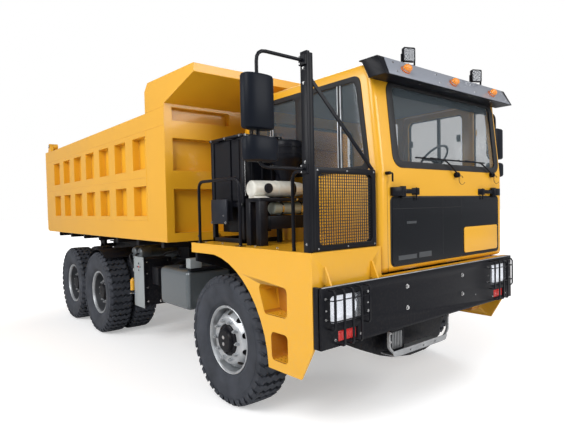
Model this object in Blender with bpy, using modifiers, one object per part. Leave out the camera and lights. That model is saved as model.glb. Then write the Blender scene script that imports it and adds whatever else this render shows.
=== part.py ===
"""Mining dump truck: three axles, an offset cab and a rear tipping body.

X runs to the truck's left, where the cab is, Y runs to its tail and Z up.
The ground is Z = 0, and X = 0, Y = 0 is the middle of the truck seen from above.
"""
import math

import bmesh
import bpy
from mathutils import Matrix, Vector

# Overall sizes and fits
TRUCK_L = 8.66
TRUCK_W = 3.294
SEAT = 0.0003
LAP = 0.004
OVERRUN = 0.03
MERGE = 0.00001
HALF = TRUCK_W / 2
GUARD_REACH = 0.07
NOSE_Y = GUARD_REACH - TRUCK_L / 2
TAIL_Y = TRUCK_L / 2

# Faces round a circle
WHEEL_SIDES = 32
RIM_SIDES = 24
HOLE_SIDES = 6
ROUND_SIDES = 20
PIN_SIDES = 12
CORNER_STEPS = 3
EAR_STEPS = 8
SMALL_EAR_STEPS = 6
SPOKE_SIDES = 8
EDGE_DEGREES = 40
SMOOTH_DEGREES = 32
MITRE_SHARE = 0.2

# Wheels and axles
TYRE_R = 0.685
TYRE_W = 0.375
TYRE_SHOULDER = 0.045
BEAD_R = 0.36
BEAD_W = 0.25
RIM_R = BEAD_R - SEAT
RIM_FLANGE_W = 0.018
RIM_WALL = 0.02
TRACK_OUTER = 1.44
TWIN_GAP = 0.055
TRACK_INNER = TRACK_OUTER - TYRE_W - TWIN_GAP
FRONT_OVERHANG = 1.485
FRONT_TO_BOGIE = 4.74
BOGIE_SPREAD = 1.45
FRONT_AXLE_Y = NOSE_Y + FRONT_OVERHANG
BOGIE_Y = FRONT_AXLE_Y + FRONT_TO_BOGIE
REAR_AXLES = {"mid": BOGIE_Y - BOGIE_SPREAD / 2, "rear": BOGIE_Y + BOGIE_SPREAD / 2}
AXLE_Z = TYRE_R
HUB_R = 0.13
HUB_NOSE = 0.05
NUT_RING_R = 0.21
HAND_HOLE_R = 0.032
HAND_HOLES = 8
HAND_HOLE_RING_R = 0.275
DISC_WALL = 0.022
SPINDLE_R = 0.05

# Steering knuckles and front axle
KINGPIN_INSET = 0.16
KINGPIN_R = 0.035
KNUCKLE_W = 0.11
KNUCKLE_H = 0.16
YOKE_W = 0.12
YOKE_PLATE = 0.045
YOKE_GAP = 0.006
YOKE_STEPS = 6
BEAM_H = 0.13
BEAM_DROP = 0.06
SPRING_X = 0.45
SPRING_W = 0.09
SPRING_H = 0.1
FRONT_SPRING_L = 1.5

# Frame
RAIL_X = 0.35
RAIL_W = 0.1
RAIL_H = 0.34
RAIL_WALL = 0.02
FRAME_TOP = 1.4
CROSS_R = 0.06
TIP_HINGE_FROM_TAIL = 0.56
TIP_HINGE_Z = 1.3
TIP_EAR_W = 0.06
TIP_EAR_R = 0.11
TIP_PIN_R = 0.045
TIP_HINGE_Y = TAIL_Y - TIP_HINGE_FROM_TAIL
TIP_EAR_X = 0.62

# Bumper and lamps
BUMPER_PLATE = 0.03
BUMPER_RETURN = 0.085
BUMPER_LOW = 0.903
BUMPER_TOP = 1.415
LAMP_X = 1.325
LAMP_W = 0.42
LAMP_Z = 1.215
LAMP_H = 0.25
LAMP_DEPTH = 0.09
LAMP_SINK = 0.008
RED_W = 0.24
RED_Z = 0.985
RED_H = 0.11
GUARD_BAR_R = 0.0065
GUARD_W = 0.43
GUARD_LOW = 0.916
GUARD_TOP = 1.38
GUARD_BARS = 5

# Deck and fenders
DECK_TOP = 1.69
DECK_EDGE = 0.106
DECK_WALL = 0.02
DECK_FRONT = 0.09
DECK_REAR = 2.09
ARCH_OVER = 0.007
ARCH_BACK = 0.243
ARCH_DROP = 0.129
ARCH_R = DECK_TOP - DECK_EDGE + ARCH_OVER - AXLE_Z + ARCH_DROP
FENDER_LOW = 0.607
FENDER_KNEE = 0.887
STEP_DEPTH = 0.2
STEP_WALL = 0.012
STEP_FRONT = 0.415
STEP_CORNER = 0.045
LEFT_FENDER_TOP = 1.4

# Cab
CAB_RIGHT = -0.744
CAB_LEFT = 1.631
CAB_FRONT = 0.1
CAB_REAR = 2.31
CAB_LOW = 1.417
CAB_TOP = 3.435
CAB_WALL = 0.06
CAB_BELT = 2.42
CAB_RAKE = 0.09
CAB_EDGE = 0.06
CAB_ROOF_SLOPE = 0.08
WINDOW_LOW = 2.44
WINDOW_TOP = 3.29
WINDOW_CORNER = 0.07
GLASS = 0.012
GLASS_SINK = 0.012
SCREEN_RIGHT = -0.47
SCREEN_LEFT = 1.48
SCREEN_LOW = 2.48
SCREEN_TOP = 3.25
LOWER_RIGHT = -0.59
LOWER_LEFT = 1.51
LOWER_LOW = 1.488
LOWER_TOP = 2.138
DOOR_FRONT = 0.52
DOOR_REAR = 1.53
DOOR_LOW = 1.5
DOOR_TOP = 3.33
DOOR_GAP = 0.008
DOOR_WALL = 0.045
DOOR_FRAME = 0.08
HINGE_R = 0.016
HINGE_L = 0.07
LEAF_L = 0.07

# Dump body
BODY_FRONT = 2.70
BODY_LOW = 1.66
BODY_TOP = 3.34
BODY_WALL = 0.13
BODY_FLOOR = 0.1
BODY_FRONT_WALL = 0.26
GATE_THICK = 0.16
EAR_TOP = 3.72
EAR_L = 0.56
EAR_CHAMFER = 0.1
CANOPY_FRONT = 1.94
CANOPY_LIP = 0.1
CANOPY_LIP_LOW = 3.59
CANOPY_ROOT_LOW = 3.38
POCKET_L = 0.42
POCKET_PITCH = 0.69
POCKET_FIRST = 3.29
POCKET_DEPTH = 0.1
POCKETS = 7
SILL_X = 0.4
SILL_W = 0.1
FRONT_PANEL_SINK = 0.1
POST_W = 0.11

# Running fits
RUN = 0.0004
END_GAP = 0.006
BORE_CAP = 0.02

# Springs, axles and drive line
SADDLE = 0.12
DIFF_R = 0.23
DIFF_HALF = 0.185
DIFF_NOSE_R = 0.16
TUBE_R = 0.085
BOGIE_SPRING_X = 0.6
SHAFT_R = 0.05
SHAFT_Z = 0.93
SHAFT_CLEAR = 0.02
BOGIE_SHAFT_Z = AXLE_Z + SHAFT_R + SHAFT_CLEAR + TUBE_R
BOGIE_SPRING_TOP = 0.98
ENGINE_W = 0.62
ENGINE_FRONT = 0.62
ENGINE_REAR = 1.95
ENGINE_LOW = 0.66
ENGINE_TOP = 1.38
ENGINE_EDGE = 0.04
GEARBOX_W = 0.42
GEARBOX_REAR = 2.3
GEARBOX_LOW = 0.8
GEARBOX_TOP = 1.22

# Frame brackets
OUTRIGGER_W = 0.04
OUTRIGGER_FRONT = 0.3
OUTRIGGER_REAR = 2.02
OUTRIGGER_TIP = 0.1
MOUNT_W = 0.1
MOUNT_L = 0.14
CAB_MOUNTS = (0.42, 2.12)
HOIST_BACK = 2.6
HOIST_Z = 1.12
HOIST_PIN_R = 0.045
HANGER_L = 0.1
ARM_W = 0.06
ARM_H = 0.14
ARM_TOP = 1.24
FRAME_TAIL = 0.1

# Hoist
BARREL_R = 0.125
BARREL_LOW = 1.24
BARREL_TOP = 2.7
FOOT_R = 0.1
FOOT_W = 0.16
HOIST_WALL = 0.016
STAGE_STEP = 0.035
STAGE_LOW_GAP = 0.02
EYE_Z = 3.0
EYE_R = 0.075
EYE_W = 0.09
EYE_PIN_R = 0.04
EYE_PIN_L = 0.24
HOIST_EAR_W = 0.03
HOIST_EAR_R = 0.1
HOIST_SIDES = 20

# Cross shafts, arms and drums
CROSS_STEP = 0.4
TIP_PIN_REACH = 0.68
SHAFT_JOINT = 0.12
ARM_SHARES = (0.2, 0.8)
DRUM_R = 0.2
ARM_REACH = 0.03

# Deck panels, fenders and steps
DECK_INNER = 0.76
ARCH_STEPS = 10
FENDER_TOE_BACK = 0.16
APRON_LOW = 1.2
APRON_LUGS = (-1.5, -0.9)
LUG_H = 0.15
LUG_T = 0.01
FENDER_INNER = 0.95
STEP_OPENINGS = (
    # low, high, rear edge at the low corner, rear edge at the high corner
    (1.094, 1.366, 0.737, 0.839),
    (0.69, 0.948, 0.644, 0.652),
)

# Bumper edges, lamp guards and tow step
BUMPER_EDGE = 0.012
GUARD_RING_SHARES = (0.12, 0.5, 0.88)
RING_SHARE = 0.8
TOW_RIGHT = -0.72
TOW_LEFT = 0.25
TOW_FLARE = 0.06
TOW_LOW = 0.65
TOW_R = 0.02
TOW_TREAD = 0.16
TOW_BACK = 0.05

# Windows, door hinges and handle
RIGHT_WINDOWS = (
    # front, rear, lean of the front edge
    (0.26, 1.16, 0.11),
    (1.257, 2.12, 0.0),
)
LEFT_WINDOWS = (
    (0.21, 0.45, 0.08),
    (1.62, 2.12, 0.0),
)
BACK_RIGHT = -0.4
BACK_LEFT = 1.3
LOWER_SINK = 0.012
HINGE_OUT = 0.018
HINGE_AHEAD = 0.012
HINGE_X = CAB_LEFT + HINGE_OUT
HINGE_Y = NOSE_Y + DOOR_FRONT - HINGE_AHEAD
HINGE_ZS = (1.7, 2.25, 2.95)
LUG_GAP = 0.0004
HANDLE_INSET = 0.1
HANDLE_Y = NOSE_Y + DOOR_REAR - HANDLE_INSET
HANDLE_Z = 2.1
HANDLE_L = 0.2
HANDLE_OUT = 0.05
HANDLE_T = 0.014

# Lamp visor
VISOR_REACH = 0.12
VISOR_LOW = 3.26
VISOR_LEAN = 0.1
VISOR_SEAT_SHARE = 0.9
VISOR_LAP = 0.03
VISOR_T = 0.012
VISOR_RIGHT = -0.79
VISOR_LEFT = 1.66
MARKER_XS = (-0.25, 0.5, 1.35)
MARKER_W = 0.12
MARKER_H = 0.06
MARKER_T = 0.05
WORK_LAMP_XS = (-0.25, 0.95)
WORK_LAMP_W = 0.15
WORK_LAMP_T = 0.06
WORK_LAMP_FOOT = 0.03

# Dash and seat
DASH_RIGHT = 0.25
DASH_LEFT = 1.5
DASH_L = 0.3
DASH_TOP = 2.4
DASH_EDGE = 0.03
COLUMN_SINK = 0.1
COLUMN_R = 0.03
DRIVER_X = 1.0
WHEEL_BACK = 0.66
WHEEL_Z = 2.62
STEER_R = 0.22
STEER_GRIP = 0.016
SEAT_FRONT = 0.95
SEAT_W = 0.5
SEAT_L = 0.55
SEAT_Z = 1.95
SEAT_PAD = 0.13
SEAT_BACK_H = 0.75

# Guard, handrails and mirrors
POST_BACK = 0.15
POST_X = -1.6
POST_SIZE = 0.08
POST_TOP = 3.336
MESH_FRAME = 0.05
MESH_END = 0.02
MESH_TOP = 2.4
MESH_WIRE = 0.006
MESH_COLUMNS = 8
MESH_ROWS = 7
BRACE_TOP = 3.14
BRACE_R = 0.02
RAIL_TOP = 2.37
RAIL_BEND = 0.07
RAIL_R = 0.017
GRAB_BACK = 0.36
HOOP_FRONT = 1.17
HOOP_REAR = 1.97
LEFT_MIRROR_BACK = 0.42
MIRROR_X = 2.115
MIRROR_BEND = 0.08
ARM_HIGH = 3.26
ARM_LOW = 2.38
MIRROR_HEADS = ((2.66, 3.07), (2.42, 2.61))
MIRROR_W = 0.28
MIRROR_T = 0.09
MIRROR_EDGE = 0.03
MIRROR_ARM_R = 0.014

# Deck equipment
COOLER_OUT = 1.38
COOLER_IN = 0.85
COOLER_FRONT = 1.42
COOLER_REAR = 2.06
COOLER_LOW = 2.1
COOLER_TOP = 2.86
COOLER_EDGE = 0.012
COOLER_LEG = 0.05
SIDE_BOX_T = 0.1
SIDE_BOX_L = 0.4
SIDE_BOX_LOW = 1.9
SIDE_BOX_TOP = 2.17
SILENCER_BACK = 1.12
SILENCER_R = 0.085
SILENCER_L = 0.7
SILENCER_OUT = 1.5
SILENCER_Z = 2.26
SILENCER_POST = 0.13
SILENCER_LAP = 0.016
CLEANER_BACK = 1.17
CLEANER_X = 1.0
CLEANER_R = 0.2
CLEANER_LOW = 2.36
CLEANER_CONE = 2.5
CLEANER_TOP = 2.85
CLEANER_FOOT = 0.03
CLEANER_LEG = 0.15
CLEANER_CAP_SHARE = 0.6
TANK_CAP_SHARE = 0.7

# Tanks and boxes beside the frame
TANK_OUT = 1.5
TANK_DEPTH = 0.65
TANK_FRONT = 2.49
TANK_L = 0.79
TANK_LOW = 0.81
TANK_TOP = 1.31
TANK_EDGE = 0.06
BOX_FRONT = 3.79
BOX_L = 0.36
BOX_DEPTH = 0.45
BOX_LOW = 0.65
BOX_TOP = 1.39
BOX_PLATE = 0.02
BOX_LIP = 0.03
AIR_TANK_X = 1.2
AIR_TANK_R = 0.15
AIR_TANK_L = 0.85
AIR_TANK_FRONT = 3.5
AIR_TANK_Z = ARM_TOP - ARM_H / 2

# Body pockets, hoist housing and ribs
POCKET_ROWS = ((1.99, 2.39), (2.62, 3.05))
ROOM_SLOPE = 0.1
BAY_WALL = 0.03
BAY_HALF = 0.26
BAY_LEAN = 0.31
BAY_HEAD = 0.16
BAY_TOP = 3.16
BAY_EAR_SINK = 0.215
PANEL_ROWS = ((1.773, 2.326), (2.558, 2.961), (3.18, 3.34))
RIB_OUT = 0.69
SILL_SHORT = 0.15
SILL_START = 0.12
RIB_COUNT = 7
RIB_REACH = 1.6
RIB_W = 0.08
RIB_H = 0.08

# Tailgate
GATE_GAP = 0.006
GATE_PIN_BACK = 0.12
GATE_PIN_Z = 3.47
GATE_PIN_R = 0.025
GATE_PIN_L = 0.14
GATE_EAR_X = 1.585
GATE_EAR_W = 0.06
GATE_EAR_R = 0.06
GATE_EAR_L = 0.26
GATE_SIDE = 0.02
GATE_LOW = 1.68
GATE_TOP = 3.36
GATE_PLATE = 0.03
GATE_RIB = 0.12
GATE_RIBS = 6

PAINTS = {
    # name: (colour, roughness, metallic)
    "yellow_paint": ((0.871, 0.445, 0.032, 1.0), 0.35, 0.0),
    "black_paint": ((0.016, 0.018, 0.024, 1.0), 0.4, 0.0),
    "chassis_black": ((0.025, 0.027, 0.032, 1.0), 0.55, 0.1),
    "tyre_rubber": ((0.032, 0.035, 0.042, 1.0), 0.8, 0.0),
    "rim_silver": ((0.46, 0.48, 0.49, 1.0), 0.4, 0.6),
    "bright_steel": ((0.6, 0.6, 0.6, 1.0), 0.2, 1.0),
    "engine_grey": ((0.1, 0.11, 0.12, 1.0), 0.55, 0.4),
    "light_grey": ((0.4, 0.42, 0.43, 1.0), 0.5, 0.2),
    "cab_glass": ((0.25, 0.3, 0.32, 0.35), 0.05, 0.0),
    "dark_glass": ((0.012, 0.014, 0.018, 1.0), 0.08, 0.0),
    "lamp_glass": ((0.7, 0.72, 0.75, 1.0), 0.1, 0.0),
    "seat_fabric": ((0.16, 0.03, 0.03, 1.0), 0.85, 0.0),
    "cast_iron": ((0.04, 0.04, 0.045, 1.0), 0.6, 0.5),
}

ACROSS = Vector((1, 0, 0))

# How an outline's two directions and its depth lie in space
PLANES = {
    "yz": Matrix(((0, 0, 1, 0), (1, 0, 0, 0), (0, 1, 0, 0), (0, 0, 0, 1))),
    "xz": Matrix(((1, 0, 0, 0), (0, 0, -1, 0), (0, 1, 0, 0), (0, 0, 0, 1))),
    "xy": Matrix.Identity(4),
}


def start_clean():
    """Remove what the file holds and make the truck's collection and the cutters' one."""
    for item in list(bpy.data.objects):
        bpy.data.objects.remove(item, do_unlink=True)
    groups = []
    for name in ("mining_dump_truck", "cutters"):
        group = bpy.data.collections.new(name)
        bpy.context.scene.collection.children.link(group)
        groups.append(group)
    return groups


TRUCK, CUTTERS = start_clean()


def paint(name):
    """Give the material of this name, made at its first use."""
    found = bpy.data.materials.get(name)
    if found:
        return found
    colour, roughness, metallic = PAINTS[name]
    made = bpy.data.materials.new(name)
    made.use_nodes = True
    shader = made.node_tree.nodes["Principled BSDF"]
    shader.inputs["Base Color"].default_value = colour
    shader.inputs["Alpha"].default_value = colour[3]
    shader.inputs["Roughness"].default_value = roughness
    shader.inputs["Metallic"].default_value = metallic
    made.diffuse_color = colour
    return made


def behind(distance):
    """Turn a distance behind the bumper's face into a place along the truck."""
    return NOSE_Y + distance


def work_object(data):
    """Put a mesh or a curve into the scene as a hidden working object."""
    item = bpy.data.objects.new("work", data)
    CUTTERS.objects.link(item)
    item.hide_render = True
    item.display_type = 'WIRE'
    return item


def settle(item):
    """Turn a working object into a plain welded mesh in world space."""
    bpy.context.view_layer.update()
    graph = bpy.context.evaluated_depsgraph_get()
    mesh = bpy.data.meshes.new_from_object(item.evaluated_get(graph))
    mesh.transform(item.matrix_world)
    bpy.data.objects.remove(item, do_unlink=True)
    shape = bmesh.new()
    shape.from_mesh(mesh)
    bmesh.ops.remove_doubles(shape, verts=shape.verts, dist=MERGE)
    bmesh.ops.recalc_face_normals(shape, faces=shape.faces)
    shape.to_mesh(mesh)
    shape.free()
    return work_object(mesh)


def from_shape(shape):
    """Turn a bmesh into a working object."""
    mesh = bpy.data.meshes.new("work")
    shape.to_mesh(mesh)
    shape.free()
    return work_object(mesh)


def box(low, high):
    """Make a box between two corners."""
    low, high = Vector(low), Vector(high)
    shape = bmesh.new()
    place = Matrix.Translation((low + high) / 2) @ Matrix.Diagonal((*(high - low), 1))
    bmesh.ops.create_cube(shape, size=1, matrix=place)
    return from_shape(shape)


def rod(start, end, radius, sides=PIN_SIDES, twist=0):
    """Make a round bar between two points, its faces twisted by an angle."""
    start, end = Vector(start), Vector(end)
    run = end - start
    turn = run.to_track_quat('Z', 'Y').to_matrix().to_4x4() @ Matrix.Rotation(twist, 4, 'Z')
    place = Matrix.Translation((start + end) / 2) @ turn
    shape = bmesh.new()
    bmesh.ops.create_cone(shape, cap_ends=True, segments=sides, radius1=radius, radius2=radius,
                          depth=run.length, matrix=place)
    return from_shape(shape)


def bore_radius(radius, sides):
    """Give the radius of a faceted bore that clears a shaft of this radius as it turns."""
    return (radius + RUN) / math.cos(math.pi / sides)


def bore(start, end, radius):
    """Make the cutter for a bore round a shaft, its faces across from the shaft's corners."""
    return rod(start, end, bore_radius(radius, PIN_SIDES), twist=math.pi / PIN_SIDES)


def prism(outlines, plane, low, high):
    """Extrude a flat outline, with any holes after it, from low to high across its plane."""
    curve = bpy.data.curves.new("outline", 'CURVE')
    curve.dimensions = '2D'
    curve.fill_mode = 'BOTH'
    curve.extrude = (high - low) / 2
    for outline in outlines:
        spline = curve.splines.new('POLY')
        spline.points.add(len(outline) - 1)
        for point, (across, up) in zip(spline.points, outline):
            point.co = (across, up, 0, 1)
        spline.use_cyclic_u = True
    item = work_object(curve)
    middle = (low + high) / 2
    depth = -middle if plane == "xz" else middle
    item.matrix_world = PLANES[plane] @ Matrix.Translation((0, 0, depth))
    return settle(item)


def tube(points, radius, smoothness=2):
    """Make a bent tube through the points, square at no smoothness and eight-sided at two."""
    curve = bpy.data.curves.new("tube", 'CURVE')
    curve.dimensions = '3D'
    curve.bevel_depth = radius
    curve.bevel_resolution = smoothness
    curve.use_fill_caps = True
    spline = curve.splines.new('POLY')
    spline.points.add(len(points) - 1)
    for point, place in zip(spline.points, points):
        point.co = (*place, 1)
    return settle(work_object(curve))


def turned(profile, centre, outward, steps=WHEEL_SIDES):
    """Turn a profile of (radius, distance outward) about an axis through the centre.

    A profile that starts on the axis ends there too, and any other is a closed ring.
    """
    mesh = bpy.data.meshes.new("profile")
    points = [(radius, 0, along) for radius, along in profile]
    edges = [(index, index + 1) for index in range(len(points) - 1)]
    if profile[0][0] > 0:
        edges.append((len(points) - 1, 0))
    mesh.from_pydata(points, edges, [])
    item = work_object(mesh)
    screw = item.modifiers.new("turn", 'SCREW')
    screw.steps = steps
    screw.render_steps = steps
    screw.use_merge_vertices = True
    screw.merge_threshold = MERGE
    turn = Vector(outward).to_track_quat('Z', 'Y').to_matrix().to_4x4()
    item.matrix_world = Matrix.Translation(centre) @ turn
    return settle(item)


def combine(body, others, operation):
    """Unite the others with the body, cut them from it, or keep what they share."""
    for other in others:
        step = body.modifiers.new("combine", 'BOOLEAN')
        step.operation = operation
        step.solver = 'EXACT'
        step.object = other
    done = settle(body)
    for other in others:
        bpy.data.objects.remove(other, do_unlink=True)
    return done


def united(pieces):
    """Unite a list of pieces into one body."""
    return combine(pieces[0], pieces[1:], 'UNION') if len(pieces) > 1 else pieces[0]


def cut(body, cutters):
    """Take the cutters out of the body, all at once where they lie apart."""
    return combine(body, [gathered(cutters)], 'DIFFERENCE')


def gathered(pieces):
    """Put pieces that lie apart into one working object."""
    shape = bmesh.new()
    for piece in pieces:
        shape.from_mesh(piece.data)
        bpy.data.objects.remove(piece, do_unlink=True)
    return from_shape(shape)


def softened(piece, width, segments=2, angle=math.radians(EDGE_DEGREES)):
    """Round the edges of a piece that turn more than the angle."""
    bevel = piece.modifiers.new("edges", 'BEVEL')
    bevel.width = width
    bevel.segments = segments
    bevel.limit_method = 'ANGLE'
    bevel.angle_limit = angle
    return settle(piece)


def keep(piece, name, colour, joint=None):
    """Name a finished piece, paint it and hang it on its joint."""
    CUTTERS.objects.unlink(piece)
    TRUCK.objects.link(piece)
    piece.name = name
    piece.data.name = name
    piece.hide_render = False
    piece.display_type = 'TEXTURED'
    piece.data.materials.clear()
    piece.data.materials.append(paint(colour))
    piece.data.shade_smooth()
    piece.data.set_sharp_from_angle(angle=math.radians(SMOOTH_DEGREES))
    if joint:
        piece.parent = joint
        piece.matrix_parent_inverse = joint.matrix_world.inverted()
    return piece


def joint_at(name, place, parent=None):
    """Set an empty on a joint's axis."""
    empty = bpy.data.objects.new(name, None)
    TRUCK.objects.link(empty)
    empty.location = place
    bpy.context.view_layer.update()
    if parent:
        empty.parent = parent
        empty.matrix_parent_inverse = parent.matrix_world.inverted()
        bpy.context.view_layer.update()
    return empty


def arc(centre, radius, start, end, steps):
    """List points on an arc, in degrees from the first direction towards the second."""
    angles = [math.radians(start + (end - start) * step / steps) for step in range(steps + 1)]
    return [(centre[0] + radius * math.cos(a), centre[1] + radius * math.sin(a)) for a in angles]


def rounded(corners, radius, steps=CORNER_STEPS):
    """Round each corner of an outline."""
    outline = []
    count = len(corners)
    for index, corner in enumerate(corners):
        here = Vector(corner)
        before = (Vector(corners[index - 1]) - here).normalized()
        after = (Vector(corners[(index + 1) % count]) - here).normalized()
        half_turn = before.angle(after) / 2
        reach = radius / math.tan(half_turn)
        middle = here + (before + after).normalized() * radius / math.sin(half_turn)
        first = here + before * reach - middle
        last = here + after * reach - middle
        for step in range(steps + 1):
            share = step / steps
            spoke = first.slerp(last, share)
            outline.append(tuple(middle + spoke.normalized() * radius))
    return outline


def rectangle(low, high):
    """List the corners of a rectangle."""
    return [(low[0], low[1]), (high[0], low[1]), (high[0], high[1]), (low[0], high[1])]


def grown(outline, margin):
    """Move the sides of a convex outline outward by a margin, or inward if it is negative."""
    area = 0
    count = len(outline)
    for index in range(count):
        here, after = outline[index], outline[(index + 1) % count]
        area += here[0] * after[1] - after[0] * here[1]
    turn = 1 if area > 0 else -1
    result = []
    for index in range(count):
        here = Vector(outline[index])
        inward = (here - Vector(outline[index - 1])).normalized()
        onward = (Vector(outline[(index + 1) % count]) - here).normalized()
        first = Vector((inward.y, -inward.x)) * turn
        second = Vector((onward.y, -onward.x)) * turn
        both = (first + second).normalized()
        result.append(tuple(here + both * margin / max(both.dot(first), MITRE_SHARE)))
    return result


# Wheels
def tyre(side, centre_x, centre_y):
    """Make a tyre with its bead open to the rim."""
    half = TYRE_W / 2
    bead = BEAD_W / 2
    wall_r = (TYRE_R + BEAD_R) / 2
    profile = [(BEAD_R, bead), (wall_r, half), (TYRE_R - TYRE_SHOULDER, half),
               (TYRE_R, half - TYRE_SHOULDER)]
    mirror = [(radius, -along) for radius, along in reversed(profile)]
    return turned(profile + mirror, (side * centre_x, centre_y, AXLE_Z), (side, 0, 0))


def rim_barrel(reach):
    """List the section of a rim's barrel that reaches as far to either side."""
    inner = RIM_R - RIM_WALL
    return [(RIM_R, -reach), (inner, -reach), (inner, reach), (RIM_R, reach)]


def hand_holes(side, centre_x, centre_y, depth):
    """Make the cutters for the holes round a wheel's disc."""
    holes = []
    for index in range(HAND_HOLES):
        angle = 2 * math.pi * index / HAND_HOLES
        y = centre_y + HAND_HOLE_RING_R * math.cos(angle)
        z = AXLE_Z + HAND_HOLE_RING_R * math.sin(angle)
        holes.append(rod((side * (centre_x - depth), y, z), (side * (centre_x + depth), y, z),
                         HAND_HOLE_R, sides=HOLE_SIDES))
    return holes


def front_rim(side):
    """Make a front rim: a barrel, and a disc that bulges outward to a hub with a blind bore."""
    nose = BEAD_W / 2 + DISC_WALL + HUB_NOSE
    face = TYRE_W / 2 - TYRE_SHOULDER
    inner = RIM_R - RIM_WALL + LAP
    cone_r = (inner + NUT_RING_R) / 2
    hole = bore_radius(SPINDLE_R, RIM_SIDES)
    centre = (side * TRACK_OUTER, FRONT_AXLE_Y, AXLE_Z)
    barrel = turned(rim_barrel(BEAD_W / 2 + RIM_FLANGE_W), centre, (side, 0, 0))
    dish = turned([(0, nose - BORE_CAP), (hole, nose - BORE_CAP), (hole, 0), (HUB_R, 0),
                   (HUB_R, face - DISC_WALL), (NUT_RING_R, face - DISC_WALL),
                   (cone_r, face / 2 - DISC_WALL), (inner, -DISC_WALL), (inner, DISC_WALL),
                   (cone_r, face / 2), (NUT_RING_R, face), (HUB_R, face), (HUB_R, nose), (0, nose)],
                  centre, (side, 0, 0), RIM_SIDES)
    return cut(united([barrel, dish]), hand_holes(side, TRACK_OUTER, FRONT_AXLE_Y, TYRE_W / 2))


def twin_rim(side, centre_y):
    """Make the twin wheels' barrel, disc and hub, with a blind bore for the axle's end."""
    inner = RIM_R - RIM_WALL + LAP
    spread = (TRACK_OUTER - TRACK_INNER) / 2
    hole = bore_radius(TUBE_R, RIM_SIDES)
    centre = (side * (TRACK_OUTER + TRACK_INNER) / 2, centre_y, AXLE_Z)
    disc = [(0, spread - BORE_CAP), (hole, spread - BORE_CAP), (hole, -spread), (HUB_R, -spread),
            (HUB_R, 0), (inner, -DISC_WALL), (inner, DISC_WALL), (NUT_RING_R, DISC_WALL * 2),
            (HUB_R, DISC_WALL * 2), (HUB_R, spread), (0, spread)]
    barrel = rim_barrel(spread + BEAD_W / 2 + RIM_FLANGE_W)
    return united([turned(barrel, centre, (side, 0, 0)),
                   turned(disc, centre, (side, 0, 0), RIM_SIDES)])


def knuckle(side):
    """Make a steering knuckle: a boss on its kingpin, with a spindle, a brake drum and an arm."""
    pin_x = side * (TRACK_OUTER - KINGPIN_INSET)
    nose = TRACK_OUTER + BEAD_W / 2 + DISC_WALL + HUB_NOSE
    half = KNUCKLE_H / 2
    plate = YOKE_GAP + YOKE_PLATE
    boss = rod((pin_x, FRONT_AXLE_Y, AXLE_Z - half), (pin_x, FRONT_AXLE_Y, AXLE_Z + half), KNUCKLE_W / 2)
    pin = rod((pin_x, FRONT_AXLE_Y, AXLE_Z - half - plate), (pin_x, FRONT_AXLE_Y, AXLE_Z + half + plate),
              KINGPIN_R)
    spindle = rod((pin_x, FRONT_AXLE_Y, AXLE_Z),
                  (side * (nose - BORE_CAP - END_GAP), FRONT_AXLE_Y, AXLE_Z), SPINDLE_R,
                  twist=math.pi / RIM_SIDES)
    drum_in = KNUCKLE_W / 2 + YOKE_GAP * 2
    drum = rod((pin_x + side * drum_in, FRONT_AXLE_Y, AXLE_Z),
               (side * (TRACK_OUTER - DISC_WALL), FRONT_AXLE_Y, AXLE_Z), DRUM_R, sides=ROUND_SIDES)
    arm_x = sorted((pin_x + side * KNUCKLE_W / 4, pin_x + side * (drum_in + LAP)))
    arm = box((arm_x[0], FRONT_AXLE_Y + LAP, AXLE_Z - half + LAP),
              (arm_x[1], FRONT_AXLE_Y + DRUM_R + ARM_REACH, AXLE_Z - half / 2))
    return united([boss, pin, spindle, drum, arm])


def wheels():
    """Make all the wheels on their joints."""
    for side, name in ((-1, "right"), (1, "left")):
        kingpin = joint_at("steer_" + name, (side * (TRACK_OUTER - KINGPIN_INSET), FRONT_AXLE_Y, AXLE_Z))
        spin = joint_at("spin_front_" + name, (side * TRACK_OUTER, FRONT_AXLE_Y, AXLE_Z), kingpin)
        keep(knuckle(side), "knuckle_" + name, "cast_iron", kingpin)
        keep(tyre(side, TRACK_OUTER, FRONT_AXLE_Y), "tyre_front_" + name, "tyre_rubber", spin)
        keep(front_rim(side), "rim_front_" + name, "rim_silver", spin)
        for place, y in REAR_AXLES.items():
            spin = joint_at("spin_%s_%s" % (place, name), (side * TRACK_OUTER, y, AXLE_Z))
            ending = "%s_%s" % (place, name)
            keep(tyre(side, TRACK_OUTER, y), "tyre_outer_" + ending, "tyre_rubber", spin)
            keep(tyre(side, TRACK_INNER, y), "tyre_inner_" + ending, "tyre_rubber", spin)
            keep(twin_rim(side, y), "rim_twin_" + ending, "rim_silver", spin)


# Axles, springs and drive line
def leaf_pack(x, low, top, centre_y, length):
    """Make a leaf spring pack, level below and stepped up to its saddle."""
    half = length / 2
    rise = (top - low) / 2
    flat = half - HANGER_L
    outline = [(centre_y - half, low), (centre_y + half, low), (centre_y + half, low + rise),
               (centre_y + flat, low + rise), (centre_y + SADDLE, top), (centre_y - SADDLE, top),
               (centre_y - flat, low + rise), (centre_y - half, low + rise)]
    return prism([outline], "yz", x - SPRING_W / 2, x + SPRING_W / 2)


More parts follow.
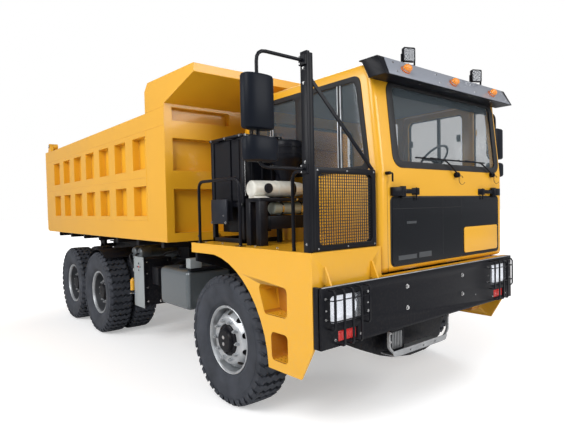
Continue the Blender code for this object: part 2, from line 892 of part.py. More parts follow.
def front_axle():
    """Make the front beam with its two yokes and leaf springs."""
    pin_x = TRACK_OUTER - KINGPIN_INSET
    beam_top = AXLE_Z - BEAM_DROP
    half = KNUCKLE_W / 2
    yoke_in = pin_x - half - YOKE_GAP
    inner = KNUCKLE_H / 2 + YOKE_GAP
    pieces = [box((-yoke_in + LAP, FRONT_AXLE_Y - YOKE_W / 2, beam_top - BEAM_H),
                  (yoke_in - LAP, FRONT_AXLE_Y + YOKE_W / 2, beam_top))]
    bores = []
    for side in (-1, 1):
        back = sorted((side * yoke_in, side * (yoke_in - YOKE_W)))
        lid = [(side * (yoke_in - YOKE_W - LAP), FRONT_AXLE_Y + half + LAP),
               (side * (yoke_in - YOKE_W - LAP), FRONT_AXLE_Y - half - LAP)]
        lid += [(side * x, y) for x, y in arc((pin_x, FRONT_AXLE_Y), half + LAP, -90, 90, YOKE_STEPS)]
        pieces.append(box((back[0], FRONT_AXLE_Y - half, AXLE_Z - inner - LAP),
                          (back[1], FRONT_AXLE_Y + half, AXLE_Z + inner + LAP)))
        for low in (AXLE_Z - inner - YOKE_PLATE, AXLE_Z + inner):
            pieces.append(prism([lid], "xy", low, low + YOKE_PLATE))
        reach = inner + YOKE_PLATE + OVERRUN
        for start, end in ((-reach, -inner + LAP / 2), (inner - LAP / 2, reach)):
            bores.append(bore((side * pin_x, FRONT_AXLE_Y, AXLE_Z + start),
                              (side * pin_x, FRONT_AXLE_Y, AXLE_Z + end), KINGPIN_R))
        pieces.append(leaf_pack(side * SPRING_X, beam_top - LAP, beam_top + SPRING_H, FRONT_AXLE_Y,
                                FRONT_SPRING_L))
    return cut(united(pieces), bores)


def rear_axle(place):
    """Make a driven axle: a round centre casing on a tube, and a shaft on to the last axle."""
    y = REAR_AXLES[place]
    reach = (TRACK_OUTER + TRACK_INNER) / 2 + (TRACK_OUTER - TRACK_INNER) / 2 - BORE_CAP - END_GAP
    casing = turned([(0, -DIFF_HALF), (DIFF_NOSE_R, -DIFF_HALF), (DIFF_R, -DIFF_HALF / 3),
                     (DIFF_R, DIFF_HALF / 3), (DIFF_NOSE_R, DIFF_HALF), (0, DIFF_HALF)],
                    (0, y, AXLE_Z), (0, 1, 0), ROUND_SIDES)
    pieces = [casing, rod((-reach, y, AXLE_Z), (reach, y, AXLE_Z), TUBE_R, twist=math.pi / RIM_SIDES)]
    if place == "mid":
        pieces.append(rod((0, y + DIFF_HALF - LAP, AXLE_Z),
                          (0, REAR_AXLES["rear"] - DIFF_HALF - SEAT, AXLE_Z), SHAFT_R))
    return united(pieces)


def bogie_springs():
    """Make the bogie's cross shaft with a leaf spring pack on each side."""
    reach = BOGIE_SPRING_X + SPRING_W / 4
    seat = AXLE_Z + TUBE_R * math.cos(math.pi / RIM_SIDES) + SEAT
    pieces = [rod((-reach, BOGIE_Y, BOGIE_SHAFT_Z), (reach, BOGIE_Y, BOGIE_SHAFT_Z), TUBE_R)]
    for side in (-1, 1):
        pieces.append(leaf_pack(side * BOGIE_SPRING_X, seat, BOGIE_SPRING_TOP, BOGIE_Y,
                                BOGIE_SPREAD + SADDLE))
    return united(pieces)


def engine():
    """Make the engine as one plain block with its gearbox and propeller shaft."""
    block = softened(box((-ENGINE_W / 2, behind(ENGINE_FRONT), ENGINE_LOW),
                         (ENGINE_W / 2, behind(ENGINE_REAR), ENGINE_TOP)), ENGINE_EDGE)
    gearbox = box((-GEARBOX_W / 2, behind(ENGINE_REAR) - LAP, GEARBOX_LOW),
                  (GEARBOX_W / 2, behind(GEARBOX_REAR), GEARBOX_TOP))
    end = REAR_AXLES["mid"] - DIFF_HALF - SEAT
    shaft = tube([(0, behind(GEARBOX_REAR) - LAP, SHAFT_Z), (0, behind(GEARBOX_REAR) + SHAFT_JOINT, SHAFT_Z),
                  (0, end - SHAFT_JOINT, AXLE_Z), (0, end, AXLE_Z)], SHAFT_R)
    return united([block, gearbox, shaft])


# Frame
def frame_rail(side):
    """Make one channel rail, open outward."""
    low = FRAME_TOP - RAIL_H
    web = RAIL_X + RAIL_WALL
    outer = RAIL_X + RAIL_W
    channel = [(RAIL_X, low), (outer, low), (outer, low + RAIL_WALL), (web, low + RAIL_WALL),
               (web, FRAME_TOP - RAIL_WALL), (outer, FRAME_TOP - RAIL_WALL), (outer, FRAME_TOP),
               (RAIL_X, FRAME_TOP)]
    return prism([[(side * x, z) for x, z in channel]], "xz", behind(BUMPER_PLATE) + SEAT,
                 TIP_HINGE_Y + FRAME_TAIL)


def side_arms(side, inner_x, places):
    """Make the arms that reach from a rail to a tank or box."""
    arms = []
    for y in places:
        ends = sorted((side * (RAIL_X + RAIL_WALL / 2), side * (inner_x - SEAT)))
        arms.append(box((ends[0], y - ARM_W / 2, ARM_TOP - ARM_H), (ends[1], y + ARM_W / 2, ARM_TOP)))
    return arms


def frame():
    """Make the frame: two channel rails, their crossmembers and the brackets they carry."""
    rail_low = FRAME_TOP - RAIL_H
    pieces = [frame_rail(-1), frame_rail(1)]
    middle = (rail_low + FRAME_TOP) / 2
    reach = RAIL_X + RAIL_WALL / 2
    for y in (behind(OUTRIGGER_FRONT), behind(HOIST_BACK) + CROSS_STEP, BOGIE_Y - CROSS_STEP,
              BOGIE_Y + CROSS_STEP):
        pieces.append(rod((-reach, y, middle), (reach, y, middle), CROSS_R))
    pieces.append(rod((-reach, behind(HOIST_BACK), HOIST_Z), (reach, behind(HOIST_BACK), HOIST_Z),
                      HOIST_PIN_R))
    pieces.append(rod((-TIP_PIN_REACH, TIP_HINGE_Y, TIP_HINGE_Z),
                      (TIP_PIN_REACH, TIP_HINGE_Y, TIP_HINGE_Z), TIP_PIN_R))
    deck_low = DECK_TOP - DECK_EDGE - SEAT
    arm_in = RAIL_X + RAIL_WALL / 2
    tip = HALF - DECK_WALL - SEAT
    for place in (OUTRIGGER_FRONT, OUTRIGGER_REAR):
        gusset = [(-arm_in, rail_low + RAIL_WALL), (-arm_in, FRAME_TOP - RAIL_WALL / 2),
                  (-DECK_INNER, FRAME_TOP - RAIL_WALL / 2), (-DECK_INNER, deck_low),
                  (-tip, deck_low), (-tip, deck_low - OUTRIGGER_TIP)]
        pieces.append(prism([gusset], "xz", behind(place) - OUTRIGGER_W / 2,
                            behind(place) + OUTRIGGER_W / 2))
    top = LEFT_FENDER_TOP - DECK_WALL - SEAT
    gusset = [(arm_in, rail_low + RAIL_WALL), (tip, top - OUTRIGGER_TIP), (tip, top), (arm_in, top)]
    pieces.append(prism([gusset], "xz", behind(OUTRIGGER_FRONT) - OUTRIGGER_W / 2,
                        behind(OUTRIGGER_FRONT) + OUTRIGGER_W / 2))
    for side in (-1, 1):
        rail_mid = side * (RAIL_X + RAIL_W / 2)
        for place in CAB_MOUNTS:
            pieces.append(box((rail_mid - MOUNT_W / 2 + LAP, behind(place) - MOUNT_L / 2, FRAME_TOP - LAP),
                              (rail_mid + MOUNT_W / 2 - LAP, behind(place) + MOUNT_L / 2, CAB_LOW - SEAT)))
        spring_end = FRONT_SPRING_L / 2 - HANGER_L / 2
        low = AXLE_Z - BEAM_DROP - LAP + (SPRING_H + LAP) / 2 + SEAT
        for y in (FRONT_AXLE_Y - spring_end, FRONT_AXLE_Y + spring_end):
            hang = sorted((side * (RAIL_X + LAP), side * (SPRING_X + SPRING_W / 2)))
            pieces.append(box((hang[0], y - HANGER_L / 2 + LAP, low), (hang[1], y + HANGER_L / 2 - LAP,
                                                                     rail_low + RAIL_WALL / 2)))
        saddle = sorted((side * (RAIL_X + LAP), side * (BOGIE_SPRING_X - SPRING_W / 2 - END_GAP)))
        pieces.append(box((saddle[0], BOGIE_Y - SADDLE / 2, BOGIE_SHAFT_Z + TUBE_R + SEAT),
                          (saddle[1], BOGIE_Y + SADDLE / 2, rail_low + RAIL_WALL / 2)))
    tank_ys = [behind(TANK_FRONT + TANK_L * share) for share in ARM_SHARES]
    pieces += side_arms(-1, TANK_OUT - TANK_DEPTH, tank_ys)
    pieces += side_arms(1, TANK_OUT - TANK_DEPTH, tank_ys)
    pieces += side_arms(-1, TANK_OUT - BOX_DEPTH, [behind(BOX_FRONT + BOX_L / 2)])
    pieces += side_arms(1, AIR_TANK_X - AIR_TANK_R,
                        [behind(AIR_TANK_FRONT + AIR_TANK_L * share) for share in ARM_SHARES])
    return united(pieces)


# Bumper and lamps
def bumper():
    """Make the bumper plate with its lamp openings, side returns and wire lamp guards."""
    outer = [(-HALF, 0), (HALF, 0), (HALF, BUMPER_RETURN), (-HALF, BUMPER_RETURN)]
    inner = [(-HALF + BUMPER_PLATE, BUMPER_PLATE), (HALF - BUMPER_PLATE, BUMPER_PLATE),
             (HALF - BUMPER_PLATE, BUMPER_RETURN + OVERRUN), (-HALF + BUMPER_PLATE, BUMPER_RETURN + OVERRUN)]
    shell = prism([[(x, y + NOSE_Y) for x, y in outer]], "xy", BUMPER_LOW, BUMPER_TOP)
    shell = softened(shell, BUMPER_EDGE)
    cutters = [prism([[(x, y + NOSE_Y) for x, y in inner]], "xy", BUMPER_LOW - OVERRUN,
                     BUMPER_TOP + OVERRUN)]
    shell = cut(shell, cutters)
    openings = []
    guards = []
    tip, root, thick = NOSE_Y - GUARD_REACH, NOSE_Y + LAP, GUARD_BAR_R * 2
    for side in (-1, 1):
        for width, height, z in ((LAMP_W, LAMP_H, LAMP_Z), (RED_W, RED_H, RED_Z)):
            left, right = side * LAMP_X - width / 2, side * LAMP_X + width / 2
            openings.append(box((left, NOSE_Y - OVERRUN, z - height / 2),
                                (right, NOSE_Y + BUMPER_PLATE + OVERRUN, z + height / 2)))
        for index in range(GUARD_BARS):
            x = side * LAMP_X - GUARD_W / 2 + GUARD_W * index / (GUARD_BARS - 1)
            bar = [(root, GUARD_LOW), (tip, GUARD_LOW), (tip, GUARD_TOP), (root, GUARD_TOP),
                   (root, GUARD_TOP - thick), (tip + thick, GUARD_TOP - thick),
                   (tip + thick, GUARD_LOW + thick), (root, GUARD_LOW + thick)]
            guards.append(prism([bar], "yz", x - GUARD_BAR_R, x + GUARD_BAR_R))
        for share in GUARD_RING_SHARES:
            z = GUARD_LOW + (GUARD_TOP - GUARD_LOW) * share
            reach = GUARD_W / 2 + GUARD_BAR_R * 2
            y = tip + thick * RING_SHARE
            guards.append(tube([(side * LAMP_X - reach, y, z), (side * LAMP_X + reach, y, z)],
                               GUARD_BAR_R, 0))
    return united([cut(shell, openings)] + guards)


def front_lamps(side):
    """Make the headlamp and the red lamp under it, on one backing plate."""
    back = NOSE_Y + BUMPER_PLATE + SEAT
    x = side * LAMP_X
    pieces = [box((x - LAMP_W / 2, back, RED_Z - RED_H / 2), (x + LAMP_W / 2, back + LAMP_DEPTH / 2,
                                                             LAMP_Z + LAMP_H / 2 + LAMP_DEPTH / 2))]
    for width, height, z in ((LAMP_W, LAMP_H, LAMP_Z), (RED_W, RED_H, RED_Z)):
        pieces.append(box((x - width / 2 + SEAT, NOSE_Y + LAMP_SINK, z - height / 2 + SEAT),
                          (x + width / 2 - SEAT, back + LAP, z + height / 2 - SEAT)))
    return united(pieces)


def tow_step():
    """Make the bent step bar under the bumper, hung from its lower edge."""
    top = BUMPER_LOW - SEAT
    y = behind(TOW_BACK)
    corners = [(TOW_RIGHT, y, top), (TOW_RIGHT + TOW_FLARE, y, TOW_LOW + TOW_FLARE),
               (TOW_RIGHT + TOW_FLARE * 2, y, TOW_LOW), (TOW_LEFT - TOW_FLARE * 2, y, TOW_LOW),
               (TOW_LEFT - TOW_FLARE, y, TOW_LOW + TOW_FLARE), (TOW_LEFT, y, top)]
    plate = box((TOW_RIGHT + TOW_FLARE, y - TOW_R, TOW_LOW - TOW_R / 2),
                (TOW_LEFT - TOW_FLARE, y + TOW_TREAD, TOW_LOW + TOW_R / 2))
    return united([tube(corners, TOW_R), plate])


# Fenders and deck
def arch_arc(low, high):
    """List points on the wheel arch, from its front at one height up to another height."""
    centre = (FRONT_AXLE_Y + ARCH_BACK, AXLE_Z - ARCH_DROP)
    start = 180 - math.degrees(math.asin((low - centre[1]) / ARCH_R))
    end = 180 - math.degrees(math.asin((high - centre[1]) / ARCH_R))
    return arc(centre, ARCH_R, start, end, ARCH_STEPS)


def step_opening(low, high, rear_low, rear_high):
    """List the rounded outline of a step's opening."""
    front = behind(STEP_FRONT)
    return [(front, low), (behind(rear_low), low), (behind(rear_high), high), (front, high)]


def fender_panel(side, top, rear):
    """Make a fender's side panel with its two recessed steps."""
    front = behind(DECK_FRONT)
    outline = [(front, top), (front, FENDER_KNEE), (front + FENDER_TOE_BACK, FENDER_LOW)]
    outline += arch_arc(FENDER_LOW, top - DECK_EDGE)
    if rear:
        outline += [(rear, top - DECK_EDGE), (rear, top)]
    else:
        outline += arch_arc(top - DECK_EDGE, top)[1:]
    holes = [step_opening(*row) for row in STEP_OPENINGS]
    across = sorted((side * HALF, side * (HALF - DECK_WALL)))
    panel = prism([outline] + [rounded(hole, STEP_CORNER) for hole in holes], "yz", *across)
    pieces = [panel]
    cutters = []
    for hole in holes:
        across = sorted((side * (HALF - DECK_WALL + LAP), side * (HALF - STEP_DEPTH)))
        pieces.append(prism([rounded(grown(hole, STEP_WALL), STEP_CORNER)], "yz", *across))
        across = sorted((side * (HALF + OVERRUN), side * (HALF - STEP_DEPTH + STEP_WALL)))
        cutters.append(prism([rounded(hole, STEP_CORNER)], "yz", *across))
    return pieces, cutters


def deck_right():
    """Make the right deck: its folded plate, front apron, side panel and steps."""
    front, rear = behind(DECK_FRONT), behind(DECK_REAR)
    plate = box((-HALF, front, DECK_TOP - DECK_EDGE), (-DECK_INNER, rear, DECK_TOP))
    hollow = box((-HALF + DECK_WALL, front + DECK_WALL, DECK_TOP - DECK_EDGE - OVERRUN),
                 (-DECK_INNER - DECK_WALL, rear - DECK_WALL, DECK_TOP - DECK_WALL))
    apron = box((-HALF + LAP, front, APRON_LOW), (-DECK_INNER, front + DECK_WALL, DECK_TOP - LAP))
    pieces, cutters = fender_panel(-1, DECK_TOP, rear)
    body = united([cut(plate, [hollow]), apron] + pieces)
    body = cut(body, cutters)
    lugs = []
    for x in APRON_LUGS:
        lugs.append(prism([[(NOSE_Y + BUMPER_PLATE / 2, BUMPER_TOP + SEAT),
                            (front + LAP, BUMPER_TOP + SEAT), (front + LAP, BUMPER_TOP + LUG_H),
                            (front - LUG_T, BUMPER_TOP + LUG_H)]], "yz", x - LUG_T, x + LUG_T))
    return united([body] + lugs)


def fender_left():
    """Make the left fender under the cab, with its steps and inner plates."""
    front = behind(DECK_FRONT)
    rear = arch_arc(FENDER_LOW, LEFT_FENDER_TOP)[-1][0]
    pieces, cutters = fender_panel(1, LEFT_FENDER_TOP, None)
    lid = box((FENDER_INNER, front, LEFT_FENDER_TOP - DECK_WALL), (HALF - LAP, rear - LAP, LEFT_FENDER_TOP))
    apron = box((FENDER_INNER, front, APRON_LOW), (HALF - LAP, front + DECK_WALL, LEFT_FENDER_TOP - LAP))
    return cut(united(pieces + [lid, apron]), cutters)


# Cab
def cab_outline():
    """List the cab's side view."""
    front, rear = behind(CAB_FRONT), behind(CAB_REAR)
    return [(front, CAB_LOW), (front, CAB_BELT), (front + CAB_RAKE, CAB_TOP - CAB_ROOF_SLOPE * 2),
            (front + CAB_RAKE + CAB_ROOF_SLOPE, CAB_TOP), (rear - CAB_ROOF_SLOPE, CAB_TOP),
            (rear, CAB_TOP - CAB_ROOF_SLOPE), (rear, CAB_LOW)]


def side_window(margin, front, rear, slant):
    """List a side window's outline, its front edge leaning back by the slant, made smaller by a margin."""
    corners = [(behind(front), WINDOW_LOW), (behind(rear), WINDOW_LOW), (behind(rear), WINDOW_TOP),
               (behind(front + slant), WINDOW_TOP)]
    return rounded(grown(corners, -margin), WINDOW_CORNER)


def screen_outline(margin):
    """List the windscreen's outline in the front view, made smaller by a margin."""
    corners = rectangle((SCREEN_RIGHT, SCREEN_LOW), (SCREEN_LEFT, SCREEN_TOP))
    return rounded(grown(corners, -margin), WINDOW_CORNER)


def door_outline(margin):
    """List the door's outline in the side view, made smaller by a margin."""
    corners = rectangle((behind(DOOR_FRONT), DOOR_LOW), (behind(DOOR_REAR), DOOR_TOP))
    return rounded(grown(corners, -margin), WINDOW_CORNER)


def door_window(margin):
    """List the outline of the window in the door."""
    corners = rectangle((behind(DOOR_FRONT) + DOOR_FRAME, WINDOW_LOW),
                        (behind(DOOR_REAR) - DOOR_FRAME, WINDOW_TOP - DOOR_FRAME / 2))
    return rounded(grown(corners, -margin), WINDOW_CORNER)


def cab_shell():
    """Make the hollow cab with its windows and doorway cut, and the door's hinge lugs."""
    outline = cab_outline()
    shell = softened(prism([outline], "yz", CAB_RIGHT, CAB_LEFT), CAB_EDGE)
    room = prism([grown(outline, -CAB_WALL)], "yz", CAB_RIGHT + CAB_WALL, CAB_LEFT - CAB_WALL)
    deep = CAB_WALL + OVERRUN
    right = [prism([side_window(0, *row)], "yz", CAB_RIGHT - OVERRUN, CAB_RIGHT + deep)
             for row in RIGHT_WINDOWS]
    left = [prism([side_window(0, *row)], "yz", CAB_LEFT - deep, CAB_LEFT + OVERRUN)
            for row in LEFT_WINDOWS]
    doorway = prism([door_outline(0)], "yz", CAB_LEFT - deep, CAB_LEFT + OVERRUN)
    screen = prism([screen_outline(0)], "xz", behind(CAB_FRONT) - OVERRUN,
                   behind(CAB_FRONT) + CAB_RAKE + deep)
    back = prism([back_outline(0)], "xz", behind(CAB_REAR) - deep, behind(CAB_REAR) + OVERRUN)
    lower = prism([lower_outline(0)], "xz", behind(CAB_FRONT) - OVERRUN, behind(CAB_FRONT) + LOWER_SINK)
    hollow = united([room] + right + left + [doorway, screen, back])
    shell = cut(shell, [hollow, lower])
    return united([shell] + [hinge_leaf(-1, z) for z in HINGE_ZS])


def hinge_leaf(way, low):
    """Make one hinge leaf, forward of the pin for the cab or behind it for the door."""
    ring = arc((HINGE_X, HINGE_Y), HINGE_R, 0, -way * 180, SMALL_EAR_STEPS)
    tip = HINGE_Y + way * LEAF_L
    root = HINGE_Y + way * LEAF_L / 2
    outline = [(HINGE_X + HINGE_R, tip)] + ring + [(HINGE_X - HINGE_R, root), (CAB_LEFT - LAP, root),
                                                   (CAB_LEFT - LAP, tip)]
    return prism([outline], "xy", low, low + HINGE_L)


def back_outline(margin):
    """List the rear window's outline."""
    corners = rectangle((BACK_RIGHT, WINDOW_LOW), (BACK_LEFT, WINDOW_TOP - DOOR_FRAME))
    return rounded(grown(corners, -margin), WINDOW_CORNER)


def lower_outline(margin):
    """List the dark lower panel's outline."""
    corners = rectangle((LOWER_RIGHT, LOWER_LOW), (LOWER_LEFT, LOWER_TOP))
    return rounded(grown(corners, -margin), WINDOW_CORNER / 2)


def cab_door(joint):
    """Make the left door with its window cut, hinge lugs and handle, and its glass."""
    door = prism([door_outline(DOOR_GAP), door_window(0)], "yz", CAB_LEFT - DOOR_WALL, CAB_LEFT)
    lugs = [hinge_leaf(1, z + HINGE_L + LUG_GAP) for z in HINGE_ZS]
    bar = box((CAB_LEFT + HANDLE_OUT - HANDLE_T, HANDLE_Y - HANDLE_T, HANDLE_Z - HANDLE_T),
              (CAB_LEFT + HANDLE_OUT, HANDLE_Y + HANDLE_T, HANDLE_Z + HANDLE_L + HANDLE_T))
    feet = [box((CAB_LEFT - LAP, HANDLE_Y - HANDLE_T / 2, z - HANDLE_T / 2),
                (CAB_LEFT + HANDLE_OUT - HANDLE_T / 2, HANDLE_Y + HANDLE_T / 2, z + HANDLE_T / 2))
            for z in (HANDLE_Z, HANDLE_Z + HANDLE_L)]
    keep(united([door, bar] + feet + lugs), "cab_door", "yellow_paint", joint)
    glass = prism([door_window(SEAT)], "yz", CAB_LEFT - GLASS_SINK - GLASS, CAB_LEFT - GLASS_SINK)
    keep(glass, "door_glass", "cab_glass", joint)


def windows():
    """Make the cab's panes: raked screen, lower panel, side panes and rear pane."""
    screen = prism([screen_outline(SEAT)], "xz", behind(CAB_FRONT) - OVERRUN,
                   behind(CAB_FRONT) + CAB_RAKE + CAB_WALL)
    lean = CAB_RAKE / (CAB_TOP - CAB_ROOF_SLOPE * 2 - CAB_BELT)
    low, high = CAB_BELT, CAB_TOP
    foot = behind(CAB_FRONT) + GLASS_SINK
    head = foot + lean * (high - low)
    slab = prism([[(foot, low), (foot + GLASS, low), (head + GLASS, high), (head, high)]], "yz",
                 SCREEN_RIGHT - OVERRUN, SCREEN_LEFT + OVERRUN)
    keep(combine(screen, [slab], 'INTERSECT'), "windscreen", "cab_glass")
    front = behind(CAB_FRONT)
    keep(prism([lower_outline(SEAT)], "xz", front - GLASS, front + LOWER_SINK - SEAT), "lower_screen",
         "dark_glass")
    for side, rows, name in ((-1, RIGHT_WINDOWS, "right_window"), (1, LEFT_WINDOWS, "left_window")):
        wall = CAB_RIGHT if side < 0 else CAB_LEFT
        across = sorted((wall - side * GLASS_SINK, wall - side * (GLASS_SINK + GLASS)))
        for row, place in zip(rows, ("front", "rear")):
            pane = prism([side_window(SEAT, *row)], "yz", *across)
            keep(pane, "%s_%s" % (name, place), "cab_glass")
    rear = behind(CAB_REAR)
    keep(prism([back_outline(SEAT)], "xz", rear - GLASS_SINK - GLASS, rear - GLASS_SINK), "rear_window",
         "cab_glass")


def visor():
    """Make the sloped lamp visor in front of the roof, with marker and work lamps."""
    foot = behind(CAB_FRONT)
    outline = [(foot - VISOR_REACH, VISOR_LOW), (foot + CAB_RAKE * VISOR_SEAT_SHARE - SEAT, VISOR_LOW),
               (foot + CAB_RAKE - SEAT, CAB_TOP - CAB_ROOF_SLOPE * 2),
               (foot + CAB_RAKE + CAB_ROOF_SLOPE - SEAT, CAB_TOP + SEAT),
               (foot + CAB_RAKE + CAB_ROOF_SLOPE + VISOR_LAP, CAB_TOP + SEAT),
               (foot + CAB_RAKE + CAB_ROOF_SLOPE + VISOR_LAP, CAB_TOP + VISOR_T),
               (foot - VISOR_REACH + VISOR_LEAN, CAB_TOP + VISOR_T)]
    pieces = [prism([outline], "yz", VISOR_RIGHT, VISOR_LEFT)]
    for x in MARKER_XS:
        y = foot - VISOR_REACH + VISOR_LEAN / 2
        z = (VISOR_LOW + CAB_TOP) / 2
        pieces.append(box((x - MARKER_W / 2, y - MARKER_T, z - MARKER_H / 2),
                          (x + MARKER_W / 2, y + MARKER_T, z + MARKER_H / 2)))
    for x in WORK_LAMP_XS:
        y = foot + CAB_RAKE - VISOR_REACH / 2
        z = CAB_TOP + VISOR_T + WORK_LAMP_FOOT
        pieces.append(box((x - WORK_LAMP_W / 2, y - WORK_LAMP_T / 2, z),
                          (x + WORK_LAMP_W / 2, y + WORK_LAMP_T / 2, z + WORK_LAMP_W)))
        pieces.append(box((x - WORK_LAMP_T / 2, y - WORK_LAMP_T / 4, CAB_TOP + VISOR_T - LAP),
                          (x + WORK_LAMP_T / 2, y + WORK_LAMP_T / 4, z + LAP)))
    return united(pieces)


def cab_inside():
    """Make the dash with its steering column and wheel, and the driver's seat."""
    floor = CAB_LOW + CAB_WALL + SEAT
    wall = behind(CAB_FRONT) + CAB_WALL + SEAT
    dash = softened(box((DASH_RIGHT, wall, floor), (DASH_LEFT, wall + DASH_L, DASH_TOP)), DASH_EDGE)
    y = wall + DASH_L / 2
    hub = Vector((DRIVER_X, behind(WHEEL_BACK), WHEEL_Z))
    column = rod((DRIVER_X, y, DASH_TOP - COLUMN_SINK), hub, COLUMN_R)
    lean = (hub - Vector((DRIVER_X, y, DASH_TOP - COLUMN_SINK))).normalized()
    ring = [(STEER_R, -STEER_GRIP), (STEER_R + STEER_GRIP, 0), (STEER_R, STEER_GRIP),
            (STEER_R - STEER_GRIP, 0)]
    rim = turned(ring, hub, lean, ROUND_SIDES)
    spokes = [rod(hub - ACROSS * STEER_R, hub + ACROSS * STEER_R, STEER_GRIP, sides=SPOKE_SIDES)]
    keep(united([dash, column, rim] + spokes), "dash_and_steering", "black_paint")
    base = box((DRIVER_X - SEAT_W / 3, behind(SEAT_FRONT) + SEAT_PAD, floor),
               (DRIVER_X + SEAT_W / 3, behind(SEAT_FRONT) + SEAT_L, SEAT_Z))
    right, left = DRIVER_X - SEAT_W / 2, DRIVER_X + SEAT_W / 2
    front, rear = behind(SEAT_FRONT), behind(SEAT_FRONT) + SEAT_L
    cushion = softened(box((right, front, SEAT_Z - LAP), (left, rear, SEAT_Z + SEAT_PAD)), DASH_EDGE)
    back = softened(box((right, rear - SEAT_PAD, SEAT_Z), (left, rear, SEAT_Z + SEAT_BACK_H)), DASH_EDGE)
    keep(united([base, cushion, back]), "driver_seat", "seat_fabric")


# Deck equipment
def guard():
    """Make the guard post with its mesh frame, brace and grab rail."""
    y = behind(POST_BACK)
    floor = DECK_TOP + SEAT
    half = POST_SIZE / 2
    low, high = y - half, y + half
    pieces = [box((POST_X - half, low, floor), (POST_X + half, high, POST_TOP))]
    bar = MESH_FRAME / 2
    left, right = POST_X + half - LAP, -DECK_INNER - MESH_END
    panel = box((left, y - bar, floor), (right, y + bar, MESH_TOP))
    window = box((left + MESH_FRAME, y - bar - OVERRUN, floor + MESH_FRAME),
                 (right - MESH_FRAME, y + bar + OVERRUN, MESH_TOP - MESH_FRAME))
    pieces.append(cut(panel, [window]))
    for index in range(1, MESH_COLUMNS):
        x = left + MESH_FRAME + (right - left - MESH_FRAME * 2) * index / MESH_COLUMNS
        pieces.append(box((x - MESH_WIRE, y - MESH_WIRE, floor + LAP),
                          (x + MESH_WIRE, y + MESH_WIRE, MESH_TOP - LAP)))
    for index in range(1, MESH_ROWS):
        z = floor + MESH_FRAME + (MESH_TOP - floor - MESH_FRAME * 2) * index / MESH_ROWS
        pieces.append(box((left + LAP, y - MESH_WIRE - MESH_WIRE / 2, z - MESH_WIRE),
                          (right - LAP, y + MESH_WIRE / 2, z + MESH_WIRE)))
    pieces.append(rod((POST_X, y, BRACE_TOP), (right - MESH_FRAME / 2, y, MESH_TOP - LAP), BRACE_R))
    pieces.append(tube([(POST_X, y, RAIL_TOP), (POST_X, behind(GRAB_BACK) - RAIL_BEND, RAIL_TOP),
                        (POST_X, behind(GRAB_BACK), RAIL_TOP - RAIL_BEND),
                        (POST_X, behind(GRAB_BACK), floor)], RAIL_R))
    return united(pieces)


def deck_rail():
    """Make the hooped handrail along the deck's edge."""
    floor = DECK_TOP + SEAT
    front, rear = behind(HOOP_FRONT), behind(HOOP_REAR)
    return tube([(POST_X, front, floor), (POST_X, front, RAIL_TOP - RAIL_BEND),
                 (POST_X, front + RAIL_BEND, RAIL_TOP), (POST_X, rear - RAIL_BEND, RAIL_TOP),
                 (POST_X, rear, RAIL_TOP - RAIL_BEND), (POST_X, rear, floor)], RAIL_R)


def mirrors(side):
    """Make a mirror arm with its two heads."""
    root_x = -POST_X + POST_SIZE / 2 + SEAT if side < 0 else CAB_LEFT + SEAT
    y = behind(POST_BACK) if side < 0 else behind(LEFT_MIRROR_BACK)
    heads = []
    stub_x = root_x + MIRROR_BEND
    arm = [(side * root_x, y, ARM_HIGH), (side * stub_x, y, ARM_HIGH),
           (side * (MIRROR_X - MIRROR_BEND), y, ARM_HIGH - MIRROR_BEND),
           (side * MIRROR_X, y, ARM_HIGH - MIRROR_BEND * 2), (side * MIRROR_X, y, ARM_LOW + MIRROR_BEND),
           (side * (MIRROR_X - MIRROR_BEND), y, ARM_LOW), (side * root_x, y, ARM_LOW)]
    for low, high in MIRROR_HEADS:
        head = box((side * MIRROR_X - MIRROR_W / 2, y - MIRROR_T / 2, low),
                   (side * MIRROR_X + MIRROR_W / 2, y + MIRROR_T / 2, high))
        heads.append(softened(head, MIRROR_EDGE))
    return united([tube(arm, MIRROR_ARM_R)] + heads)


def cooler():
    """Make the cooler stack on its legs, with a small box on its side."""
    floor = DECK_TOP + SEAT
    low = (-COOLER_OUT, behind(COOLER_FRONT), COOLER_LOW)
    high = (-COOLER_IN, behind(COOLER_REAR), COOLER_TOP)
    pieces = [softened(box(low, high), COOLER_EDGE)]
    for x in (low[0] + COOLER_LEG, high[0] - COOLER_LEG):
        for y in (low[1] + COOLER_LEG, high[1] - COOLER_LEG):
            pieces.append(box((x - COOLER_LEG / 2, y - COOLER_LEG / 2, floor),
                              (x + COOLER_LEG / 2, y + COOLER_LEG / 2, COOLER_LOW + COOLER_EDGE + LAP)))
    pieces.append(box((low[0] + LAP, low[1] + LAP, floor), (low[0] + COOLER_LEG, high[1] - LAP,
                                                            floor + COOLER_LEG)))
    pieces.append(box((low[0] - SIDE_BOX_T, high[1] - SIDE_BOX_L, SIDE_BOX_LOW),
                      (low[0] + LAP + COOLER_LEG, high[1] - COOLER_LEG, SIDE_BOX_TOP)))
    return united(pieces)


def silencer():
    """Make the silver silencer on its two black posts' saddle."""
    y = behind(SILENCER_BACK)
    body = turned([(0, 0), (SILENCER_R * TANK_CAP_SHARE, 0), (SILENCER_R, SILENCER_R / 2),
                   (SILENCER_R, SILENCER_L - SILENCER_R / 2), (SILENCER_R * TANK_CAP_SHARE, SILENCER_L),
                   (0, SILENCER_L)], (-SILENCER_OUT, y, SILENCER_Z), (1, 0, 0), ROUND_SIDES)
    floor = DECK_TOP + SEAT
    post = box((-SILENCER_OUT + LAP, y - SILENCER_POST, floor),
               (-SILENCER_OUT + SILENCER_POST, y + SILENCER_POST, SILENCER_Z - SILENCER_R + SILENCER_LAP))
    return united([body, post])


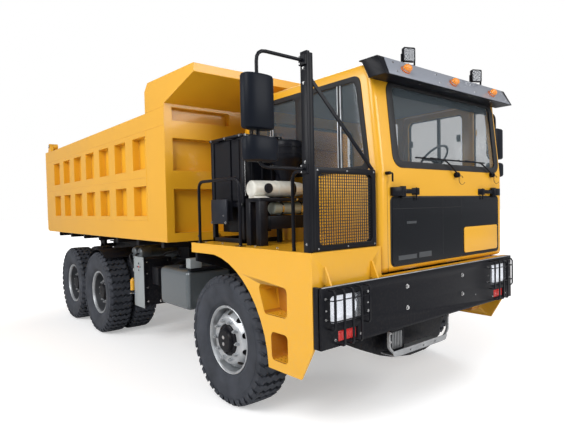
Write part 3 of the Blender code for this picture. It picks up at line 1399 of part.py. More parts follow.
def air_cleaner():
    """Make the upright air cleaner on its leg behind the silencer."""
    y = behind(CLEANER_BACK)
    cap = CLEANER_TOP + CLEANER_R / 4
    profile = [(0, CLEANER_LOW), (CLEANER_R / 2, CLEANER_LOW), (CLEANER_R, CLEANER_CONE),
               (CLEANER_R, CLEANER_TOP), (CLEANER_R * CLEANER_CAP_SHARE, cap), (0, cap)]
    leg = y + CLEANER_LEG
    return united([turned(profile, (-CLEANER_X, y, 0), (0, 0, 1), ROUND_SIDES),
                   box((-CLEANER_X - CLEANER_FOOT, leg - CLEANER_FOOT, DECK_TOP + SEAT),
                       (-CLEANER_X + CLEANER_FOOT, leg + CLEANER_FOOT, CLEANER_TOP - CLEANER_R))])


def side_tank(side):
    """Make the fuel tank, or the battery box on the other side."""
    ends = sorted((side * TANK_OUT, side * (TANK_OUT - TANK_DEPTH)))
    tank = box((ends[0], behind(TANK_FRONT), TANK_LOW), (ends[1], behind(TANK_FRONT) + TANK_L, TANK_TOP))
    return softened(tank, TANK_EDGE if side < 0 else TANK_EDGE / 4)


def plate_box():
    """Make the tall box behind the tank, with its pale outer plate."""
    inner = -TANK_OUT + BOX_DEPTH
    y = behind(BOX_FRONT)
    case = box((-TANK_OUT + BOX_PLATE, y + BOX_LIP, BOX_LOW + BOX_LIP),
               (inner, y + BOX_L - BOX_LIP, BOX_TOP - BOX_LIP))
    plate = box((-TANK_OUT, y, BOX_LOW), (-TANK_OUT + BOX_PLATE + LAP, y + BOX_L, BOX_TOP))
    return united([case, plate])


def air_tank():
    """Make the air tank on the left of the frame."""
    cap_r = AIR_TANK_R * TANK_CAP_SHARE
    bulge = AIR_TANK_R / 3
    profile = [(0, 0), (cap_r, 0), (AIR_TANK_R, bulge), (AIR_TANK_R, AIR_TANK_L - bulge),
               (cap_r, AIR_TANK_L), (0, AIR_TANK_L)]
    return turned(profile, (AIR_TANK_X, behind(AIR_TANK_FRONT), AIR_TANK_Z), (0, 1, 0), ROUND_SIDES)


# Dump body, tailgate and hoist
def pockets(side):
    """Make the cutters for the pockets in one side of the dump body."""
    cutters = []
    across = sorted((side * (HALF + OVERRUN), side * (HALF - POCKET_DEPTH)))
    for low, high in POCKET_ROWS:
        for index in range(POCKETS):
            start = behind(POCKET_FIRST + POCKET_PITCH * index)
            cutters.append(box((across[0], start, low), (across[1], start + POCKET_L, high)))
    return cutters


def dump_body(joint):
    """Make the dump body: pocketed sides, floor on sills, front wall, canopy and hinge ears."""
    front, rear = behind(BODY_FRONT), TAIL_Y - GATE_THICK - GATE_GAP
    ear_end = front + EAR_L
    outline = [(front, BODY_LOW), (rear, BODY_LOW), (rear, BODY_TOP), (ear_end, BODY_TOP),
               (ear_end, EAR_TOP - EAR_CHAMFER), (ear_end - EAR_CHAMFER, EAR_TOP),
               (behind(CANOPY_FRONT), CANOPY_LIP_LOW + CANOPY_LIP), (behind(CANOPY_FRONT), CANOPY_LIP_LOW),
               (front, CANOPY_ROOT_LOW)]
    shell = prism([outline], "yz", -HALF, HALF)
    inside = HALF - BODY_WALL
    room_front = front + BODY_FRONT_WALL
    room = [(room_front, BODY_LOW + BODY_FLOOR), (rear + OVERRUN, BODY_LOW + BODY_FLOOR),
            (rear + OVERRUN, EAR_TOP + OVERRUN), (room_front - ROOM_SLOPE, EAR_TOP + OVERRUN)]
    shell = cut(shell, [prism([room], "yz", -inside, inside)])
    shell = cut(shell, pockets(-1) + pockets(1) + front_recesses(front))
    casing = hoist_housing(front, BAY_WALL)
    shell = united([shell, prism([casing], "yz", -BAY_HALF - BAY_WALL, BAY_HALF + BAY_WALL)]
                   + sills(front) + hinge_ears() + gate_ears(rear))
    done = cut(shell, [prism([hoist_housing(front, 0)], "yz", -BAY_HALF, BAY_HALF), tip_bore()])
    keep(united([done] + hoist_ears(front)), "dump_body", "yellow_paint", joint)


def hoist_housing(front, wall):
    """List the side view of the recess the hoist leans back into, or of the casing round it."""
    if wall:
        low, start = BODY_LOW + LAP, front + LAP
    else:
        low, start = BODY_LOW - RIB_H - OVERRUN, front - OVERRUN
    back = front + BAY_HEAD + wall
    return [(start, low), (back + (BAY_TOP - low) * BAY_LEAN, low), (back, BAY_TOP + wall),
            (start, BAY_TOP + wall)]


def front_recesses(front):
    """Make the cutters for the sunk panels between the front wall's bands and ribs."""
    cutters = []
    for side in (-1, 1):
        for low, high in PANEL_ROWS:
            across = sorted((side * (HALF - POST_W), side * RIB_OUT))
            cutters.append(box((across[0], front - OVERRUN, low),
                               (across[1], front + FRONT_PANEL_SINK, high)))
    return cutters


def sills(front):
    """Make the two sills that rest on the frame, and the floor's cross ribs."""
    pieces = []
    end = TIP_HINGE_Y - SILL_SHORT
    for side in (-1, 1):
        x = side * SILL_X
        pieces.append(box((x - SILL_W / 2, front + SILL_START, FRAME_TOP + SEAT),
                          (x + SILL_W / 2, end, BODY_LOW + LAP)))
    count = RIB_COUNT
    for index in range(count):
        y = front + SILL_START * 2 + (end - front - SILL_START * 3) * index / (count - 1)
        pieces.append(box((-RIB_REACH, y - RIB_W / 2, BODY_LOW - RIB_H),
                          (RIB_REACH, y + RIB_W / 2, BODY_LOW + LAP)))
    return pieces


def hinge_ears():
    """Make the ears under the floor that turn on the frame's rear cross shaft."""
    ears = []
    half = TIP_EAR_W / 2
    for side in (-1, 1):
        x = side * TIP_EAR_X
        base = [(TIP_HINGE_Y + TIP_EAR_R * 2, BODY_LOW + LAP), (TIP_HINGE_Y - TIP_EAR_R * 2, BODY_LOW + LAP)]
        outline = base + arc((TIP_HINGE_Y, TIP_HINGE_Z), TIP_EAR_R, 180, 360, EAR_STEPS)
        ears.append(prism([outline], "yz", x - half, x + half))
    return ears


def tip_bore():
    """Make the cutter for the hinge ears' bore."""
    return bore((-TIP_PIN_REACH, TIP_HINGE_Y, TIP_HINGE_Z), (TIP_PIN_REACH, TIP_HINGE_Y, TIP_HINGE_Z),
                TIP_PIN_R)


def gate_ears(rear):
    """Make the two lugs on the body's top that hold the tailgate's pins."""
    pieces = []
    for side in (-1, 1):
        x = side * GATE_EAR_X
        outline = [(rear - GATE_EAR_L, BODY_TOP - LAP), (rear - LAP, BODY_TOP - LAP)]
        outline += arc((rear - GATE_PIN_BACK, GATE_PIN_Z), GATE_EAR_R, 0, 180, EAR_STEPS)
        pieces.append(prism([outline], "yz", x - GATE_EAR_W / 2, x + GATE_EAR_W / 2))
        pieces.append(rod((x, rear - GATE_PIN_BACK, GATE_PIN_Z),
                          (x - side * GATE_PIN_L, rear - GATE_PIN_BACK, GATE_PIN_Z), GATE_PIN_R))
    return pieces


def hoist_ears(front):
    """Make the two ears that stand either side of the hoist's eye."""
    ears = []
    y = behind(HOIST_BACK)
    for side in (-1, 1):
        inner = EYE_PIN_L / 2 + END_GAP
        across = sorted((side * inner, side * (inner + HOIST_EAR_W)))
        outline = arc((y, EYE_Z), HOIST_EAR_R, 90, 270, SMALL_EAR_STEPS)
        outline += [(front + BAY_EAR_SINK, EYE_Z - HOIST_EAR_R), (front + BAY_EAR_SINK, EYE_Z + HOIST_EAR_R)]
        ears.append(prism([outline], "yz", *across))
    return ears


def tailgate(joint):
    """Make the tailgate: a plate with outer ribs, hung from two arms."""
    rear = TAIL_Y - GATE_THICK
    half = HALF - GATE_SIDE
    pieces = [box((-half, rear, GATE_LOW), (half, rear + GATE_PLATE, GATE_TOP))]
    for z in (GATE_LOW, (GATE_LOW + GATE_TOP - GATE_RIB) / 2, GATE_TOP - GATE_RIB):
        pieces.append(box((-half, rear + GATE_PLATE - LAP, z), (half, TAIL_Y, z + GATE_RIB)))
    for index in range(GATE_RIBS):
        x = -half + (half * 2 - GATE_RIB) * index / (GATE_RIBS - 1)
        pieces.append(box((x, rear + GATE_PLATE - LAP, GATE_LOW + LAP),
                          (x + GATE_RIB, TAIL_Y - LAP, GATE_TOP - LAP)))
    pin_y = rear - GATE_GAP - GATE_PIN_BACK
    bores = []
    for side in (-1, 1):
        across = sorted((side * (GATE_EAR_X - GATE_EAR_W / 2 - GATE_GAP),
                         side * (GATE_EAR_X - GATE_PIN_L + GATE_GAP)))
        outline = arc((pin_y, GATE_PIN_Z), GATE_EAR_R, 90, 270, EAR_STEPS)
        outline += [(rear, GATE_PIN_Z - GATE_EAR_R), (rear, GATE_TOP - GATE_RIB),
                    (TAIL_Y - LAP, GATE_TOP - GATE_RIB), (TAIL_Y - LAP, GATE_PIN_Z)]
        pieces.append(prism([outline], "yz", *across))
        bores.append(bore((across[0] - OVERRUN, pin_y, GATE_PIN_Z), (across[1] + OVERRUN, pin_y, GATE_PIN_Z),
                          GATE_PIN_R))
    keep(cut(united(pieces), bores), "tailgate", "yellow_paint", joint)


def hoist(joints):
    """Make the telescopic hoist: a barrel on its foot pin, two sleeves and a rod with an eye."""
    y = behind(HOIST_BACK)
    count = len(joints) - 1
    for index, joint in enumerate(joints):
        radius = BARREL_R - (HOIST_WALL + RUN) * index
        low = BARREL_LOW + STAGE_LOW_GAP * index
        top = BARREL_TOP + STAGE_STEP * index
        inner = radius - HOIST_WALL
        if index < count:
            profile = [(0, low), (radius, low), (radius, top), (inner, top), (inner, low + HOIST_WALL),
                       (0, low + HOIST_WALL)]
            pieces = [turned(profile, (0, y, 0), (0, 0, 1), HOIST_SIDES)]
        else:
            pieces = [rod((0, y, low), (0, y, EYE_Z), radius, sides=HOIST_SIDES),
                      rod((-EYE_W / 2, y, EYE_Z), (EYE_W / 2, y, EYE_Z), EYE_R),
                      rod((-EYE_PIN_L / 2, y, EYE_Z), (EYE_PIN_L / 2, y, EYE_Z), EYE_PIN_R)]
        if index == 0:
            foot = rod((-FOOT_W / 2, y, HOIST_Z), (FOOT_W / 2, y, HOIST_Z), FOOT_R)
            pin = bore((-FOOT_W, y, HOIST_Z), (FOOT_W, y, HOIST_Z), HOIST_PIN_R)
            neck = rod((0, y, HOIST_Z + HOIST_PIN_R + HOIST_PIN_R / 2), (0, y, low + LAP), FOOT_W / 2)
            barrel = cut(united(pieces + [foot, neck]), [pin])
            keep(barrel, "hoist_barrel", "black_paint", joint)
        else:
            name = "hoist_rod" if index == count else "hoist_sleeve_%d" % index
            keep(united(pieces), name, "bright_steel", joint)


def build():
    """Make every piece of the truck."""
    keep(frame(), "frame", "chassis_black")
    keep(front_axle(), "front_axle", "cast_iron")
    for place in REAR_AXLES:
        keep(rear_axle(place), "axle_" + place, "cast_iron")
    keep(bogie_springs(), "bogie_springs", "cast_iron")
    keep(engine(), "engine", "engine_grey")
    keep(bumper(), "front_bumper", "black_paint")
    keep(front_lamps(-1), "front_lamps_right", "lamp_glass")
    keep(front_lamps(1), "front_lamps_left", "lamp_glass")
    keep(tow_step(), "tow_step", "light_grey")
    keep(deck_right(), "deck_right", "yellow_paint")
    keep(fender_left(), "fender_left", "yellow_paint")
    keep(cab_shell(), "cab_shell", "yellow_paint")
    cab_door(joint_at("door_hinge", (HINGE_X, HINGE_Y, DOOR_LOW)))
    windows()
    keep(visor(), "lamp_visor", "black_paint")
    cab_inside()
    keep(guard(), "mesh_guard", "black_paint")
    keep(deck_rail(), "deck_rail", "black_paint")
    keep(mirrors(-1), "mirrors_right", "black_paint")
    keep(mirrors(1), "mirrors_left", "black_paint")
    keep(cooler(), "cooler_stack", "black_paint")
    keep(silencer(), "silencer", "bright_steel")
    keep(air_cleaner(), "air_cleaner", "black_paint")
    keep(side_tank(-1), "fuel_tank", "chassis_black")
    keep(side_tank(1), "battery_box", "chassis_black")
    keep(plate_box(), "plate_box", "light_grey")
    keep(air_tank(), "air_tank", "chassis_black")
    tip = joint_at("bed_tip", (0, TIP_HINGE_Y, TIP_HINGE_Z))
    dump_body(tip)
    tailgate(joint_at("gate_hinge", (0, TAIL_Y - GATE_THICK - GATE_GAP - GATE_PIN_BACK, GATE_PIN_Z), tip))
    stages = [joint_at("hoist_pivot", (0, behind(HOIST_BACK), HOIST_Z))]
    for index in (1, 2, 3):
        stages.append(joint_at("hoist_slide_%d" % index, (0, behind(HOIST_BACK), HOIST_Z), stages[-1]))
    hoist(stages)
    wheels()


build()
for leftover in list(CUTTERS.objects):
    bpy.data.objects.remove(leftover, do_unlink=True)
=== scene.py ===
"""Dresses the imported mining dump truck: finer pieces, finishes, stage, lights and camera."""
import logging
import math
from dataclasses import dataclass, field
from enum import Enum
from typing import Iterable, Sequence

import bmesh
import bpy
from mathutils import Matrix, Vector


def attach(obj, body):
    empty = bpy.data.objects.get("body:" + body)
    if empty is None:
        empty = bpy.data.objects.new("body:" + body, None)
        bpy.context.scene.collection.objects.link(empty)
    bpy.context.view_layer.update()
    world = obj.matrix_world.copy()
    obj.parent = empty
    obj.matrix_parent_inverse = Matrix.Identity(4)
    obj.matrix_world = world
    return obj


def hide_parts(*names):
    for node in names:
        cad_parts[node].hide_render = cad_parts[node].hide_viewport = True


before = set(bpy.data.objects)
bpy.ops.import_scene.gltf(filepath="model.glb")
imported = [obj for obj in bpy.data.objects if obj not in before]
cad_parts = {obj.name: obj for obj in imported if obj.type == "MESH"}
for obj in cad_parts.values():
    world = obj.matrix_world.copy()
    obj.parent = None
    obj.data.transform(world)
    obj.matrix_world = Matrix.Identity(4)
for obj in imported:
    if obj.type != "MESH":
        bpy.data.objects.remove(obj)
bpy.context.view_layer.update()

LOG = logging.getLogger("truck")
Point = Sequence[float]
Colour = tuple[float, float, float]
Pair = tuple[float, float]
Pairs = tuple[Pair, ...]
Row = tuple[float, ...]
Rows = tuple[Row, ...]

# Places that several pieces share
ORIGIN = (0, 0, 0)
NOSE_Y = -4.26
AXLE_Z = 0.685
FRONT_AXLE_Y = -2.775
CAB_RIGHT, CAB_LEFT = -0.744, 1.631
CAB_FRONT_Y, CAB_REAR_Y = -4.16, -1.95
DECK_TOP = 1.69
DECK_FLOOR = DECK_TOP + 0.0003
LAMP_X = 1.325
HALF_WIDTH = 1.647


class Side(Enum):
    """One side of the truck, valued by its sign along X."""

    RIGHT = -1
    LEFT = 1


class Axis(Enum):
    """A direction that a shape is built along, valued by the turn from Z to it."""

    X = Matrix.Rotation(math.pi / 2, 4, "Y")
    Y = Matrix.Rotation(-math.pi / 2, 4, "X")
    Z = Matrix.Identity(4)


class Value:
    """A shader socket that can stand in sums."""

    def __init__(self, sheet: "Sheet", socket: bpy.types.NodeSocket) -> None:
        """Keep the socket and the sheet that its nodes go on."""
        self.sheet = sheet
        self.socket = socket

    def _math(self, operation: str, first: "Value | float", second: "Value | float") -> "Value":
        """Add a Math node with that operation on two values."""
        return self.sheet.node("ShaderNodeMath", {"operation": operation}, {0: first, 1: second})

    def __add__(self, other: "Value | float") -> "Value":
        """Add two values."""
        return self._math("ADD", self, other)

    __radd__ = __add__

    def __sub__(self, other: "Value | float") -> "Value":
        """Take a value from this one."""
        return self._math("SUBTRACT", self, other)

    def __rsub__(self, other: float) -> "Value":
        """Take this value from a number."""
        return self._math("SUBTRACT", other, self)

    def __mul__(self, other: "Value | float") -> "Value":
        """Multiply two values."""
        return self._math("MULTIPLY", self, other)

    __rmul__ = __mul__

    def __pow__(self, power: float) -> "Value":
        """Raise this value to a power."""
        return self._math("POWER", self, power)

    def between(self, low: float, high: float) -> "Value":
        """Map this value to 0 at low and 1 at high, held inside those."""
        return self.sheet.node("ShaderNodeMapRange", {"clamp": True},
                               {"Value": self, "From Min": low, "From Max": high}, "Result")


class Sheet:
    """A material's nodes round one Principled shader."""

    def __init__(self, name: str) -> None:
        """Make the material with its shader.

        Args:
            name: The material's name.
        """
        self.material = bpy.data.materials.new(name)
        self.material.use_nodes = True
        self.tree = self.material.node_tree
        self.shader = self.tree.nodes["Principled BSDF"]

    def node(self, kind: str, settings: dict, inputs: dict, output: str | int = 0) -> Value:
        """Add any node.

        Args:
            kind: The node's type.
            settings: Its properties, set first.
            inputs: Values or links by socket name or number.
            output: The socket that is wanted.

        Returns:
            That output as a value.
        """
        made = self.tree.nodes.new(kind)
        for key, setting in settings.items():
            if key == "stops":
                while len(made.color_ramp.elements) < len(setting):
                    made.color_ramp.elements.new(0.5)
                for stop, (place, colour) in zip(made.color_ramp.elements, setting):
                    stop.position = place
                    stop.color = (*colour, 1)
            else:
                setattr(made, key, setting)
        for key, given in inputs.items():
            self.feed(made.inputs[key], given)
        return Value(self, made.outputs[output])

    def feed(self, socket: bpy.types.NodeSocket, given: "Value | float | Sequence[float]") -> None:
        """Link a value to a socket, or set a plain number or colour on it.

        Args:
            socket: The socket to feed.
            given: A value, or a plain number or colour.
        """
        if isinstance(given, Value):
            self.tree.links.new(given.socket, socket)
        else:
            socket.default_value = given

    def place(self, scale: Point = (1, 1, 1)) -> Value:
        """Give the object's own coordinates, stretched by a scale.

        Args:
            scale: The stretch along each axis.

        Returns:
            The coordinates.
        """
        here = self.node("ShaderNodeTexCoord", {}, {}, "Object")
        if tuple(scale) == (1, 1, 1):
            return here
        return self.node("ShaderNodeMapping", {}, {"Vector": here, "Scale": scale})

    def noise(self, scale: float, detail: float = 2.0, stretch: Point = (1, 1, 1)) -> Value:
        """Give a noise value over the object."""
        return self.node("ShaderNodeTexNoise", {},
                         {"Vector": self.place(stretch), "Scale": scale, "Detail": detail}, "Fac")

    def mix(self, factor: "Value | float", first: "Value | Colour", second: "Value | Colour") -> Value:
        """Mix two colours by a factor."""
        pair = [item if isinstance(item, Value) else (*item, 1) for item in (first, second)]
        return self.node("ShaderNodeMix", {"data_type": "RGBA"}, {0: factor, 6: pair[0], 7: pair[1]}, 2)

    def bump(self, height: Value, distance: float, strength: float = 1.0) -> Value:
        """Give the normal of a bumped surface."""
        return self.node("ShaderNodeBump", {}, {"Strength": strength, "Distance": distance,
                                                "Height": height}, "Normal")

    def set(self, **inputs: "Value | float | Sequence[float]") -> None:
        """Feed the shader's sockets, named with underscores for spaces."""
        for name, given in inputs.items():
            self.feed(self.shader.inputs[name.replace("_", " ")], given)


MADE: dict[str, bpy.types.Material] = {}


@dataclass(frozen=True)
class Finish:
    """A surface with its colour, sheen and record slot."""

    name: str
    slot: str
    colour: Colour
    roughness: float = 0.5
    metallic: float = 0.0

    def dress(self, sheet: Sheet) -> None:
        """Add the finish's nodes.

        Args:
            sheet: The nodes to add to.
        """
        cloud = sheet.noise(3.0, 4.0)
        shade = tuple(part * 0.82 for part in self.colour)
        sheet.set(Base_Color=sheet.mix(cloud, shade, self.colour), Metallic=self.metallic,
                  Roughness=self.roughness + (cloud - 0.5) * 0.2)

    def material(self) -> bpy.types.Material:
        """Give the finish's material, made at its first use.

        Returns:
            The material.
        """
        if self.name not in MADE:
            sheet = Sheet(self.name)
            self.dress(sheet)
            sheet.material.diffuse_color = (*self.colour, 1)
            MADE[self.name] = sheet.material
        return MADE[self.name]


@dataclass(frozen=True)
class Enamel(Finish):
    """Sprayed paint with a fine skin, faint clouding and dust low down."""

    dust: Colour = (0.42, 0.36, 0.27)
    dusty: float = 0.12
    coat: float = 0.3
    skin: float = 0.0003
    gloss: float = 0.4

    def dress(self, sheet: Sheet) -> None:
        """Add the paint's clouding, dust and orange-peel skin.

        Args:
            sheet: The nodes to add to.
        """
        cloud = sheet.noise(1.4, 3.0)
        speck = sheet.noise(38.0, 4.0)
        place = sheet.place()
        height = sheet.node("ShaderNodeSeparateXYZ", {}, {"Vector": place}, "Z")
        low = (1.0 - height.between(0.5, 2.0)) * speck.between(0.45, 0.8) * self.dusty
        deep = tuple(part * 0.9 for part in self.colour)
        base = sheet.mix(cloud, deep, self.colour)
        sheet.set(Base_Color=sheet.mix(low, base, self.dust), Metallic=self.metallic,
                  Roughness=self.roughness + (cloud - 0.5) * 0.12 + low * 0.6,
                  Coat_Weight=self.coat, Coat_Roughness=0.12, Specular_IOR_Level=self.gloss,
                  Normal=sheet.bump(sheet.noise(160.0, 2.0), self.skin, 0.5))


@dataclass(frozen=True)
class Rubber(Finish):
    """Tyre rubber, mottled with greyer patches."""

    pale: Colour = (0.046, 0.051, 0.064)

    def dress(self, sheet: Sheet) -> None:
        """Add mottling and a fine grain.

        Args:
            sheet: The nodes to add to.
        """
        cloud = sheet.noise(5.0, 5.0)
        grain = sheet.noise(240.0, 3.0)
        sheet.set(Base_Color=sheet.mix(cloud.between(0.3, 0.75), self.colour, self.pale),
                  Roughness=self.roughness + (grain - 0.5) * 0.25, Specular_IOR_Level=0.3,
                  Normal=sheet.bump(grain, 0.0008, 0.6))


@dataclass(frozen=True)
class Metal(Finish):
    """Bare or silvered metal with fine drawn lines and slight tarnish."""

    grain: Point = (1, 1, 1)

    def dress(self, sheet: Sheet) -> None:
        """Add tarnish and drawn lines.

        Args:
            sheet: The nodes to add to.
        """
        tarnish = sheet.noise(7.0, 5.0)
        line = sheet.noise(120.0, 2.0, self.grain)
        dull = tuple(part * 0.7 for part in self.colour)
        sheet.set(Base_Color=sheet.mix(tarnish.between(0.35, 0.7), dull, self.colour),
                  Metallic=self.metallic, Roughness=self.roughness + (line - 0.5) * 0.2,
                  Normal=sheet.bump(line, 0.0002, 0.4))


@dataclass(frozen=True)
class Pane(Finish):
    """Clear or tinted glass."""

    alpha: float = 0.3
    gloss: float = 0.5

    def dress(self, sheet: Sheet) -> None:
        """Make a thin sheet with a faint smear in its gloss.

        Args:
            sheet: The nodes to add to.
        """
        smear = sheet.noise(4.0, 4.0)
        clear = tuple(part * 1.3 for part in self.colour)
        sheet.set(Base_Color=sheet.mix(smear, self.colour, clear), Alpha=self.alpha,
                  Roughness=self.roughness + smear * 0.05, Specular_IOR_Level=self.gloss)
        sheet.material.surface_render_method = 'BLENDED'


@dataclass(frozen=True)
class Lens(Finish):
    """A ribbed lamp lens."""

    ribs: float = 160.0
    glow: float = 0.0

    def dress(self, sheet: Sheet) -> None:
        """Add the lens's ribs and its own faint light.

        Args:
            sheet: The nodes to add to.
        """
        rib = sheet.node("ShaderNodeTexWave", {"wave_type": "BANDS", "bands_direction": "X"},
                         {"Vector": sheet.place(), "Scale": self.ribs, "Distortion": 0.0}, "Fac")
        tint = tuple(part * 0.8 for part in self.colour)
        sheet.set(Base_Color=sheet.mix(rib, tint, self.colour), Roughness=self.roughness,
                  Metallic=self.metallic, Coat_Weight=0.6, Coat_Roughness=0.05,
                  Emission_Color=(*self.colour, 1), Emission_Strength=self.glow,
                  Normal=sheet.bump(rib, 0.002, 0.5))


@dataclass(frozen=True)
class Cloth(Finish):
    """Woven seat cloth."""

    thread: float = 900.0

    def dress(self, sheet: Sheet) -> None:
        """Add a cross weave and slight fading.

        Args:
            sheet: The nodes to add to.
        """
        threads = [sheet.node("ShaderNodeTexWave", {"bands_direction": way},
                              {"Vector": sheet.place(), "Scale": self.thread, "Distortion": 0.4}, "Fac")
                   for way in ("X", "Z")]
        weave = threads[0] * threads[1]
        fade = sheet.noise(6.0, 3.0)
        pale = tuple(min(part * 1.7 + 0.01, 1) for part in self.colour)
        sheet.set(Base_Color=sheet.mix(weave * 0.5 + fade * 0.4, self.colour, pale),
                  Roughness=self.roughness, Sheen_Weight=0.2, Normal=sheet.bump(weave, 0.0008, 0.5))


YELLOW = Enamel("yellow_enamel", "yellow_paint", (0.745, 0.375, 0.016), 0.34)
BLACK = Enamel("black_enamel", "black_paint", (0.0055, 0.006, 0.009), 0.36, dusty=0.03, coat=0.02, gloss=0.12)
CHASSIS = Enamel("chassis_enamel", "chassis_black", (0.0065, 0.007, 0.01), 0.5, dusty=0.05, coat=0.0,
                 gloss=0.13)
RUBBER = Rubber("tyre_rubber_worn", "tyre_rubber", (0.021, 0.024, 0.031), 0.66)
SEAL = Rubber("rubber_seal", "black_paint", (0.01, 0.01, 0.011), 0.6, pale=(0.02, 0.02, 0.022))
SILVER = Metal("silver_wheel", "rim_silver", (0.56, 0.58, 0.6), 0.38, 0.75)
STEEL = Metal("drawn_steel", "bright_steel", (0.62, 0.62, 0.62), 0.25, 1.0)
IRON = Metal("cast_iron_oiled", "cast_iron", (0.05, 0.05, 0.055), 0.6, 0.5)
CLEAR = Pane("cab_glass_clear", "cab_glass", (0.11, 0.14, 0.16), 0.03, alpha=0.24)
TINTED = Pane("dark_panel", "dark_glass", (0.008, 0.009, 0.011), 0.08, alpha=1.0, gloss=0.18)
CHROME = Metal("lamp_reflector", "lamp_glass", (0.85, 0.86, 0.88), 0.12, 1.0)
RED_LENS = Lens("red_lens", "lamp_glass", (0.6, 0.015, 0.012), 0.15, glow=0.15)
AMBER_LENS = Lens("amber_lens", "lamp_glass", (0.85, 0.26, 0.01), 0.15, glow=0.2)
SEAT_CLOTH = Cloth("seat_cloth", "seat_fabric", (0.13, 0.02, 0.022), 0.85)
SMOKE_LENS = Lens("smoke_lens", "lamp_glass", (0.05, 0.055, 0.065), 0.15, ribs=60.0)
LAMP_COVER = Pane("lamp_cover", "lamp_glass", (0.5, 0.52, 0.55), 0.04, alpha=0.16)
SMOKE_GLASS = Pane("smoke_glass", "cab_glass", (0.01, 0.012, 0.014), 0.06, alpha=0.82)
STEP_SILVER = Metal("step_silver", "bright_steel", (0.42, 0.43, 0.44), 0.42, 0.7)
WINDOW_FRAME = Enamel("window_frame", "black_paint", (0.05, 0.062, 0.07), 0.4, dusty=0.0)
PANEL_GREY = Enamel("panel_grey", "dark_glass", (0.045, 0.05, 0.055), 0.3, dusty=0.0)
VISOR_GREY = Enamel("visor_grey", "black_paint", (0.27, 0.29, 0.335), 0.36, 0.3, dusty=0.0)
AMBER_BASE = Enamel("amber_base", "lamp_glass", (0.6, 0.13, 0.01), 0.35, dusty=0.0)
DISH_GREY = Metal("rear_dish_grey", "rim_silver", (0.1, 0.105, 0.115), 0.5, 0.5)
LAMP_BOWL = Lens("lamp_bowl", "lamp_glass", (0.85, 0.87, 0.92), 0.2, ribs=90.0, glow=0.45)
WORK_LIGHT = Lens("work_light", "lamp_glass", (0.9, 0.93, 0.98), 0.2, ribs=60.0, glow=0.6)
# A darker yellow: painted shade for the insides of the deck's step recesses, and the real colour of the deck's seam
# line.
PAINTED_SHADE_AND_SEAM = Enamel("yellow_shade", "yellow_paint", (0.5, 0.19, 0.01), 0.5)
BODY_YELLOW = Enamel("body_yellow", "yellow_paint", (0.77, 0.385, 0.018), 0.36, dusty=0.1)
MIRROR_BLACK = Enamel("mirror_black", "black_paint", (0.005, 0.007, 0.012), 0.46, dusty=0.0, coat=0.01,
                      gloss=0.11)
SWITCH_GREY = Enamel("switch_grey", "black_paint", (0.012, 0.014, 0.021), 0.45, dusty=0.0, coat=0.02,
                     gloss=0.18)
CREAM = Metal("cream_silver", "light_grey", (0.68, 0.67, 0.6), 0.4, 0.08)
SAGE = Metal("sage_silver", "light_grey", (0.3, 0.33, 0.28), 0.45, 0.08)
TANK = Enamel("tank_satin", "black_paint", (0.11, 0.128, 0.14), 0.3, 0.4, dusty=0.1)
PALE_GREY = Enamel("pale_grey", "light_grey", (0.3, 0.33, 0.34), 0.4, 0.2, dusty=0.1)
VALVE_BLUE = Enamel("valve_blue", "light_grey", (0.02, 0.09, 0.35), 0.4, dusty=0.05)
DASH_GREY = Rubber("dash_moulding", "black_paint", (0.045, 0.05, 0.06), 0.6, pale=(0.065, 0.072, 0.085))
CEILING_GREY = Cloth("ceiling_cloth", "light_grey", (0.06, 0.062, 0.066), 0.9)
HEAD_CLOTH = Cloth("headrest_cloth", "seat_fabric", (0.12, 0.13, 0.15), 0.85)


def sharp_edges(edges: Iterable[bmesh.types.BMEdge], degrees: float) -> list[bmesh.types.BMEdge]:
    """List the edges whose two faces meet at more than an angle."""
    return [edge for edge in edges if len(edge.link_faces) == 2
            and edge.calc_face_angle(0) > math.radians(degrees)]


def bevelled(mesh: bmesh.types.BMesh, edges: list[bmesh.types.BMEdge], offset: float,
             segments: int = 2, clamp: bool = True) -> None:
    """Round some edges of a mesh."""
    bmesh.ops.bevel(mesh, geom=edges, offset=offset, segments=segments, profile=0.5,
                    affect="EDGES", material=-1, clamp_overlap=clamp)


def fresh(made: dict, kind: type) -> list:
    """List what an operator made, of one kind."""
    return [item for item in made["geom"] if isinstance(item, kind)]


def band(inner: float, outer: float, low: float, high: float) -> list[Pair]:
    """List the section of a ring, for spinning."""
    return [(inner, low), (outer, low), (outer, high), (inner, high)]


def circle(across: float, up: float, radius: float, steps: int) -> list[Pair]:
    """List the corners of a round outline."""
    turns = [math.tau * step / steps for step in range(steps)]
    return [(across + radius * math.cos(turn), up + radius * math.sin(turn)) for turn in turns]


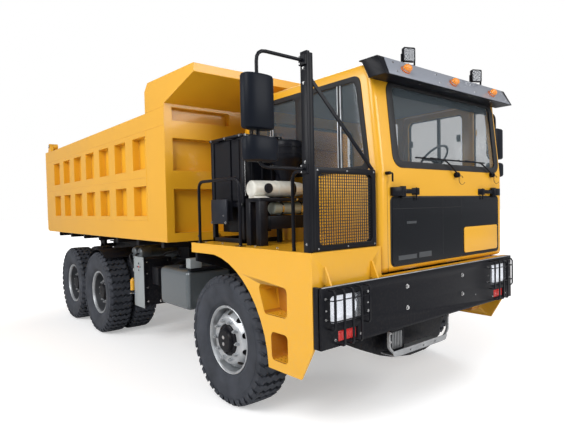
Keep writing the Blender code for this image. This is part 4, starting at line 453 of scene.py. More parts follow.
class Shape:
    """A mesh under construction, whose methods give it back so that they chain."""

    def __init__(self) -> None:
        """Start an empty mesh."""
        self.mesh = bmesh.new()

    def add(self, other: "Shape", place: Matrix = Matrix.Identity(4)) -> "Shape":
        """Copy another shape in, moved by a matrix.

        Args:
            other: The shape to copy.
            place: The matrix that moves the copy.

        Returns:
            This shape.
        """
        data = bpy.data.meshes.new("part")
        other.mesh.to_mesh(data)
        data.transform(place)
        if place.determinant() < 0:
            data.flip_normals()
        self.mesh.from_mesh(data)
        bpy.data.meshes.remove(data)
        return self

    def take(self, other: bmesh.types.BMesh) -> "Shape":
        """Copy another mesh in and free it.

        Args:
            other: The mesh, which is freed.

        Returns:
            This shape.
        """
        data = bpy.data.meshes.new("part")
        other.to_mesh(data)
        other.free()
        self.mesh.from_mesh(data)
        bpy.data.meshes.remove(data)
        return self

    def box(self, low: Point, high: Point, bevel: float = 0.0, segments: int = 1) -> "Shape":
        """Add a box between two corners.

        Args:
            low: The lowest corner.
            high: The highest corner.
            bevel: How far its edges are rounded.
            segments: The bevel's steps.

        Returns:
            This shape.
        """
        ends = [sorted(pair) for pair in zip(low, high)]
        low, high = (Vector(end) for end in zip(*ends))
        place = Matrix.Translation((low + high) / 2) @ Matrix.Diagonal((*(high - low), 1))
        made = bmesh.ops.create_cube(self.mesh, size=1, matrix=place)
        if bevel:
            edges = {edge for vertex in made["verts"] for edge in vertex.link_edges}
            bevelled(self.mesh, sharp_edges(edges, 35), bevel, segments)
        return self

    def boxes(self, rows: Iterable[Sequence[float]], bevel: float = 0.0, segments: int = 1) -> "Shape":
        """Add boxes alike, each a row of its lowest and highest corner's six numbers.

        Args:
            rows: Six numbers for each box.
            bevel: How far their edges are rounded.
            segments: The steps in each rounded edge.

        Returns:
            This shape.
        """
        for row in rows:
            self.box(row[:3], row[3:], bevel, segments)
        return self

    def rod(self, start: Point, end: Point, radius: float, sides: int = 16,
            tip: float | None = None, bevel: float = 0.0) -> "Shape":
        """Add a round or cone-shaped bar between two points.

        Args:
            start: The middle of its first end.
            end: The middle of its other end.
            radius: Its radius at the start.
            sides: Its number of faces.
            tip: Its radius at the end, if it differs.
            bevel: How far its end edges are rounded.

        Returns:
            This shape.
        """
        start, end = Vector(start), Vector(end)
        turn = (end - start).to_track_quat("Z", "Y").to_matrix().to_4x4()
        made = bmesh.ops.create_cone(self.mesh, cap_ends=True, segments=sides, radius1=radius,
                                     radius2=radius if tip is None else tip,
                                     depth=(end - start).length,
                                     matrix=Matrix.Translation((start + end) / 2) @ turn)
        if bevel:
            rims = {edge for vertex in made["verts"] for edge in vertex.link_edges
                    if any(len(face.verts) > 4 for face in edge.link_faces)}
            bevelled(self.mesh, list(rims), bevel)
        return self

    def spun(self, profile: Sequence[Pair], centre: Point, axis: Axis,
             steps: int = 48, way: int = 1) -> "Shape":
        """Add a profile of (radius, distance along) spun about an axis.

        Args:
            profile: The outline, closed if it doesn't start on the axis.
            centre: Where the axis starts.
            axis: The axis's direction.
            steps: The number of steps round.
            way: Which way the distances run.

        Returns:
            This shape.
        """
        ring = bmesh.new()
        points = [ring.verts.new((radius, 0, along * way)) for radius, along in profile]
        for first, second in zip(points, points[1:]):
            ring.edges.new((first, second))
        if profile[0][0] > 1e-6 and profile[-1][0] > 1e-6:
            ring.edges.new((points[-1], points[0]))
        bmesh.ops.spin(ring, geom=ring.verts[:] + ring.edges[:], angle=math.tau, steps=steps,
                       axis=(0, 0, 1), cent=(0, 0, 0), use_merge=True, use_duplicate=False)
        bmesh.ops.remove_doubles(ring, verts=ring.verts, dist=1e-6)
        bmesh.ops.recalc_face_normals(ring, faces=ring.faces)
        bmesh.ops.transform(ring, matrix=Matrix.Translation(centre) @ axis.value, verts=ring.verts)
        return self.take(ring)

    def tube(self, points: Sequence[Point], radius: float, sides: int = 10, bend: float = 0.0) -> "Shape":
        """Add a round tube through points, with its corners rounded.

        Args:
            points: The route.
            radius: The tube's radius.
            sides: Its number of faces.
            bend: The reach of each rounded corner.

        Returns:
            This shape.
        """
        route = eased([Vector(point) for point in points], bend)
        ways = [(after - before).normalized() for before, after in zip(route, route[1:])]
        tube = bmesh.new()
        made = bmesh.ops.create_circle(tube, cap_ends=False, radius=radius, segments=sides)
        spin = ways[0].to_track_quat("Z", "Y").to_matrix().to_4x4()
        bmesh.ops.transform(tube, matrix=Matrix.Translation(route[0]) @ spin, verts=made["verts"])
        ends = [tube.edges[:]]
        facing = ways[0]
        for index in range(1, len(route)):
            halfway = (ways[index - 1] + ways[min(index, len(ways) - 1)]).normalized()
            grown = bmesh.ops.extrude_edge_only(tube, edges=ends[-1])
            turn = facing.rotation_difference(halfway).to_matrix().to_4x4()
            move = Matrix.Translation(route[index]) @ turn @ Matrix.Translation(-route[index - 1])
            bmesh.ops.transform(tube, matrix=move, verts=fresh(grown, bmesh.types.BMVert))
            ends.append(fresh(grown, bmesh.types.BMEdge))
            facing = halfway
        for loop in (ends[0], ends[-1]):
            bmesh.ops.edgeloop_fill(tube, edges=loop)
        bmesh.ops.recalc_face_normals(tube, faces=tube.faces)
        return self.take(tube)

    def plate(self, outline: Sequence[Pair], place: Matrix, thick: float,
              holes: Iterable[Sequence[Pair]] = (), bevel: float = 0.0) -> "Shape":
        """Add a flat plate with holes, drawn in X and Y and extruded along Z, then placed.

        Args:
            outline: The plate's corners.
            place: The matrix that takes the plate to its place.
            thick: The plate's thickness.
            holes: The corners of each hole.
            bevel: How far its edges are rounded.

        Returns:
            This shape.
        """
        flat = bmesh.new()
        edges = []
        for loop in (outline, *holes):
            corners = [flat.verts.new((*corner, 0)) for corner in loop]
            edges += [flat.edges.new((corners[index - 1], corner)) for index, corner in enumerate(corners)]
        bmesh.ops.triangle_fill(flat, use_beauty=True, use_dissolve=False, edges=edges, normal=(0, 0, 1))
        bmesh.ops.dissolve_limit(flat, angle_limit=0.01, verts=flat.verts, edges=flat.edges)
        grown = bmesh.ops.extrude_face_region(flat, geom=flat.faces[:])
        bmesh.ops.translate(flat, vec=(0, 0, thick), verts=fresh(grown, bmesh.types.BMVert))
        bmesh.ops.recalc_face_normals(flat, faces=flat.faces)
        if bevel:
            bevelled(flat, sharp_edges(flat.edges, 60), bevel)
        bmesh.ops.transform(flat, matrix=place, verts=flat.verts)
        if place.determinant() < 0:
            bmesh.ops.reverse_faces(flat, faces=flat.faces)
        return self.take(flat)

    def ring(self, low: Pair, high: Pair, radius: float, rim: float,
             inner: float, place: Matrix, thick: float, steps: int = 5, bevel: float = 0.0) -> "Shape":
        """Add a rounded rectangular frame.

        Args:
            low: Its lower left corner.
            high: Its upper right corner.
            radius: Its corners' radius.
            rim: The width of its bars.
            inner: The hole's corners' radius.
            place: The matrix that takes it to its place.
            thick: Its thickness.
            steps: The steps in each corner.
            bevel: How far its edges are rounded.

        Returns:
            This shape.
        """
        hole = rounded((low[0] + rim, low[1] + rim), (high[0] - rim, high[1] - rim), inner, steps)
        return self.plate(rounded(low, high, radius, steps), place, thick, [hole], bevel)

    def bolt(self, place: Point, axis: Axis, way: int, size: float = 0.016) -> "Shape":
        """Add a hexagon bolt head on a washer, standing on a place and pointing along an axis.

        Args:
            place: The middle of its foot.
            axis: The axis that it stands along.
            way: 1 or -1 along that axis.
            size: The head's radius.

        Returns:
            This shape.
        """
        out = Vector(axis.value.col[2][:3]) * way
        foot = Vector(place)
        self.rod(foot, foot + out * size * 0.25, size * 1.35, 14)
        return self.rod(foot + out * size * 0.2, foot + out * size * 0.95, size, 6)

    def bolts(self, places: Iterable[Point], axis: Axis, way: int, size: float = 0.016) -> "Shape":
        """Add bolts alike at several places.

        Args:
            places: The middles of their feet.
            axis: The axis that they stand along.
            way: 1 or -1 along that axis.
            size: The heads' radius.

        Returns:
            This shape.
        """
        for place in places:
            self.bolt(place, axis, way, size)
        return self


def curved(first: Vector, here: Vector, last: Vector, steps: int) -> list[Vector]:
    """List points on the curve that leaves first toward here and comes to last."""
    shares = [step / steps for step in range(steps + 1)]
    return [first * (1 - share) ** 2 + here * 2 * share * (1 - share) + last * share ** 2 for share in shares]


def eased(points: list[Vector], reach: float) -> list[Vector]:
    """Round the corners of a route, each from a reach before it, or less where its runs are short.

    Args:
        points: The route's points.
        reach: How far from a corner its curve starts.

    Returns:
        The route with its corners rounded.
    """
    if reach <= 0:
        return points
    route = [points[0]]
    for before, here, after in zip(points, points[1:], points[2:]):
        first = here + (before - here).normalized() * min(reach, (before - here).length * 0.45)
        last = here + (after - here).normalized() * min(reach, (after - here).length * 0.45)
        route += curved(first, here, last, 4)
    return route + [points[-1]]


def rounded(low: Pair, high: Pair, radius: float, steps: int = 5) -> list[Pair]:
    """List a rectangle's corners, rounded.

    Args:
        low: The lower left corner.
        high: The upper right corner.
        radius: The corners' radius.
        steps: The steps in each corner.

    Returns:
        The outline.
    """
    outline = []
    middles = ((high[0] - radius, high[1] - radius, 0), (low[0] + radius, high[1] - radius, 90),
               (low[0] + radius, low[1] + radius, 180), (high[0] - radius, low[1] + radius, 270))
    for x, y, start in middles:
        for step in range(steps + 1):
            angle = math.radians(start + 90 * step / steps)
            outline.append((x + radius * math.cos(angle), y + radius * math.sin(angle)))
    return outline


def softened(corners: Sequence[Pair], radius: float, steps: int = 4) -> list[Pair]:
    """Round the corners of any outline.

    Args:
        corners: The outline's corners.
        radius: How far from each corner its curve starts.
        steps: The steps in each corner.

    Returns:
        The rounded outline.
    """
    outline = []
    for index, corner in enumerate(corners):
        here = Vector(corner)
        before = Vector(corners[index - 1])
        after = Vector(corners[(index + 1) % len(corners)])
        first = here + (before - here).normalized() * radius
        last = here + (after - here).normalized() * radius
        outline += [tuple(place) for place in curved(first, here, last, steps)]
    return outline


def facing_x(x: float) -> Matrix:
    """Give the matrix that stands a plate drawn in Y and Z at a place along X."""
    return Matrix(((0, 0, 1, x), (1, 0, 0, 0), (0, 1, 0, 0), (0, 0, 0, 1)))


def facing_y(y: float) -> Matrix:
    """Give the matrix that stands a plate drawn in X and Z at a place along Y, growing rearward."""
    return Matrix(((1, 0, 0, 0), (0, 0, 1, y), (0, 1, 0, 0), (0, 0, 0, 1)))


def facing_z(z: float) -> Matrix:
    """Give the matrix that lays a plate drawn in X and Y at a height."""
    return Matrix.Translation((0, 0, z))


def stood(name: str, data: bpy.types.ID) -> bpy.types.Object:
    """Put an object with its data in the scene.

    Args:
        name: The object's name.
        data: Its mesh, curve, lamp or camera.

    Returns:
        The object.
    """
    made = bpy.data.objects.new(name, data)
    bpy.context.scene.collection.objects.link(made)
    return made


def piece(name: str, shape: Shape, finish: Finish, body: str = "chassis", *replaced: str,
          smooth: float = 35.0) -> bpy.types.Object:
    """Turn a shape into a finished piece that rides on a body.

    Args:
        name: The piece's name.
        shape: Its mesh.
        finish: Its surface.
        body: The body it moves with.
        replaced: The frame's nodes that it stands for.
        smooth: The angle in degrees up to which it is shaded smooth.

    Returns:
        The object.
    """
    data = bpy.data.meshes.new(name)
    shape.mesh.to_mesh(data)
    shape.mesh.free()
    data.shade_smooth()
    data.set_sharp_from_angle(angle=math.radians(smooth))
    data.materials.append(finish.material())
    made = stood(name, data)
    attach(made, body)
    if replaced:
        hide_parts(*replaced)
    LOG.info("%s: %d faces on %s", name, len(data.polygons), body)
    return made


def repaint(node: str, finish: Finish) -> None:
    """Give one of the frame's nodes a finish.

    Args:
        node: The node's name.
        finish: Its new finish.
    """
    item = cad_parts[node]
    item.data.materials.clear()
    item.data.materials.append(finish.material())


@dataclass
class Studio:
    """The white stage with its lamps and the photograph's camera."""

    place: Point = (-4.257, -6.98, 2.075)
    lens: float = 30.0
    heading: float = -39.58
    pitch: float = -1.79
    roll: float = -1.248
    floor_size: float = 120.0
    backdrop: Colour = (1.0, 1.0, 1.0)
    ambient: Colour = (0.4, 0.4, 0.41)

    def build(self) -> None:
        """Make the camera, lamps, world and floor."""
        self.camera()
        self.world()
        self.floor()
        self.lamp("key", (-10.0, -7.0, 9.0), 6.0, 970.0)
        self.lamp("fill", (4.0, -14.0, 7.0), 7.0, 980.0)
        self.lamp("rim", (10.0, 9.0, 10.0), 7.0, 700.0)
        self.lamp("side", (-15.0, 5.0, 7.0), 6.0, 950.0)
        bpy.context.scene.view_settings.view_transform = "Standard"

    def camera(self) -> None:
        """Stand the camera where the photograph was taken."""
        data = bpy.data.cameras.new("photo_camera")
        data.lens = self.lens
        data.clip_end = 300.0
        made = stood("photo_camera", data)
        made.matrix_world = (Matrix.Translation(self.place)
                             @ Matrix.Rotation(math.radians(self.heading), 4, "Z")
                             @ Matrix.Rotation(math.radians(90 + self.pitch), 4, "X")
                             @ Matrix.Rotation(math.radians(self.roll), 4, "Z"))
        bpy.context.scene.camera = made

    def world(self) -> None:
        """Light the stage evenly, white where the camera sees the background."""
        world = bpy.data.worlds.new("studio")
        bpy.context.scene.world = world
        world.use_nodes = True
        tree = world.node_tree
        path = tree.nodes.new("ShaderNodeLightPath")
        seen = tree.nodes.new("ShaderNodeMix")
        seen.data_type = "RGBA"
        seen.inputs[6].default_value = (*self.ambient, 1)
        seen.inputs[7].default_value = (*self.backdrop, 1)
        tree.links.new(path.outputs["Is Camera Ray"], seen.inputs[0])
        tree.links.new(seen.outputs[2], tree.nodes["Background"].inputs["Color"])

    def floor(self) -> None:
        """Lay the pale floor."""
        shape = bmesh.new()
        bmesh.ops.create_grid(shape, x_segments=1, y_segments=1, size=self.floor_size)
        data = bpy.data.meshes.new("floor")
        shape.to_mesh(data)
        shape.free()
        sheet = Sheet("pale_floor")
        cloud = sheet.noise(0.4, 2.0)
        away = sheet.node("ShaderNodeVectorMath", {"operation": "LENGTH"}, {0: sheet.place()}, "Value")
        seen = sheet.node("ShaderNodeLightPath", {}, {}, "Is Camera Ray")
        glow = seen * (away.between(4.0, 11.0) * 0.6 + 0.36)
        sheet.set(Base_Color=sheet.mix(cloud, (0.78, 0.78, 0.78), (0.8, 0.8, 0.8)), Roughness=0.9,
                  Specular_IOR_Level=0.0, Emission_Strength=1.0,
                  Emission_Color=sheet.mix(glow, (0.0, 0.0, 0.0), self.backdrop))
        data.materials.append(sheet.material)
        stood("floor", data)

    def lamp(self, name: str, place: Point, size: float, power: float) -> None:
        """Add a soft lamp that faces the truck.

        Args:
            name: The lamp's name.
            place: Where it stands.
            size: Its side.
            power: Its power in watts.
        """
        data = bpy.data.lights.new(name, "AREA")
        data.size = size
        data.energy = power
        made = stood(name, data)
        made.location = place
        made.rotation_euler = (Vector((0, -1, 1)) - Vector(place)).to_track_quat("-Z", "Y").to_euler()


@dataclass
class Wheel:
    """One wheel's place, the body it turns with and the nodes it stands for."""

    name: str
    side: Side
    track: float
    axle_y: float

    @property
    def body(self) -> str:
        """Name the rigid body that carries the wheel."""
        return "wheel_" + self.name.replace("outer_", "").replace("inner_", "")

    def fit(self, kind: str, shape: Shape, finish: Finish, replaces: bool = False,
            smooth: float = 35.0) -> None:
        """Stand a copy of a shape drawn on the X axis in the wheel's place.

        Args:
            kind: What the piece's name starts with.
            shape: Its mesh.
            finish: Its surface.
            replaces: Whether it stands for the frame's node of its name.
            smooth: The angle in degrees up to which it is shaded smooth.
        """
        place = (Matrix.Translation((self.side.value * self.track, self.axle_y, AXLE_Z))
                 @ Matrix.Diagonal((self.side.value, 1, 1, 1)))
        name = kind + self.name
        piece(name, Shape().add(shape, place), finish, self.body, *([name] if replaces else []), smooth=smooth)


@dataclass
class Tyre:
    """A rock tyre: a bulged carcass with wavy bars right across its tread."""

    radius: float = 0.6835
    half: float = 0.1872
    bead: float = 0.3603
    tread: float = 0.031
    bars: int = 38
    steps: int = 76
    wave: float = 0.017
    bends: int = 9
    bar_share: float = 0.64
    taper_share: float = 0.96
    sunk: float = 0.012
    shoulder: float = 0.05

    def crown(self, across: float, base: float) -> float:
        """Give the tread's radius at a place across it.

        Args:
            across: The distance from the tyre's middle.
            base: The radius at the middle.

        Returns:
            The radius there.
        """
        over = max(0.0, abs(across) - (self.half - self.shoulder)) / self.shoulder
        drop = self.shoulder * 0.9 * (1 - math.sqrt(max(0.0, 1 - over * over)))
        return base - 0.004 * (across / self.half) ** 2 - drop

    def carcass(self) -> Shape:
        """Spin the tyre's section, groove floor and sidewalls included.

        Returns:
            The carcass about the wheel's middle.
        """
        floor = self.radius - self.tread
        half = [(self.bead, 0.124), (self.bead + 0.006, 0.139), (self.bead + 0.03, 0.152),
                (self.bead + 0.034, 0.158), (0.43, 0.173), (0.49, 0.184), (0.54, 0.1865), (0.568, 0.1862),
                (0.570, 0.1835), (0.6, 0.181), (0.626, 0.174)]
        half += [(self.crown(x, floor), x) for x in (0.163, 0.148, 0.13, 0.08, 0.0)]
        section = half + [(radius, -x) for radius, x in reversed(half[:-1])]
        return Shape().spun(section, ORIGIN, Axis.X, self.steps)

    def bar(self) -> Shape:
        """Raise one wavy bar with its ends over the shoulders.

        Returns:
            The bar at the top of the tyre.
        """
        shape = Shape()
        mesh = shape.mesh
        width = math.tau * self.radius / self.bars * self.bar_share
        deep = self.tread + self.sunk
        made = bmesh.ops.create_grid(mesh, x_segments=self.bends, y_segments=1, size=0.5)
        for corner in made["verts"]:
            across = corner.co.x * 2 * (self.half - 0.001)
            zig = self.wave * (1 if round((corner.co.x + 0.5) * self.bends) % 2 else -1)
            corner.co = (across, corner.co.y * width + zig, self.crown(across, self.radius) - deep)
        grown = bmesh.ops.extrude_face_region(mesh, geom=mesh.faces[:])
        for corner in fresh(grown, bmesh.types.BMVert):
            corner.co.z += deep
            corner.co.y *= self.taper_share
        bmesh.ops.recalc_face_normals(mesh, faces=mesh.faces)
        edges = [edge for edge in sharp_edges(mesh.edges, math.degrees(0.9))
                 if all(corner.co.z > self.radius - 0.07 for corner in edge.verts)
                 and abs(edge.verts[0].co.x - edge.verts[1].co.x) > 0.001]
        bevelled(mesh, edges, 0.003, 1)
        return shape

    def shape(self) -> Shape:
        """Put the carcass and its bars together.

        Returns:
            The whole tyre about the wheel's middle.
        """
        whole = self.carcass()
        bar = self.bar()
        for index in range(self.bars):
            whole.add(bar, Matrix.Rotation(math.tau * index / self.bars, 4, "X"))
        return whole


@dataclass
class Rim:
    """The parts that front and twin rims share."""

    bolts: int = 10
    steps: int = 80
    flange: Pairs = (
        (0.3597, -0.14), (0.3597, 0.14), (0.352, 0.1428), (0.344, 0.139), (0.341, 0.131), (0.335, 0.13),
        (0.331, 0.12), (0.33, 0.06), (0.33, -0.12), (0.34, -0.14))

    def disc(self, rows: Sequence[Pair], ring: float, wide: float, tall: float, thick: float) -> Shape:
        """Build a dished disc with oval hand holes.

        Args:
            rows: The disc's section as (radius, distance outward).
            ring: The radius of the holes' ring.
            wide: Half of a hole's width round the ring.
            tall: Half of a hole's height.
            thick: The disc's thickness.

        Returns:
            The disc about the X axis.
        """
        pitch = math.tau / self.bolts
        flat = bmesh.new()
        corners = [flat.verts.new((along, 0, radius)) for radius, along in rows]
        for first, second in zip(corners, corners[1:]):
            flat.edges.new((first, second))
        bmesh.ops.spin(flat, geom=flat.verts[:] + flat.edges[:], angle=math.tau, steps=self.steps * 2,
                       axis=(1, 0, 0), cent=(0, 0, 0), use_merge=True)
        bmesh.ops.remove_doubles(flat, verts=flat.verts, dist=1e-5)

        def offset(place: Vector) -> Vector:
            """Give a point's place in the nearest hole, one on its edge."""
            angle = math.atan2(place.y, place.z)
            near = angle - round(angle / pitch) * pitch
            radius = math.hypot(place.y, place.z)
            return Vector((near * ring / wide, (radius - ring) / tall))

        holes = [face for face in flat.faces if offset(face.calc_center_median()).length < 1]
        bmesh.ops.delete(flat, geom=holes, context="FACES")
        for corner in [item for item in flat.verts if item.is_boundary]:
            local = offset(corner.co)
            radius = math.hypot(corner.co.y, corner.co.z)
            if local.length > 1.6 or abs(radius - rows[0][0]) < 1e-4 or abs(radius - rows[-1][0]) < 1e-4:
                continue
            local.normalize()
            angle = math.atan2(corner.co.y, corner.co.z)
            angle = round(angle / pitch) * pitch + local.x * wide / ring
            radius = ring + local.y * tall
            corner.co = (self.along(rows, radius), radius * math.sin(angle), radius * math.cos(angle))
        bmesh.ops.recalc_face_normals(flat, faces=flat.faces)
        bmesh.ops.solidify(flat, geom=flat.faces[:], thickness=thick)
        bmesh.ops.recalc_face_normals(flat, faces=flat.faces)
        return Shape().take(flat)

    @staticmethod
    def along(rows: Sequence[Pair], radius: float) -> float:
        """Read the disc's section at a radius.

        Args:
            rows: The section as (radius, distance along).
            radius: The radius to read at.

        Returns:
            The distance along the axle there.
        """
        for (first, low), (second, high) in zip(rows, rows[1:]):
            if min(first, second) <= radius <= max(first, second):
                return low + (high - low) * (radius - first) / (second - first)
        return rows[-1][1]

    @staticmethod
    def nuts(shape: Shape, ring: float, along: float, size: float, count: int, turn: float = 0.0) -> None:
        """Stand a ring of nuts with stud ends on a face.

        Args:
            shape: The shape that takes them.
            ring: The ring's radius.
            along: The face's distance outward.
            size: A nut's radius.
            count: The number of nuts.
            turn: The angle of the first one.
        """
        nut = Shape()
        nut.rod((along - 0.002, 0, 0), (along + size * 0.3, 0, 0), size * 1.3, 14)
        nut.rod((along, 0, 0), (along + size * 1.9, 0, 0), size, 6, bevel=size * 0.12)
        nut.rod((along, 0, 0), (along + size * 2.6, 0, 0), size * 0.55, 10)
        for index in range(count):
            angle = turn + math.tau * index / count
            shape.add(nut, Matrix.Rotation(angle, 4, "X") @ Matrix.Translation((0, 0, ring)))


@dataclass
class FrontRim(Rim):
    """The front rim: stepped flange rings, a bulged disc and a black hub."""

    def build(self, wheel: Wheel) -> None:
        """Make the rim and its hub on one wheel.

        Args:
            wheel: The wheel that it goes on.
        """
        shape = Shape().spun(self.flange, ORIGIN, Axis.X, self.steps)
        rows = [(0.236, 0.138), (0.246, 0.134), (0.257, 0.125), (0.268, 0.112), (0.28, 0.095), (0.292, 0.076),
                (0.304, 0.056), (0.318, 0.034), (0.332, 0.012)]
        shape.add(self.disc(rows, 0.281, 0.034, 0.023, 0.01))
        shape.spun([(0.236, 0.1375), (0.229, 0.1385), (0.172, 0.1385), (0.166, 0.134), (0.164, 0.12),
                    (0.23, 0.12)], ORIGIN, Axis.X, self.steps)
        wheel.fit("rim_", shape, SILVER, True)
        nuts = Shape()
        self.nuts(nuts, 0.203, 0.1385, 0.0195, self.bolts, math.pi / self.bolts)
        wheel.fit("rim_nuts_", nuts, SILVER)
        hub = Shape().spun([(0, 0.12), (0.164, 0.12), (0.163, 0.146), (0.154, 0.152), (0.126, 0.156),
                            (0.118, 0.182), (0.108, 0.19), (0.05, 0.1935), (0, 0.1935)], ORIGIN, Axis.X, 48)
        self.nuts(hub, 0.14, 0.1545, 0.006, 8)
        wheel.fit("hub_", hub, BLACK)
        ends = Shape()
        for z in (-0.035, 0.035):
            ends.rod((0.19, 0, z), (0.1975, 0, z), 0.02, 14, bevel=0.002)
        wheel.fit("hub_bolts_", ends, STEEL)


@dataclass
class TwinRim(Rim):
    """A pair of rear rims on one hub: a deep bright flange, a dark dish and planet hub."""

    bolts: int = 8
    spread: float = 0.215

    def build(self, wheel: Wheel) -> None:
        """Make both rims and their hub, drawn about the middle of the pair.

        Args:
            wheel: The wheel pair that it goes on.
        """
        bright = Shape()
        for centre in (-self.spread, self.spread):
            bright.spun([(radius, along + centre) for radius, along in self.flange], ORIGIN, Axis.X, self.steps)
        rows = [(0.205, 0.25), (0.225, 0.248), (0.24, 0.24), (0.255, 0.228), (0.27, 0.216), (0.285, 0.206),
                (0.30, 0.198), (0.315, 0.192), (0.3295, 0.188)]
        dish = Shape().add(self.disc(rows, 0.272, 0.036, 0.026, 0.012))
        dish.spun([(0.206, 0.252), (0.15, 0.252), (0.148, 0.23), (0.2, 0.23)], ORIGIN, Axis.X, self.steps)
        dish.spun([(0.3298, 0.322), (0.3298, 0.08), (0.32, 0.08), (0.32, 0.318)], ORIGIN, Axis.X, self.steps)
        wheel.fit("rim_dish_", dish, DISH_GREY)
        nuts = Shape()
        self.nuts(nuts, 0.178, 0.252, 0.0175, 10)
        wheel.fit("rim_nuts_", nuts, SILVER)
        wheel.fit("rim_twin_", bright, SILVER, True)
        hub = Shape().spun([(0.087, -0.21), (0.13, -0.21), (0.13, 0.22), (0.148, 0.23), (0.147, 0.26),
                            (0.14, 0.27), (0.13, 0.272), (0.122, 0.3), (0.112, 0.315), (0.05, 0.322),
                            (0.0, 0.322), (0.0, 0.195), (0.087, 0.195)], ORIGIN, Axis.X, 40)
        self.nuts(hub, 0.137, 0.27, 0.006, 10)
        for z in (-0.03, 0.03):
            hub.rod((0.318, 0, z), (0.326, 0, z), 0.014, 12)
        wheel.fit("hub_", hub, CHASSIS)


@dataclass
class Wheels:
    """All ten tyres and six rims."""

    outer: float = 1.44
    inner: float = 1.01
    rear_axles: dict[str, float] = field(default_factory=lambda: {"mid": 1.24, "rear": 2.69})

    def build(self) -> None:
        """Make the tyres and rims on each body."""
        tyre = Tyre().shape()
        for side in Side:
            name = side.name.lower()
            front = Wheel("front_" + name, side, self.outer, FRONT_AXLE_Y)
            front.fit("tyre_", tyre, RUBBER, True, 28)
            FrontRim().build(front)
            for place, axle_y in self.rear_axles.items():
                for row, track in (("outer", self.outer), ("inner", self.inner)):
                    wheel = Wheel("%s_%s_%s" % (row, place, name), side, track, axle_y)
                    wheel.fit("tyre_", tyre, RUBBER, True, 28)
                middle = (self.outer + self.inner) / 2
                TwinRim().build(Wheel("%s_%s" % (place, name), side, middle, axle_y))
        tyre.mesh.free()


def leaned(y: float, z: float, degrees: float) -> Matrix:
    """Give the matrix that stands a plate drawn in X and up the slope on a face that leans rearward."""
    return Matrix.Translation((0, y, z)) @ Matrix.Rotation(-math.radians(degrees), 4, "X") @ facing_y(0)


def refined(name: str, node: str, finish: Finish, body: str = "chassis", bevel: float = 0.0,
            smooth: float = 40.0, under: float | None = None) -> bpy.types.Object:
    """Stand a copy of a node in its place, with its edges rounded and its curves shaded smooth.

    Args:
        name: The piece's name.
        node: The node that it stands for.
        finish: Its surface.
        body: The body it moves with.
        bevel: How far its long edges are rounded.
        smooth: The angle in degrees up to which it is shaded smooth.
        under: The height below which it is painted as the chassis is.

    Returns:
        The object.
    """
    shape = Shape()
    mesh = shape.mesh
    mesh.from_mesh(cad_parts[node].data)
    bmesh.ops.remove_doubles(mesh, verts=mesh.verts, dist=1e-5)
    bmesh.ops.dissolve_limit(mesh, angle_limit=math.radians(0.5), verts=mesh.verts, edges=mesh.edges)
    for face in mesh.faces:
        face.material_index = 0
    if bevel:
        bevelled(mesh, [edge for edge in sharp_edges(mesh.edges, 50) if edge.is_convex
                        and edge.calc_length() > bevel * 6], bevel, clamp=False)
    bmesh.ops.triangulate(mesh, faces=[face for face in mesh.faces if len(face.verts) > 4])
    if under is not None:
        for face in mesh.faces:
            face.material_index = int(face.calc_center_median().z < under)
    made = piece(name, shape, finish, body, node, smooth=smooth)
    if under is not None:
        made.data.materials.append(CHASSIS.material())
    made.modifiers.new("weighted", "WEIGHTED_NORMAL").keep_sharp = True
    return made


